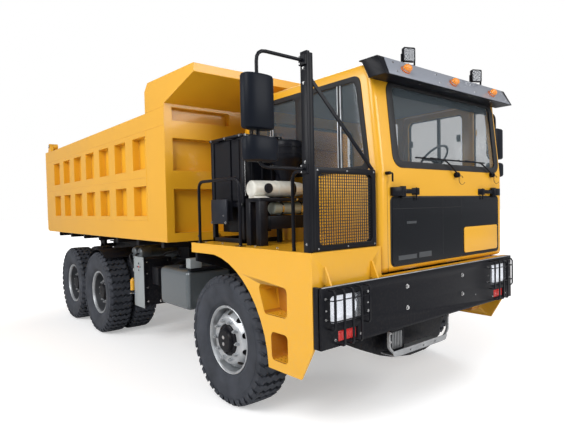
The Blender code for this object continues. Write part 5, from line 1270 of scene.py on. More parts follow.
@dataclass
class Bumper:
    """The folded bumper plate with its bolts, bright edge and bent lamp cages."""

    low: float = 0.903
    top: float = 1.415
    thick: float = 0.03
    back: float = 0.085
    bolt_x: float = 0.495
    bolt_zs: Pair = (1.29, 1.086)
    bars: int = 5
    cage: float = 0.43
    cage_top: float = 1.388
    cage_lows: Pair = (0.917, 1.062)
    wire_zs: Pair = (1.305, 1.135)

    def build(self) -> None:
        """Make the plate, its trim and both cages."""
        self.plate()
        self.trim()
        cages, screws = Shape(), Shape()
        for side in Side:
            self.guard(cages, screws, side.value * LAMP_X)
        piece("lamp_guards", cages, BLACK)
        piece("lamp_guard_screws", screws, STEEL)

    def plate(self) -> None:
        """Make the front plate with its lamp openings, and the folded ends."""
        shape = Shape()
        holes = []
        for side in Side:
            x = side.value * LAMP_X
            holes += [rounded((x - 0.21, 1.09), (x + 0.21, 1.34), 0.04),
                      rounded((x - 0.12, 0.93), (x + 0.12, 1.04), 0.012)]
        outline = softened([(-HALF_WIDTH, self.low), (HALF_WIDTH, self.low), (HALF_WIDTH, self.top),
                            (-HALF_WIDTH, self.top)], 0.008)
        shape.plate(outline, facing_y(NOSE_Y), self.thick, holes, bevel=0.005)
        for side in Side:
            shape.box((side.value * (HALF_WIDTH - self.thick), NOSE_Y + 0.008, self.low),
                      (side.value * HALF_WIDTH, NOSE_Y + self.back, self.top), 0.005, 2)
        piece("bumper_plate", shape, BLACK, "chassis", "front_bumper")

    def trim(self) -> None:
        """Add the bright upper edge, the four plate bolts and one small bolt."""
        edge = Shape().box((-HALF_WIDTH + 0.02, NOSE_Y - 0.0015, self.top - 0.007),
                           (HALF_WIDTH - 0.02, NOSE_Y + 0.012, self.top + 0.001), 0.001)
        piece("bumper_bright_edge", edge, SILVER)
        bolts = Shape().bolts([(x, NOSE_Y, z) for x in (-self.bolt_x, self.bolt_x) for z in self.bolt_zs],
                              Axis.Y, -1, 0.017)
        piece("bumper_bolts", bolts.bolt((0.78, NOSE_Y, 1.04), Axis.Y, -1, 0.005), STEEL)

    def guard(self, cages: Shape, screws: Shape, x: float) -> None:
        """Bend the flat bars over one pair of lamps, tied by two wires.

        Args:
            cages: The shape that takes the bars and wires.
            screws: The shape that takes the screws.
            x: The lamps' middle.
        """
        tip, root = NOSE_Y - 0.07, NOSE_Y + 0.004
        for index in range(self.bars):
            low, top = self.cage_lows[index in (0, self.bars - 1)], self.cage_top
            outer = [(root, top), (tip + 0.016, top), (tip, top - 0.026), (tip, low + 0.026), (tip + 0.016, low),
                     (root, low)]
            inner = [(root, low + 0.007), (tip + 0.019, low + 0.007), (tip + 0.01, low + 0.03),
                     (tip + 0.01, top - 0.03), (tip + 0.019, top - 0.007), (root, top - 0.007)]
            middle = x - self.cage / 2 + self.cage * index / (self.bars - 1)
            cages.plate(outer + inner, facing_x(middle - 0.0115), 0.023)
        reach = self.cage / 2 + 0.012
        for z in self.wire_zs:
            cages.tube([(x - reach - 0.02, root, z), (x - reach, tip + 0.008, z), (x + reach, tip + 0.008, z),
                        (x + reach + 0.02, root, z)], 0.005, 6, 0.015)
        for out, z, size in ((reach + 0.032, 1.317, 0.009), (reach + 0.032, 1.147, 0.009),
                             (0.155, 0.965, 0.008), (reach + 0.03, 1.22, 0.006)):
            screws.bolts([(x - out, NOSE_Y, z), (x + out, NOSE_Y, z)], Axis.Y, -1, size)


@dataclass
class FrontLamps:
    """A headlamp with two bowls and a dark inboard part, over a red lamp in its tray."""

    side: Side
    depth: float = 0.058
    bowl_rows: Pairs = ((0.0, 0.05), (0.02, 0.049), (0.045, 0.042), (0.066, 0.028),
                                                  (0.08, 0.01), (0.083, 0.002), (0.083, 0.0), (0.079, 0.0),
                                                  (0.062, 0.025), (0.04, 0.038), (0.0, 0.045))

    def build(self) -> None:
        """Make the tray, bowls, lenses and covers."""
        name = self.side.name.lower()
        out = self.side.value
        x = out * LAMP_X
        face = NOSE_Y + 0.008
        tray = Shape().box((x - 0.209, face + 0.035, 0.931), (x + 0.209, face + self.depth + 0.02, 1.36), 0.004)
        tray.ring((x - 0.209, 1.091), (x + 0.209, 1.339), 0.038, 0.009, 0.034, facing_y(face), 0.045)
        tray.ring((x - 0.119, 0.931), (x + 0.119, 1.039), 0.011, 0.007, 0.008, facing_y(face), 0.045)
        piece("lamp_tray_" + name, tray, BLACK, "chassis", "front_lamps_" + name)
        bowls = Shape()
        for middle in (x + out * 0.108, x - out * 0.045):
            bowls.spun(self.bowl_rows, (middle, face + 0.008, 1.215), Axis.Y, 32)
            bowls.rod((middle, face + 0.02, 1.215), (middle, face + 0.05, 1.215), 0.011, 12)
        first, last = sorted((x - out * 0.131, x + out * 0.2))
        bowls.plate(rounded((first, 1.102), (last, 1.328), 0.03), facing_y(face + 0.03), 0.004)
        piece("lamp_bowls_" + name, bowls, LAMP_BOWL)
        low, high = sorted((x - out * 0.197, x - out * 0.135))
        dark = Shape().plate(rounded((low, 1.104), (high, 1.326), 0.012), facing_y(face + 0.006), 0.02,
                             bevel=0.002)
        piece("lamp_inboard_" + name, dark, SMOKE_LENS)
        cover = Shape().plate(rounded((first, 1.101), (last, 1.329), 0.032), facing_y(face + 0.001), 0.005,
                              bevel=0.0015)
        piece("lamp_cover_" + name, cover, LAMP_COVER)
        red = Shape().boxes([(x + low, face + 0.004, 0.942, x + high, face + 0.03, 1.028)
                             for low, high in ((-0.11, -0.038), (-0.034, 0.034), (0.038, 0.11))], 0.004, 2)
        piece("red_lenses_" + name, red, RED_LENS)


@dataclass
class TowStep:
    """The bent silver step bar under the bumper, with the finned horn beside it."""

    right: float = -0.72
    left: float = 0.25
    top: float = 0.9027
    low: float = 0.63
    front: float = -4.232
    strap: float = 0.02

    def bend(self, out: float, drop: float, run: float) -> list[Pair]:
        """List one edge of the bar: its legs, a distance out of its sides, and its foot.

        Args:
            out: How far the legs stand outside the bar's inner sides.
            drop: How far over the bar's foot the legs end.
            run: How far inside its inner sides the foot starts.

        Returns:
            The edge without its ends' curves.
        """
        foot = self.low + (0 if out else self.strap)
        edge = softened([(self.right - out, self.top), (self.right - out, self.low + drop),
                         (self.right + run, foot), (self.left - run, foot), (self.left + out, self.low + drop),
                         (self.left + out, self.top)], 0.03, 3)
        if not out:
            edge.reverse()
        return [(x, min(z, self.top)) for x, z in edge][2:-3]

    def build(self) -> None:
        """Make the bar, its tread, bolts and the horn."""
        bar = Shape().plate(self.bend(self.strap, 0.1, 0.09) + self.bend(0, 0.106, 0.096),
                            facing_y(self.front), 0.024)
        holes = [rounded((x - 0.009, self.low + 0.02), (x + 0.009, self.low + 0.038), 0.0085, 3)
                 for x in (-0.42, -0.2, 0.0)]
        bar.plate(softened([(self.right + 0.05, self.low + 0.006), (self.left - 0.05, self.low + 0.006),
                            (self.left - 0.02, self.low + 0.062), (self.right + 0.02, self.low + 0.062)],
                           0.02), facing_y(self.front - 0.006), 0.007, holes, bevel=0.0015)
        bar.box((self.right + 0.06, self.front, self.low + 0.004),
                (self.left - 0.06, self.front + 0.172, self.low + 0.014), 0.003)
        piece("tow_step_bar", bar, STEP_SILVER, "chassis", "tow_step")
        bolts = Shape().bolts([(x, self.front, z) for x in (self.right - 0.004, self.left + 0.004)
                               for z in (0.79, 0.87)], Axis.Y, -1, 0.009)
        piece("tow_step_bolts", bolts, STEEL)
        horn = Shape().box((-0.655, -4.17, 0.672), (-0.465, -4.08, 0.868), 0.012, 2)
        horn.ring((-0.66, 0.667), (-0.46, 0.873), 0.02, 0.015, 0.014, facing_y(-4.19), 0.022)
        piece("horn_case", horn.rod((-0.56, -4.12, 0.86), (-0.56, -4.12, 0.9027), 0.016, 10), BLACK)
        starts = [-0.639 + index * 0.0245 for index in range(7)]
        fins = Shape().boxes([(x, -4.186, 0.688, x + 0.01, -4.165, 0.852) for x in starts], 0.002)
        piece("horn_fins", fins, STEP_SILVER)


@dataclass
class Glazing:
    """The rubber frames, sliding panes, sun band and latches round the cab's glass."""

    lean: float = 6.01
    belt: float = 2.42
    proud: float = 0.008
    low: float = 2.44
    top: float = 3.29
    screen_zs: Pair = (2.48, 3.25)
    divider_ys: Pair = (-3.65, -2.55)
    door_pane: tuple[float, float, float] = (-3.652, -2.818, 3.25)
    door_bar: Pair = (-3.32, -3.28)

    def build(self) -> None:
        """Make every window's frame and repaint the panes."""
        for node in ("windscreen", "right_window_front", "right_window_rear", "left_window_front",
                     "left_window_rear", "rear_window", "door_glass"):
            repaint(node, CLEAR)
        self.front()
        self.sides()
        self.rear()
        self.door()

    def front(self) -> None:
        """Frame the windscreen and shade its top."""
        low, high = ((z - self.belt) / math.cos(math.radians(self.lean)) for z in self.screen_zs)
        place = leaned(CAB_FRONT_Y, self.belt, self.lean) @ Matrix.Translation((0, 0, -self.proud))
        seal = Shape().plate(rounded((-0.545, low - 0.05), (1.55, high + 0.04), 0.13, 8), place, 0.022,
                             [rounded((-0.452, low + 0.016), (1.462, high - 0.016), 0.062, 8)], bevel=0.004)
        piece("windscreen_seal", seal, SEAL)
        shade = Shape().plate([(-0.46, high - 0.1), (1.47, high - 0.1), (1.47, high - 0.004),
                               (-0.46, high - 0.004)], leaned(CAB_FRONT_Y + 0.027, self.belt, self.lean), 0.002)
        piece("windscreen_sun_band", shade, SMOKE_GLASS)

    def pane(self, first: float, last: float, slant: float, grow: float, reach: float) -> list:
        """List a side window's outline.

        Args:
            first: Its front edge.
            last: Its rear edge.
            slant: How far back its upper front corner lies.
            grow: How far the outline lies outside the window.
            reach: The reach of its rounded corners.

        Returns:
            The outline in Y and Z.
        """
        low, top = self.low - grow, self.top + grow
        return softened([(first - grow, low), (last + grow, low), (last + grow, top),
                         (first + slant - grow, top)], reach, 6)

    def sides(self) -> None:
        """Frame the right windows as one and the left ones by themselves, with their dividers."""
        wide = softened([(-4.045, self.low - 0.04), (-2.1, self.low - 0.04), (-2.1, self.top + 0.04),
                         (-3.93, self.top + 0.04)], 0.09, 6)
        right = Shape().plate(wide, facing_x(CAB_RIGHT - self.proud), 0.02,
                              [self.pane(-4.0, -3.1, 0.11, -0.014, 0.07),
                               self.pane(-3.003, -2.14, 0, -0.014, 0.07)], bevel=0.003)
        left = Shape()
        for first, last, slant, reach in ((-4.05, -3.81, 0.08, 0.05), (-2.64, -2.14, 0.0, 0.07)):
            left.plate(self.pane(first, last, slant, 0.03, reach + 0.02), facing_x(CAB_LEFT - 0.012), 0.02,
                       [self.pane(first, last, slant, -0.012, reach)], bevel=0.003)
        piece("side_window_seals_right", right, SEAL)
        piece("side_window_seals_left", left, SEAL)
        bars, strips = Shape(), Shape()
        for y in self.divider_ys:
            bars.box((CAB_RIGHT - 0.004, y - 0.018, self.low + 0.008),
                     (CAB_RIGHT + 0.022, y + 0.018, self.top - 0.008), 0.003)
            strips.boxes([(CAB_RIGHT - 0.006, y + edge - 0.0045, self.low + 0.01,
                           CAB_RIGHT + 0.01, y + edge + 0.0045, self.top - 0.01) for edge in (-0.021, 0.021)],
                         0.001)
        piece("window_dividers", bars, SEAL)
        piece("window_divider_strips", strips, SILVER)

    def rear(self) -> None:
        """Frame the rear window's two sliding panes and latches."""
        seal = Shape().ring((-0.435, 2.405), (1.335, 3.245), 0.1, 0.049, 0.06, facing_y(CAB_REAR_Y - 0.012),
                            0.02, 8, 0.003)
        piece("rear_window_seal", seal, SEAL)
        slides = Shape()
        for low, high, depth in ((-0.385, 0.47, 0.034), (0.43, 1.285, 0.044)):
            slides.ring((low, 2.456), (high, 3.194), 0.05, 0.028, 0.03, facing_y(CAB_REAR_Y - depth), 0.008)
        slides.boxes([(x - 0.02, CAB_REAR_Y - 0.06, 2.78, x + 0.02, CAB_REAR_Y - 0.03, 2.86)
                      for x in (-0.35, 1.25)], 0.005, 2)
        piece("rear_window_slides", slides, WINDOW_FRAME)

    def door(self) -> None:
        """Frame the door's glass, with its sliding bar and latches."""
        (first, last, high), (near, far) = self.door_pane, self.door_bar
        seal = Shape().ring((first - 0.025, self.low - 0.025), (last + 0.025, high + 0.025), 0.08, 0.039, 0.06,
                            facing_x(CAB_LEFT - 0.012), 0.02, 6, 0.003)
        piece("door_window_seal", seal, SEAL, "door")
        slides = Shape().box((CAB_LEFT - 0.04, near, self.low + 0.01), (CAB_LEFT - 0.006, far, high - 0.01), 0.003)
        slides.boxes([(CAB_LEFT - 0.06, y - 0.024, 2.89, CAB_LEFT - 0.03, y + 0.024, 2.98)
                      for y in (first + 0.045, last - 0.045)], 0.005, 2)
        piece("door_window_slides", slides, WINDOW_FRAME, "door")


@dataclass
class CabFront:
    """The dark lower panel with its blank plate, latches, hook, wipers and seams."""

    face: float = CAB_FRONT_Y
    rim: Pairs = ((-0.606, 1.472), (1.526, 2.154))
    plate: Pairs = ((0.7, 1.512), (1.462, 1.802))
    latch_rows: tuple[tuple[float, int, float], ...] = ((-0.6, 1, 0.44), (1.51, -1, 0.47))
    latch_z: float = 2.2
    hook: Pair = (-0.66, 2.37)
    wiper_rows: Rows = ((0.551, 2.384, 0.3, -0.19), (1.339, 2.404, 1.06, 0.43))
    wiper_z: float = 2.535
    hose_steps: int = 11
    sump: Pairs = (
        (-0.95, 0.9), (-0.93, 0.8), (-0.83, 0.69), (-0.6, 0.585), (-0.4, 0.525), (-0.11, 0.482), (0.16, 0.487),
        (0.3, 0.52), (0.42, 0.6), (0.5, 0.75), (0.5, 0.9))

    def build(self) -> None:
        """Make every fitting on the cab's front."""
        refined("cab_body", "cab_shell", YELLOW)
        refined("lower_dark_panel", "lower_screen", TINTED, bevel=0.004)
        self.panel()
        self.latches()
        self.wipers()
        self.trim()

    def panel(self) -> None:
        """Stand the blank plate on the panel, with the shelf edges behind its glass."""
        rim = Shape().ring(*self.rim, 0.06, 0.02, 0.045, facing_y(self.face - 0.004), 0.006, 6, 0.0015)
        piece("lower_panel_rim", rim, SEAL)
        plate = Shape().plate(rounded(*self.plate, 0.03, 6), facing_y(self.face - 0.02), 0.007, bevel=0.002)
        piece("blank_plate", plate, YELLOW)
        deep, near = self.face - 0.0128, self.face - 0.011
        lines = Shape().boxes([(-0.5, deep, 1.53, -0.2, near, 1.575), (-0.16, deep, 1.53, 0.06, near, 1.585),
                               (-0.36, deep, 1.88, -0.2, near, 1.905)], 0.0006)
        piece("panel_inner_fittings", lines, PANEL_GREY)
        joints = Shape().boxes([(0.278, deep, 1.5, 0.282, near, 2.125), (0.658, deep, 1.5, 0.662, near, 2.125),
                                (-0.58, deep, 2.03, 0.66, near, 2.034)])
        piece("panel_joints", joints, SEAL)

    def latches(self) -> None:
        """Make the two black panel latches and the hook at the right."""
        shape = Shape()
        root, rod, z = self.face + 0.002, self.face - 0.03, self.latch_z
        for start, way, length in self.latch_rows:
            wedge = [(0, root), (0, rod), (0.05, self.face - 0.06), (0.14, self.face - 0.06), (0.17, root)]
            end = [(length - 0.1, root), (length - 0.07, self.face - 0.05), (length - 0.03, self.face - 0.045),
                   (length, root)]
            knuckle, pin = start + way * 0.16, start + way * (length - 0.06)
            shape.plate([(start + way * along, y) for along, y in wedge], facing_z(z - 0.045), 0.085,
                        bevel=0.004)
            shape.rod((knuckle, rod, z - 0.06), (knuckle, rod, z + 0.05), 0.03, 16, bevel=0.004)
            shape.box((start + way * 0.17, self.face - 0.042, z - 0.022),
                      (start + way * (length - 0.08), self.face - 0.022, z + 0.022), 0.004, 2)
            shape.plate([(start + way * along, y) for along, y in end], facing_z(z - 0.035), 0.07, bevel=0.004)
            shape.rod((pin, rod, z - 0.09), (pin, rod, z + 0.04), 0.008, 8)
        (x, z), out = self.hook, self.face - 0.042
        shape.rod((x, root, z), (x, self.face - 0.05, z), 0.016, 12, bevel=0.003)
        shape.tube([(x, out, z), (x + 0.045, out, z), (x + 0.045, out, z - 0.08)], 0.009, 8, 0.015)
        piece("panel_latches", shape, BLACK)

    def wipers(self) -> None:
        """Lay the wipers along the screen's lower edge, with their pivots and hose loops."""
        arms, loops = Shape(), Shape()
        front, bend_z = self.face - 0.004, self.wiper_z
        for x, z, bend_x, tip_x in self.wiper_rows:
            arms.rod((x, self.face + 0.002, z), (x, front - 0.04, z), 0.03, 16, bevel=0.006)
            arms.rod((x, front - 0.03, z), (x, front - 0.05, z), 0.016, 12)
            arms.tube([(x, front - 0.035, z), (bend_x + 0.1, front - 0.032, bend_z - 0.05),
                       (bend_x, front - 0.022, bend_z), ((bend_x + tip_x) / 2, front - 0.016, bend_z + 0.01)],
                      0.0085, 8, 0.05)
            arms.boxes([(tip_x, front - 0.014, bend_z - 0.002, bend_x + 0.12, front + 0.008, bend_z + 0.012),
                        (tip_x + 0.06, front - 0.022, bend_z + 0.002, bend_x + 0.06, front - 0.01,
                         bend_z + 0.01)], 0.002)
            for clip in (tip_x + (bend_x - tip_x) * share for share in (0.25, 0.5, 0.75)):
                arms.box((clip - 0.012, front - 0.026, bend_z - 0.002),
                         (clip + 0.012, front - 0.008, bend_z + 0.016), 0.003)
            route = [(x, front - 0.03, z)]
            for step in range(self.hose_steps):
                angle = math.radians(150 - 30 * step)
                route.append((x + 0.075 - 0.055 * math.cos(angle), front - 0.02 - 0.002 * step,
                              z - 0.055 + 0.05 * math.sin(angle)))
            loops.tube(route, 0.0028, 6)
        piece("wipers", arms, BLACK)
        piece("wiper_hoses", loops, SEAL)

    def trim(self) -> None:
        """Add the cab's panel joint, the ledge behind the bumper and the rounded guard under it."""
        seam = Shape().box((-0.648, self.face - 0.0006, 1.43), (-0.645, self.face + 0.002, 2.29))
        piece("cab_front_seam", seam, SEAL)
        piece("cab_sill_ledge", Shape().box((-0.755, -4.232, 1.398), (1.64, -4.155, 1.414), 0.003), YELLOW)
        piece("sump_guard", Shape().plate(self.sump, facing_y(-4.02), 0.3, bevel=0.02), CHASSIS)


@dataclass
class LampVisor:
    """The sloped visor with amber markers and bracketed work lamps."""

    right: float = -0.79
    left: float = 1.66
    foot: float = -4.28
    low: float = 3.26
    roof: float = 3.435
    lean: float = 28.1
    marker_xs: Row = (-0.44, 0.4, 1.23)
    lamp_xs: Row = (-0.25, 1.06)
    lamp_low: float = 3.483
    lamp_high: float = 3.621
    lamp_turn: float = -24.0
    lamp_foot: float = 3.452
    lamp_ribs: int = 6
    cell_pitch: Pair = (0.034, 0.036)
    bolt_xs: Row = (-0.6, 0.12, 0.82, 1.55)
    foot_bolt_xs: Row = (-0.2, 0.28, 0.75, 1.2)

    def build(self) -> None:
        """Make the visor, its face, bolts, markers and work lamps."""
        rows = [(self.foot, self.low), (-4.0722, self.low), (-4.0703, 3.275), (-3.9903, self.roof + 0.0003),
                (-3.9603, self.roof + 0.0003), (-3.9603, self.roof + 0.012), (-4.18, self.roof + 0.012)]
        body = Shape().plate(rows, facing_x(self.right), self.left - self.right, bevel=0.004)
        piece("visor_body", body, BLACK, "chassis", "lamp_visor")
        place = leaned(self.foot - 0.0035, self.low + 0.002, self.lean)
        front = Shape().plate([(self.right + 0.05, 0.004), (self.left - 0.05, 0.004), (self.left - 0.09, 0.206),
                               (self.right + 0.09, 0.206)], place, 0.003, bevel=0.001)
        piece("visor_face", front, VISOR_GREY)
        self.bolts()
        self.markers()
        for x in self.lamp_xs:
            self.work_lamp(x)

    def on_face(self, x: float, up: float, out: float) -> Vector:
        """Give a point on the leaning face, some way up and out of it.

        Args:
            x: The place along X.
            up: The way up the face from its foot.
            out: The distance out of the face.

        Returns:
            The point.
        """
        angle = math.radians(self.lean)
        y = self.foot + up * math.sin(angle) - out * math.cos(angle)
        return Vector((x, y, self.low + up * math.cos(angle) + out * math.sin(angle)))

    def bolts(self) -> None:
        """Stand small bright bolts in pairs on the face and along its foot."""
        shape = Shape()
        for x in self.bolt_xs:
            for up in (0.055, 0.16):
                shape.rod(self.on_face(x, up, 0.002), self.on_face(x, up, 0.012), 0.011, 6)
        for x in self.foot_bolt_xs:
            y = self.foot + 0.05
            shape.rod((x, y, self.low + 0.002), (x, y, self.low - 0.008), 0.008, 6)
        for y in (-4.12, -4.03):
            for x in (self.right + 0.03, self.left - 0.03):
                shape.rod((x, y, self.roof + 0.01), (x, y, self.roof + 0.02), 0.01, 6)
        piece("visor_bolts", shape, STEEL)

    def markers(self) -> None:
        """Stand the amber markers on their bases."""
        out = Matrix.Rotation(-math.radians(self.lean), 4, "X") @ Matrix.Diagonal((1.25, 1, 0.85, 1))
        rows = (("marker_bases", AMBER_BASE, [(0, 0), (0.052, 0), (0.052, 0.012), (0.044, 0.018), (0, 0.018)]),
                ("marker_rings", STEEL, [(0, 0.016), (0.047, 0.016), (0.047, 0.024), (0, 0.024)]),
                ("marker_lenses", AMBER_LENS, [(0, 0.022), (0.044, 0.022), (0.044, 0.038), (0.04, 0.05),
                                               (0.03, 0.06), (0.016, 0.066), (0, 0.068)]))
        for name, finish, profile in rows:
            shape = Shape()
            for x in self.marker_xs:
                place = Matrix.Translation(self.on_face(x, 0.1, 0.002)) @ out
                shape.add(Shape().spun(profile, ORIGIN, Axis.Y, 28, -1), place)
            piece(name, shape, finish)

    def work_lamp(self, x: float) -> None:
        """Make one square work lamp in its U bracket, turned a little outward.

        Args:
            x: The lamp's place along X.
        """
        low, high = self.lamp_low, self.lamp_high
        middle = (low + high) / 2
        name = "right" if x < 0 else "left"
        turn = Matrix.Translation((x, -4.13, 0)) @ Matrix.Rotation(math.radians(self.lamp_turn), 4, "Z")
        case = Shape().box((-0.064, -0.025, low), (0.064, 0.015, high), 0.01, 2)
        ribs = [low + 0.016 + index * 0.0215 for index in range(self.lamp_ribs)]
        case.boxes([(-0.055, 0.01, z - 0.004, 0.055, 0.026, z + 0.004) for z in ribs], 0.001)
        case.ring((-0.067, low - 0.003), (0.067, high + 0.003), 0.016, 0.011, 0.01, facing_y(-0.032), 0.012,
                  bevel=0.002)
        foot, ear = self.lamp_foot, middle + 0.012
        bracket = [(-0.074, ear), (-0.074, foot), (0.074, foot), (0.074, ear), (0.069, ear), (0.069, foot + 0.006),
                   (-0.069, foot + 0.006), (-0.069, ear)]
        case.plate(bracket, facing_y(-0.015), 0.026)
        case.rod((-0.074, -0.002, middle), (0.074, -0.002, middle), 0.007, 10)
        case.rod((0, -0.002, foot - 0.006), (0, -0.002, foot + 0.018), 0.012, 10)
        piece("work_lamp_" + name, Shape().add(case, turn), BLACK)
        cells, (pitch_x, pitch_z) = Shape(), self.cell_pitch
        for column in (-1, 0, 1):
            for row in (-1, 0, 1):
                cells.spun([(0, 0.006), (0.01, 0.005), (0.0155, 0), (0.0165, 0.004), (0, 0.009)],
                           (column * pitch_x, -0.026, middle + row * pitch_z), Axis.Y, 14)
        cells.box((-0.056, -0.022, low + 0.008), (0.056, -0.019, high - 0.008))
        piece("work_lamp_cells_" + name, Shape().add(cells, turn), WORK_LIGHT)
        glass = Shape().plate(rounded((-0.056, low + 0.008), (0.056, high - 0.008), 0.01), facing_y(-0.0305),
                              0.002)
        piece("work_lamp_glass_" + name, Shape().add(glass, turn), LAMP_COVER)


@dataclass
class MeshGuard:
    """The tall post, the framed mesh, its brace and the grab rail."""

    post_x: float = -1.6
    back: float = -4.11
    low: Pair = (-1.564, 1.6903)
    high: Pair = (-0.782, 2.4)
    bar: float = 0.05
    cut: float = 0.03
    wires: int = 24
    top: float = 3.33
    rail_z: float = 2.37
    bolt_zs: Row = (1.76, 2.36, 2.44, 3.08, 3.2, 3.29)
    frame_bolt_xs: Row = (-1.53, -1.17, -0.81)

    def build(self) -> None:
        """Make the frame, the mesh and the small bolts."""
        (left, low), (right, high) = self.low, self.high
        post, back = self.post_x, self.back
        shape = Shape().box((post - 0.04, back - 0.04, low), (post - 0.004, back + 0.04, self.top + 0.006), 0.004,
                            2)
        shape.box((post - 0.006, back - 0.03, low), (post + 0.04, back + 0.04, self.top), 0.006, 2)
        near, far = left + self.bar, right - self.bar
        foot, head = low + self.bar, high - self.bar
        cut = self.cut
        hole = [(near + cut, foot), (far - cut, foot), (far, foot + cut), (far, head - cut), (far - cut, head),
                (near + cut, head), (near, head - cut), (near, foot + cut)]
        shape.plate([self.low, (right, low), self.high, (left, high)], facing_y(back - 0.025), 0.05, [hole],
                    bevel=0.003)
        shape.plate([(post + 0.03, 3.155), (post + 0.03, 3.105), (right - 0.035, 2.395), (right + 0.002, 2.395),
                     (right + 0.002, 2.41)], facing_y(back - 0.006), 0.012, bevel=0.002)
        shape.tube([(post, back + 0.03, self.rail_z), (post, back + 0.21, self.rail_z), (post, back + 0.21, low)],
                   0.017, 12, 0.08)
        piece("guard_frame", shape, BLACK, "chassis", "mesh_guard")
        self.mesh()
        bolts = Shape().bolts([(post - 0.04, back, z) for z in self.bolt_zs], Axis.X, -1, 0.008)
        bolts.bolts([(x, back - 0.025, z) for x in self.frame_bolt_xs for z in (low + 0.025, high - 0.025)],
                    Axis.Y, -1, 0.006)
        piece("guard_bolts", bolts, STEEL)

    def mesh(self) -> None:
        """Weave the thin black wires."""
        inset = self.bar - 0.006
        (x, z), (last_x, last_z) = ([part + way * inset for part in corner]
                                    for corner, way in ((self.low, 1), (self.high, -1)))
        step_x, step_z = (last_x - x) / self.wires, (last_z - z) / self.wires
        shape = Shape()
        for index in range(1, self.wires):
            middle, half = x + step_x * index, step_x * 0.15
            shape.box((middle - half, self.back + 0.003, z), (middle + half, self.back + 0.007, last_z))
        for index in range(1, self.wires):
            middle, half = z + step_z * index, step_z * 0.12
            shape.box((x, self.back, middle - half), (last_x, self.back + 0.004, middle + half))
        piece("guard_mesh", shape, SEAL)


@dataclass
class Mirrors:
    """One side's mirrors: a tall capsule over a short wide one, on a bent arm."""

    side: Side
    back: float
    root: float
    bend: float = 2.115
    arms: Pair = (3.26, 2.38)
    heads: Rows = ((2.66, 3.07, 0.0, 0.139, 0.075, 0.024), (2.42, 2.61, 0.016, 0.153, 0.085, 0.032))

    def build(self) -> None:
        """Make the arm, the heads and their glass."""
        name = self.side.name.lower()
        out, back = self.side.value, self.back
        root, bend = out * self.root, out * self.bend
        upper, lower = self.arms
        arm = Shape().tube([(root, back, upper), (bend, back, upper), (bend, back, lower), (root, back, lower)],
                           0.014, 12, 0.09)
        arm.boxes([(root, back - 0.04, z - 0.04, root + out * 0.02, back + 0.04, z + 0.04) for z in self.arms],
                  0.004)
        piece("mirror_arm_" + name, arm, BLACK, "chassis", "mirrors_" + name)
        heads, glass = Shape(), Shape()
        for low, high, shift, half, deep, edge in self.heads:
            middle = bend - out * shift
            outline = []
            for across, along in circle(0, 0, 1, 40):
                outline.append((middle + half * math.copysign(abs(across) ** 0.8, across),
                                back + deep * math.copysign(abs(along) ** 0.8, along)))
            heads.plate(outline, facing_z(low), high - low, bevel=edge)
            glass.box((middle - 0.1, back + deep - 0.02, low + 0.04),
                      (middle + 0.1, back + deep + 0.003, high - 0.04), 0.01, 2)
        piece("mirror_heads_" + name, heads, MIRROR_BLACK)
        piece("mirror_glass_" + name, glass, CHROME)
        bolts = Shape().bolts([(root + out * 0.02, back + 0.025, z + shift) for z in self.arms
                               for shift in (0.025, -0.025)], Axis.X, out, 0.006)
        piece("mirror_bolts_" + name, bolts, STEEL)


@dataclass
class DeckRail:
    """The hoop rail on the deck, with its feet."""

    x: float = -1.6
    front: float = -3.09
    rear: float = -2.29
    top: float = 2.37

    def build(self) -> None:
        """Bend the hoop and bolt its feet."""
        x, ends = self.x, (self.front, self.rear)
        hoop = Shape().tube([(x, self.front, DECK_FLOOR), (x, self.front, self.top), (x, self.rear, self.top),
                             (x, self.rear, DECK_FLOOR)], 0.017, 14, 0.09)
        hoop.boxes([(x - 0.04, y - 0.04, DECK_FLOOR, x + 0.04, y + 0.04, DECK_TOP + 0.008) for y in ends], 0.002)
        piece("deck_hoop", hoop, BLACK, "chassis", "deck_rail")
        bolts = Shape().bolts([(x + shift, y + shift, DECK_TOP + 0.008) for y in ends
                               for shift in (-0.028, 0.028)], Axis.Z, 1, 0.007)
        piece("deck_hoop_bolts", bolts, STEEL)


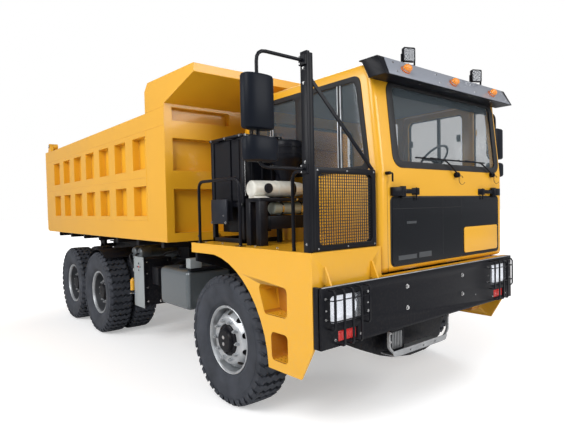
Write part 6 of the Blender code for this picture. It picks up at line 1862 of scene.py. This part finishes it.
@dataclass
class Cooler:
    """The black cooler stack: core, lipped lid, corner posts, side panels and a switch box."""

    right: float = -1.38
    left: float = -0.85
    front: float = -2.84
    rear: float = -2.2
    low: float = 2.1
    top: float = 2.86
    bar: float = 0.05
    box_face: float = -1.48
    box_ys: Pair = (-2.66, -2.34)
    box_zs: Pair = (1.9, 2.17)

    def build(self) -> None:
        """Make the stack and its fittings."""
        right, left, front, rear = self.right, self.left, self.front, self.rear
        low, top, bar = self.low, self.top, self.bar
        body = Shape().box((right + 0.02, front + 0.02, low), (left - 0.02, rear - 0.02, top - 0.03), 0.006, 2)
        body.boxes([(x, y, DECK_FLOOR, x + bar, y + bar, top - 0.02) for x in (right, left - bar)
                    for y in (front, rear - bar)], 0.004, 2)
        for z in (DECK_FLOOR, low - 0.02):
            body.boxes([(right, front, z, left, front + bar, z + bar), (right, rear - bar, z, left, rear, z + bar),
                        (right, front, z, right + bar, rear, z + bar)], 0.004, 2)
        body.box((right - 0.012, front - 0.012, top - 0.03), (left + 0.012, rear + 0.012, top), 0.006, 2)
        body.box((right + 0.08, front + 0.1, low - 0.3), (left - 0.08, rear - 0.1, low), 0.01, 2)
        piece("cooler_case", body, BLACK, "chassis", "cooler_stack")
        fins = Shape().boxes([(right + 0.008, first, low + 0.05, right + 0.022, last, top - 0.05)
                              for first, last in ((front + 0.08, front + 0.22), (front + 0.26, rear - 0.07))],
                             0.004)
        fins.boxes([(right - 0.004, y - 0.008, low + 0.02, right + 0.022, y + 0.008, top - 0.03)
                    for y in (front + 0.24, rear - 0.06)], 0.003)
        fins.boxes([(x - 0.012, front + 0.004, low + 0.05, x + 0.012, front + 0.022, top - 0.05)
                    for x in (right + 0.13, right + 0.27, right + 0.4)], 0.004)
        piece("cooler_panels", fins, CHASSIS)
        self.handles()
        self.switch_box()

    def handles(self) -> None:
        """Add the lid's handles, latches and the rod along the corner."""
        right, front, rear, top = self.right, self.front, self.rear, self.top
        handles, grip = Shape(), top - 0.05
        for y in (front + 0.12, rear - 0.22):
            handles.tube([(right - 0.008, y, grip), (right - 0.045, y, grip), (right - 0.045, y + 0.12, grip),
                          (right - 0.008, y + 0.12, grip)], 0.007, 8, 0.02)
        handles.tube([(right + x, front - y, top - 0.06) for x, y in ((0.1, 0.01), (0.1, 0.05), (0.35, 0.05),
                                                                      (0.35, 0.01))], 0.008, 8, 0.02)
        piece("cooler_handles", handles, BLACK)
        bolts = Shape()
        for y in (front + 0.03, (front + rear) / 2, rear - 0.03):
            bolts.bolt((right - 0.012, y, top - 0.016), Axis.X, -1, 0.011)
            bolts.bolt((right, y, self.low + 0.01), Axis.X, -1, 0.008)
        bolts.bolts([(x, front - 0.012, top - 0.016) for x in (right + 0.03, self.left - 0.03)], Axis.Y, -1, 0.011)
        bolts.rod((right + 0.025, front - 0.006, 2.2), (right + 0.025, front - 0.006, 2.72), 0.006, 8)
        piece("cooler_bolts", bolts, STEEL)

    def switch_box(self) -> None:
        """Hang the small box with its bright screws at the stack's right."""
        face, (first, last), (low, high) = self.box_face, self.box_ys, self.box_zs
        box = Shape().box((face, first, low), (face + 0.03, last, high), 0.008, 2)
        box.box((face + 0.028, first + 0.03, low + 0.03), (self.right, last - 0.03, high - 0.02), 0.004)
        piece("switch_box", box, SWITCH_GREY)
        screws = Shape().bolts([(face, y, low + 0.015) for y in (first + 0.02, last - 0.02)], Axis.X, -1, 0.012)
        piece("switch_box_screws", screws.bolt((face, first + 0.06, low + 0.09), Axis.X, -1, 0.007), STEEL)


@dataclass
class Silencer:
    """The pale silencer across the deck, the shelf and the lower pale drum."""

    y: float = -3.14
    z: float = 2.26
    radius: float = 0.085
    right: float = -1.5
    left: float = -0.8
    lower_z: float = 2.06

    def build(self) -> None:
        """Make the drums, the shelf, its posts and straps."""
        y, right, radius = self.y, self.right, self.radius
        profile = [(0, 0), (0.07, 0), (0.079, 0.004), (radius, 0.014), (radius, 0.3), (radius + 0.003, 0.305),
                   (radius + 0.003, 0.32), (radius, 0.325), (radius, 0.56), (radius - 0.006, 0.57),
                   (radius - 0.012, 0.64), (0.06, 0.68), (0.04, 0.7), (0, 0.7)]
        drum = Shape().spun(profile, (right, y, self.z), Axis.X, 40)
        drum.plate([(y - 0.08, 2.185), (y - 0.15, 2.168), (y + 0.05, 2.168), (y + 0.05, 2.2)],
                   facing_x(right + 0.01), 0.12, bevel=0.004)
        piece("silencer_drum", drum, CREAM, "chassis", "silencer", smooth=22)
        cap = Shape()
        for rows in ([(0, 0), (0.05, 0), (0.05, 0.014), (0.046, 0.02), (0, 0.02)],
                     [(0, 0.018), (0.034, 0.018), (0.032, 0.024), (0, 0.024)]):
            cap.spun(rows, (right + 0.16, y - radius + 0.003, self.z + 0.004), Axis.Y, 28, -1)
        piece("silencer_cap", cap, CHASSIS)
        shelf = Shape().boxes([(right + 0.02, y - 0.13, 2.13, self.left, y + 0.12, 2.165),
                               (right + 0.02, y - 0.13, DECK_FLOOR, right + 0.11, y - 0.05, 2.14)], 0.004, 2)
        shelf.box((right + 0.17, y - 0.1, 1.85), (self.left - 0.06, y + 0.08, 1.985), 0.006, 2)
        shelf.box((right + 0.02, y + 0.04, DECK_FLOOR), (right + 0.1, y + 0.12, 2.14), 0.004, 2)
        shelf.spun(band(radius + 0.0005, radius + 0.005, 0, 0.03), (right + 0.5, y, self.z), Axis.X, 40)
        piece("silencer_shelf", shelf, BLACK)
        lower = Shape().spun([(0, 0), (0.055, 0), (0.066, 0.012), (0.066, 0.44), (0.055, 0.452), (0, 0.452)],
                             (right + 0.24, y - 0.02, self.lower_z), Axis.X, 32)
        piece("lower_drum", lower, SAGE)
        straps = Shape()
        for along in (0.34, 0.6):
            straps.spun(band(0.0662, 0.07, 0, 0.022), (right + along, y - 0.02, self.lower_z), Axis.X, 28)
        piece("lower_drum_straps", straps.bolt((right + 0.5, y - 0.13, 2.148), Axis.Y, -1, 0.01), STEEL)


@dataclass
class AirCleaner:
    """The black air cleaner: a drum over a funnel, with its clamp and leg."""

    place: Point = (-1.0, -3.09, 2.36)
    profile: Pairs = (
        (0, 0), (0.07, 0), (0.075, 0.01), (0.085, 0.05), (0.18, 0.2), (0.198, 0.225), (0.2, 0.24), (0.2, 0.33),
        (0.194, 0.338), (0.2, 0.345), (0.2, 0.38), (0.19, 0.4), (0.16, 0.412), (0, 0.416))

    def build(self) -> None:
        """Spin the drum and its funnel."""
        x, y, z = self.place
        shape = Shape().spun(self.profile, self.place, Axis.Z, 48)
        shape.rod((x, y + 0.12, DECK_FLOOR), (x, y + 0.12, z + 0.2), 0.03, 14)
        shape.tube([(x, y, z + 0.01), (x, y, z - 0.06), (x, y + 0.12, z - 0.12)], 0.055, 14, 0.05)
        piece("air_cleaner_drum", shape, BLACK, "chassis", "air_cleaner")
        clamp = Shape().spun(band(0.2, 0.206, 0.27, 0.295), self.place, Axis.Z, 48)
        clamp.spun(band(0.2, 0.2045, 0.333, 0.345), self.place, Axis.Z, 48)
        for angle in (200, 250, 300):
            turn = math.radians(angle)
            out = Vector((math.cos(turn), math.sin(turn), 0))
            foot = Vector(self.place) + out * 0.203 + Vector((0, 0, 0.31))
            clamp.rod(foot, foot + Vector((0, 0, 0.05)) + out * 0.006, 0.006, 8)
        piece("air_cleaner_clamps", clamp, CHASSIS)


@dataclass
class Fenders:
    """The right deck and the left fender, with their step treads, bolts and seam."""

    rows: tuple[tuple[float, float, float], ...] = ((1.094, 0.737, 1.366), (0.69, 0.644, 0.948))
    front: float = -3.845
    depth: float = 0.19
    rim: float = 0.012

    def inside(self, place: Point) -> bool:
        """Tell whether a point of the deck lies inside one of its steps.

        Args:
            place: The point.

        Returns:
            Whether it is inside.
        """
        x, y, z = place
        return HALF_WIDTH - 0.6 < abs(x) < HALF_WIDTH - self.rim and any(
            low - 0.01 < z < high + 0.01 and self.front - 0.01 < y < NOSE_Y + rear + 0.01
            for low, rear, high in self.rows)

    def build(self) -> None:
        """Paint shade onto the insides of the steps, lay their perforated treads over a black sheet of painted
        shade and fit the bolts.
        """
        for name, node in (("deck_body", "deck_right"), ("fender_body", "fender_left")):
            made = refined(name, node, YELLOW, smooth=12)
            # The faces inside the steps take the second slot, a darker yellow of painted shade.
            made.data.materials.append(PAINTED_SHADE_AND_SEAM.material())
            for face in made.data.polygons:
                face.material_index = int(self.inside(face.center))
        treads, under = Shape(), Shape()
        for side in Side:
            for low, rear, _ in self.rows:
                first, last = self.front + self.rim, NOSE_Y + rear - self.rim
                inner, outer = side.value * (HALF_WIDTH - self.depth), side.value * (HALF_WIDTH - self.rim)
                outline = [(inner, first), (outer, first), (outer, last), (inner, last)]
                holes = []
                columns = int((last - first) / 0.045)
                for row in range(3):
                    x = side.value * (HALF_WIDTH - 0.045 - row * 0.05)
                    for column in range(columns):
                        y = first + 0.03 + column * (last - first - 0.05) / max(columns - 1, 1)
                        holes.append(circle(x, y, 0.0125, 8))
                treads.plate(outline, facing_z(low + 0.003), 0.004, holes)
                # A thin black sheet under each tread: painted shade that darkens the tread's holes.
                under.plate(outline, facing_z(low + 0.0008), 0.001)
        piece("step_treads", treads, YELLOW)
        piece("step_tread_shade", under, SEAL)
        bolts = Shape().bolts([(-1.5, y, DECK_TOP) for y in (-3.95, -3.55, -3.2, -2.6, -2.25)], Axis.Z, 1, 0.011)
        bolts.bolts([(1.56, y, 1.4) for y in (-4.05, -3.7, -3.35, -2.95)], Axis.Z, 1, 0.01)
        piece("deck_bolts", bolts, STEEL)
        piece("deck_seams", Shape().box((-0.765, -4.1715, 1.43), (-0.762, -4.169, 1.68)), PAINTED_SHADE_AND_SEAM)


@dataclass
class SideTanks:
    """Fuel tank, battery box, plate box and air tank with their caps, bolts and plates."""

    front: float = -1.77
    rear: float = -0.98
    low: float = 0.81
    top: float = 1.31
    ports: Pair = (-0.29, 1.24)
    port: float = 0.0125
    cap_xs: Pair = (-1.38, 1.36)
    shelf: Point = (-1.49, -0.02, 0.86)

    def build(self) -> None:
        """Make the tanks' finer copies and their fittings."""
        for name, node, finish, bevel in (("fuel_tank_shell", "fuel_tank", TANK, 0.008),
                                          ("battery_case", "battery_box", TANK, 0.008),
                                          ("plate_box_case", "plate_box", CHASSIS, 0.004),
                                          ("air_tank_shell", "air_tank", CHASSIS, 0.0)):
            refined(name, node, finish, bevel=bevel)
        foot, y = [(0, 0), (0.05, 0), (0.05, 0.01), (0.044, 0.014)], self.front + 0.35
        caps = Shape().spun(foot + [(0.044, 0.04), (0.04, 0.046), (0, 0.046)], (self.cap_xs[0], y, self.top),
                            Axis.Z, 28)
        caps.spun(foot + [(0.044, 0.03), (0, 0.03)], (self.cap_xs[1], y, self.top), Axis.Z, 28)
        piece("tank_caps", caps, BLACK)
        bolts = Shape().bolt((-1.2, self.front, self.low + 0.03), Axis.Y, -1, 0.012)
        piece("tank_bolts", bolts.bolt((-1.5, self.rear - 0.03, self.low + 0.03), Axis.X, -1, 0.012), STEEL)
        small = Shape().box((-1.47, self.front - 0.03, self.top + 0.03),
                            (-1.31, self.front + 0.08, self.top + 0.15), 0.006, 2)
        piece("light_small_box", small, PALE_GREY)
        bracket = Shape().boxes([(x, self.front - 0.02, self.top, -0.95, self.front + 0.05, self.top + tall)
                                 for x, tall in ((-1.46, 0.035), (-1.02, 0.16))], 0.003)
        piece("small_box_bracket", bracket, CHASSIS)
        self.plate_box()
        self.bottle()

    def plate_box(self) -> None:
        """Add the grey side plate with four dark ports round a red one, and the front's bolts."""
        middle_y, middle_z = self.ports
        spots = [(middle_y + y, middle_z + z) for y, z in ((0, 0.05), (0, -0.05), (0.05, 0), (-0.05, 0), (0, 0))]
        plate = Shape().plate(rounded((-0.468, 0.652), (-0.112, 1.388), 0.006), facing_x(-1.5025), 0.0022,
                              [circle(y, z, 0.014, 12) for y, z in spots], bevel=0.0006)
        piece("side_plate", plate, PALE_GREY)
        ports = Shape()
        for y, z in spots[:4]:
            ports.rod((-1.5012, y, z), (-1.505, y, z), self.port, 14)
        piece("side_plate_ports", ports, CHASSIS)
        red = Shape().rod((-1.5012, middle_y, middle_z), (-1.508, middle_y, middle_z), self.port, 14, bevel=0.002)
        piece("side_plate_red_port", red, RED_LENS)
        bolts = Shape().bolts([(x, -0.47, z) for z in (0.75, 0.95, 1.15, 1.32) for x in (-1.45, -1.12)], Axis.Y,
                              -1, 0.01)
        bolts.bolts([(-1.5025, y, z) for y in (-0.44, -0.14) for z in (0.68, 1.36)], Axis.X, -1, 0.006)
        piece("plate_box_bolts", bolts, STEEL)

    def bottle(self) -> None:
        """Stand the yellow bottle with its valves behind the plate box."""
        bottle = Shape().spun([(0, 0), (0.03, 0), (0.036, 0.006), (0.036, 0.15), (0.03, 0.165), (0.014, 0.175),
                               (0.014, 0.19), (0, 0.19)], self.shelf, Axis.Z, 20)
        piece("yellow_bottle", bottle, YELLOW)
        base = Shape().boxes([(-1.52, -0.11, 0.845, -1.2, 0.015, 0.86), (-1.49, -0.115, 1.12, -1.4, -0.05, 1.15)],
                             0.003)
        base.tube([(-1.3, -0.06, 0.86), (-1.3, -0.06, 1.0), (-1.2, -0.06, 1.1), (-1.0, -0.1, 1.18),
                   (-0.6, -0.1, 1.2)], 0.014, 8, 0.05)
        piece("bottle_shelf", base, CHASSIS)
        blue = Shape().rod((-1.46, -0.04, 0.8), (-1.46, -0.04, 0.845), 0.018, 10)
        piece("blue_valves", blue.rod((-1.41, -0.05, 1.15), (-1.41, -0.05, 1.18), 0.014, 10), VALVE_BLUE)
        silver = Shape()
        for start, end, radius in (((-1.47, -0.03, 1.15), (-1.47, -0.03, 1.2), 0.012),
                                   ((-1.49, -0.09, 0.83), (-1.56, -0.09, 0.83), 0.008),
                                   ((-1.46, -0.08, 1.02), (-1.5, -0.08, 1.02), 0.01)):
            silver.rod(start, end, radius, 10)
        piece("silver_valves", silver, STEEL)


@dataclass
class RunningGear:
    """Frame, axles, springs, engine and what hangs between them."""

    rail: float = 0.449
    guard_y: float = 1.24
    cylinder_ys: Pair = (0.14, 0.37)
    cylinder_z: float = 1.39
    routes: tuple[tuple, ...] = (
        (0.013, 0.05, (-1.32, 0.14, 1.39), (-1.38, 0.12, 1.39), (-1.38, 0.05, 1.3), (-1.3, -0.05, 1.22),
         (-1.2, -0.08, 1.1)),
        (0.013, 0.05, (-1.32, 0.37, 1.39), (-1.38, 0.37, 1.36), (-1.36, 0.3, 1.2), (-1.2, 0.2, 1.14),
         (-0.6, 0.1, 1.2)),
        (0.016, 0.08, (-0.47, -0.9, 1.34), (-0.6, -0.7, 1.42), (-0.9, -0.55, 1.46), (-1.1, -0.4, 1.43),
         (-1.1, -0.3, 1.39)),
        (0.013, 0.08, (-0.47, -0.6, 1.2), (-0.7, -0.65, 1.28), (-1.0, -0.6, 1.3), (-1.1, -0.46, 1.2)),
        (0.022, 0.1, (-0.47, -1.9, 1.3), (-0.8, -1.95, 1.45), (-1.1, -2.0, 1.5), (-1.15, -2.3, 1.55),
         (-1.15, -2.4, 1.66)),
        (0.016, 0.08, (0.47, -0.9, 1.34), (0.7, -0.5, 1.4), (0.95, -0.1, 1.36), (1.1, 0.0, 1.3)))

    def build(self) -> None:
        """Dress the chassis nodes and add bolts, hoses, guards and cylinders."""
        for finish, nodes in ((CHASSIS, ("frame", "front_axle", "axle_mid", "axle_rear", "bogie_springs")),
                              (IRON, ("engine", "knuckle_right", "knuckle_left")), (CHASSIS, ("hoist_barrel",)),
                              (STEEL, ("hoist_sleeve_1", "hoist_sleeve_2", "hoist_rod"))):
            for node in nodes:
                refined(node + "_fine", node, finish, node if node.startswith(("knuckle", "hoist")) else "chassis")
        self.mudguards()
        self.cylinders()
        self.bolts()

    def mudguards(self) -> None:
        """Curve a black mudguard over each pair of middle tyres."""
        shape = Shape()
        turns = [(radius, math.radians(angle)) for radius, angles in
                 ((0.735, range(56, 133, 6)), (0.727, range(128, 55, -6))) for angle in angles]
        outline = [(self.guard_y - radius * math.cos(turn), AXLE_Z + radius * math.sin(turn))
                   for radius, turn in turns]
        for side in Side:
            first, last = sorted((side.value * 0.86, side.value * 1.6))
            shape.plate(outline, facing_x(first), last - first, bevel=0.002)
            for y in (1.0, 1.5):
                shape.boxes([(side.value * 0.44, y - 0.02, 1.37, side.value * 0.9, y + 0.02, 1.39),
                             (side.value * 0.86, y - 0.02, 1.36, side.value * 0.9, y + 0.02, 1.4)], 0.003)
        piece("mudguards", shape, CHASSIS)

    def cylinders(self) -> None:
        """Hang the two small air cylinders and the hoses over the right plate box."""
        shape = Shape()
        profile = [(0, 0), (0.05, 0.004), (0.09, 0.022), (0.105, 0.05), (0.105, 0.6), (0.09, 0.628), (0.05, 0.646),
                   (0, 0.65)]
        for y in self.cylinder_ys:
            shape.spun(profile, (-1.32, y, self.cylinder_z), Axis.X, 28)
        shape.box((-1.2, 0.1, 1.26), (-0.46, 0.42, 1.285), 0.004)
        for x in (-1.15, -0.8):
            for y in self.cylinder_ys:
                shape.spun(band(0.1055, 0.11, 0, 0.03), (x, y, self.cylinder_z), Axis.X, 28)
        piece("air_cylinders", shape, TANK)
        hoses = Shape()
        for radius, bend, *points in self.routes:
            hoses.tube(points, radius, 8, bend)
        piece("air_hoses", hoses, SEAL)
        boxes = Shape().boxes([(-0.95, -0.8, 1.34, -0.55, -0.5, 1.52), (-1.4, -0.72, 1.0, -1.08, -0.52, 1.25)],
                              0.01, 2)
        piece("valve_boxes", boxes.box((-1.1, -0.9, 1.16), (-0.46, -0.5, 1.19), 0.004), CHASSIS)

    def bolts(self) -> None:
        """Rivet the rails, bolt the hangers and clip the springs' leaves."""
        rivets, clips = Shape(), Shape()
        for side in Side:
            for index in range(26):
                for z in (1.11, 1.35):
                    y = -3.9 + index * 0.3
                    rivets.rod((side.value * self.rail, y, z), (side.value * (self.rail + 0.01), y, z), 0.013, 8,
                               0.009)
            clips.boxes([(side.value * 0.398, y - 0.02, AXLE_Z + 0.04, side.value * 0.502, y + 0.02, AXLE_Z + 0.05)
                         for y in (FRONT_AXLE_Y + shift for shift in (-0.3, -0.18, 0.18, 0.3))], 0.002)
        piece("rail_rivets", rivets, CHASSIS)
        bright = Shape().bolts([(-0.452, y, z) for y in (-0.85, -0.6, -0.2, 0.05) for z in (1.3, 1.16)], Axis.X,
                               -1, 0.016)
        piece("hanger_bolts", bright, STEEL)
        piece("spring_clips", clips, IRON)


@dataclass
class DumpBody:
    """The body's finer copy with its weld lines, front bands and bolts."""

    low: float = 1.66
    front: float = -1.56
    bead: float = 0.0042
    pockets: int = 7
    pitch: float = 0.69
    wide: float = 0.417
    rows: Pairs = ((1.99, 2.39), (2.62, 3.05))

    def build(self) -> None:
        """Dress the body and lay its welds and bands."""
        refined("body_shell", "dump_body", BODY_YELLOW, "bed", 0.006, 20, self.low - 0.003)
        welds, bands, bolts = Shape(), Shape(), Shape()
        for side in Side:
            x, deep = side.value * HALF_WIDTH, side.value * (HALF_WIDTH - 0.097)
            runs = [((x, -1.0, z), (x, 4.02, z)) for z in (1.93, 2.505, 3.12)]
            runs += [((x, -1.0, 1.93), (x, -1.0, 3.12)), ((x, self.front + 0.03, 3.12), (x, -1.0, 3.12)),
                     ((x, self.front + 0.02, 3.345), (x, -1.02, 3.345))]
            for index in range(self.pockets):
                y = -0.97 + index * self.pitch
                for low, high in self.rows:
                    foot, end = low + 0.003, y + self.wide
                    runs += [((deep, y + 0.003, foot), (deep, end, foot)),
                             ((deep, end, foot), (deep, end, high - 0.003))]
            for start, end in runs:
                welds.rod(start, end, self.bead, 6)
            bands.box((side.value * (HALF_WIDTH - 0.012), self.front - 0.0005, self.low + 0.01),
                      (x + side.value * 0.002, self.front + 0.01, 3.3), 0.001)
            bolts.bolts([(side.value * 0.3995, y, 1.64) for y in (3.2, 3.6)], Axis.Z, -1, 0.016)
        piece("body_welds", welds, BODY_YELLOW, "bed")
        piece("body_front_bands", bands, BODY_YELLOW, "bed")
        bolts.bolts([(x, self.front, 1.72) for x in (-1.2, -0.9, 0.9, 1.2)], Axis.Y, -1, 0.016)
        piece("body_bolts", bolts, STEEL, "bed")


@dataclass
class Gate:
    """The tailgate's finer copy, its rubber lip, pin caps and bolts."""

    pin: Pair = (4.044, 3.47)
    cap: float = 1.625

    def build(self) -> None:
        """Make the gate and its fittings."""
        refined("gate_shell", "tailgate", BODY_YELLOW, "gate", 0.006, 20)
        caps = Shape()
        for side in Side:
            end = (side.value * self.cap, *self.pin)
            caps.rod((side.value * (self.cap - 0.008), *self.pin), end, 0.034, 20, bevel=0.002)
            caps.bolt(end, Axis.X, side.value, 0.014)
        piece("gate_pin_caps", caps, STEEL, "gate")
        piece("gate_lip", Shape().box((-1.6, 4.172, 1.682), (1.6, 4.178, 1.72), 0.002), SEAL, "gate")


@dataclass
class Pad:
    """A crowned, sewn pad, drawn about its middle."""

    wide: float
    long: float
    thick: float
    crown: float = 0.03
    steps: int = 22
    channels: Row = (-0.5, 0.5)

    def shape(self, place: Matrix) -> Shape:
        """Crown a fine block, pull its sides in and press its channels.

        Args:
            place: Where the pad goes.

        Returns:
            The pad.
        """
        shape = Shape()
        mesh = shape.mesh
        bmesh.ops.create_cube(mesh, size=2)
        bmesh.ops.subdivide_edges(mesh, edges=mesh.edges[:], cuts=self.steps, use_grid_fill=True)
        for corner in mesh.verts:
            x, y, z = corner.co
            swell = (1 - x ** 4) * (1 - y ** 4)
            pull = ((1 - 0.05 * (1 - z * z) * (abs(x * y) ** 6) - 0.03 * abs(z) ** 6)
                    * (1 - 0.035 * (abs(x) ** 8) * (abs(y) ** 8)))
            seam = sum(math.exp(-((x - channel) / 0.035) ** 2) for channel in self.channels)
            rise = self.crown * swell * (1 - 0.35 * seam) if z > 0 else 0.0
            height = self.thick / 2 * (1 - 0.18 * max(abs(x), abs(y)) ** 10) + rise
            corner.co = (x * self.wide / 2 * pull, y * self.long / 2 * pull, z * height)
        bmesh.ops.smooth_vert(mesh, verts=mesh.verts, factor=0.5, use_axis_x=True, use_axis_y=True, use_axis_z=True)
        bmesh.ops.transform(mesh, matrix=place, verts=mesh.verts)
        return shape

    def piping(self, place: Matrix, lift: float) -> Shape:
        """Run the sewn piping round the pad's upper edge, at a height over its middle.

        Args:
            place: Where the pad is.
            lift: The piping's height over the pad's middle.

        Returns:
            The piping.
        """
        x, y = self.wide / 2 * 0.965, self.long / 2 * 0.965
        loop = [place @ Vector((*corner, lift)) for corner in rounded((-x, -y), (x, y), 0.03, 5)]
        return Shape().tube(loop + [loop[0]], 0.005, 8)


@dataclass
class CabInside:
    """The seat, dash, ceiling, floor mat and trim that show through the glass."""

    driver_x: float = 1.0
    floor: float = 1.478

    def build(self) -> None:
        """Make every inside piece."""
        refined("dash_body", "dash_and_steering", DASH_GREY)
        self.seat()
        piece("ceiling_lining", Shape().box((-0.675, -3.96, 3.335), (1.56, -2.05, 3.37), 0.01, 2), CEILING_GREY)
        piece("floor_mat", Shape().box((-0.67, -3.8, self.floor), (1.55, -2.03, self.floor + 0.006), 0.002), SEAL)
        piece("rear_locker", Shape().box((-0.6, -2.32, self.floor), (0.5, -2.03, 2.2), 0.03, 3), DASH_GREY)
        gauge = Shape().box((0.62, -4.02, 2.38), (1.42, -3.84, 2.47), 0.025, 3)
        piece("dash_cowl", gauge.box((0.3, -4.05, 2.3), (0.55, -3.82, 2.44), 0.02, 3), DASH_GREY)

    def seat(self) -> None:
        """Make the padded seat on its plinth, with the headrest's posts."""
        x = self.driver_x
        plinth = Shape().box((x - 0.17, -3.22, 1.4776), (x + 0.17, -2.8, 1.9), 0.015, 2)
        plinth.box((x - 0.23, -3.28, 1.9), (x + 0.23, -2.78, 1.95), 0.01, 2)
        piece("seat_plinth", plinth, CHASSIS, "chassis", "driver_seat")
        for name, pad, y, z, tilt, finish in (
                ("seat_cushion", Pad(0.47, 0.5, 0.1, 0.026), -3.05, 2.0, 0.0, SEAT_CLOTH),
                ("seat_backrest", Pad(0.47, 0.5, 0.1, 0.024), -2.82, 2.31, math.pi / 2, SEAT_CLOTH),
                ("seat_headrest", Pad(0.27, 0.14, 0.09, 0.016, 16, ()), -2.82, 2.655, math.pi / 2, HEAD_CLOTH)):
            place = Matrix.Translation((x, y, z)) @ Matrix.Rotation(tilt, 4, "X")
            piece(name, pad.shape(place), finish, smooth=60)
            piece(name + "_piping", pad.piping(place, pad.thick * 0.42), SEAL, smooth=60)
        posts = Shape()
        for shift in (-0.05, 0.05):
            posts.rod((x + shift, -2.815, 2.54), (x + shift, -2.815, 2.62), 0.007, 10)
        piece("headrest_posts", posts, STEEL)


@dataclass
class Door:
    """The left door's finer copy with its ribs and lock."""

    rib_zs: Pair = (1.9, 1.62)

    def build(self) -> None:
        """Make the door and its fittings."""
        refined("door_shell", "cab_door", YELLOW, "door", 0.004)
        lock = Shape().spun([(0, 0), (0.018, 0), (0.018, 0.004), (0.014, 0.007), (0, 0.007)],
                            (CAB_LEFT, -2.88, 2.03), Axis.X, 20)
        piece("door_lock", lock, STEEL, "door")
        ribs = Shape().boxes([(CAB_LEFT - 0.001, -3.68, z, CAB_LEFT + 0.004, -2.8, z + 0.015)
                              for z in self.rib_zs], 0.002, 2)
        piece("door_ribs", ribs, YELLOW, "door")


def main() -> None:
    """Dress the truck and stand it on its stage."""
    logging.basicConfig(level=logging.INFO, format="%(message)s")
    Studio().build()
    Wheels().build()
    RunningGear().build()
    Bumper().build()
    for side in Side:
        FrontLamps(side).build()
    TowStep().build()
    Fenders().build()
    CabInside().build()
    CabFront().build()
    Glazing().build()
    Door().build()
    LampVisor().build()
    MeshGuard().build()
    Mirrors(Side.RIGHT, -4.11, 1.64).build()
    Mirrors(Side.LEFT, -3.84, 1.631).build()
    DeckRail().build()
    Cooler().build()
    Silencer().build()
    AirCleaner().build()
    SideTanks().build()
    DumpBody().build()
    Gate().build()


if __name__ == "__main__":
    main()
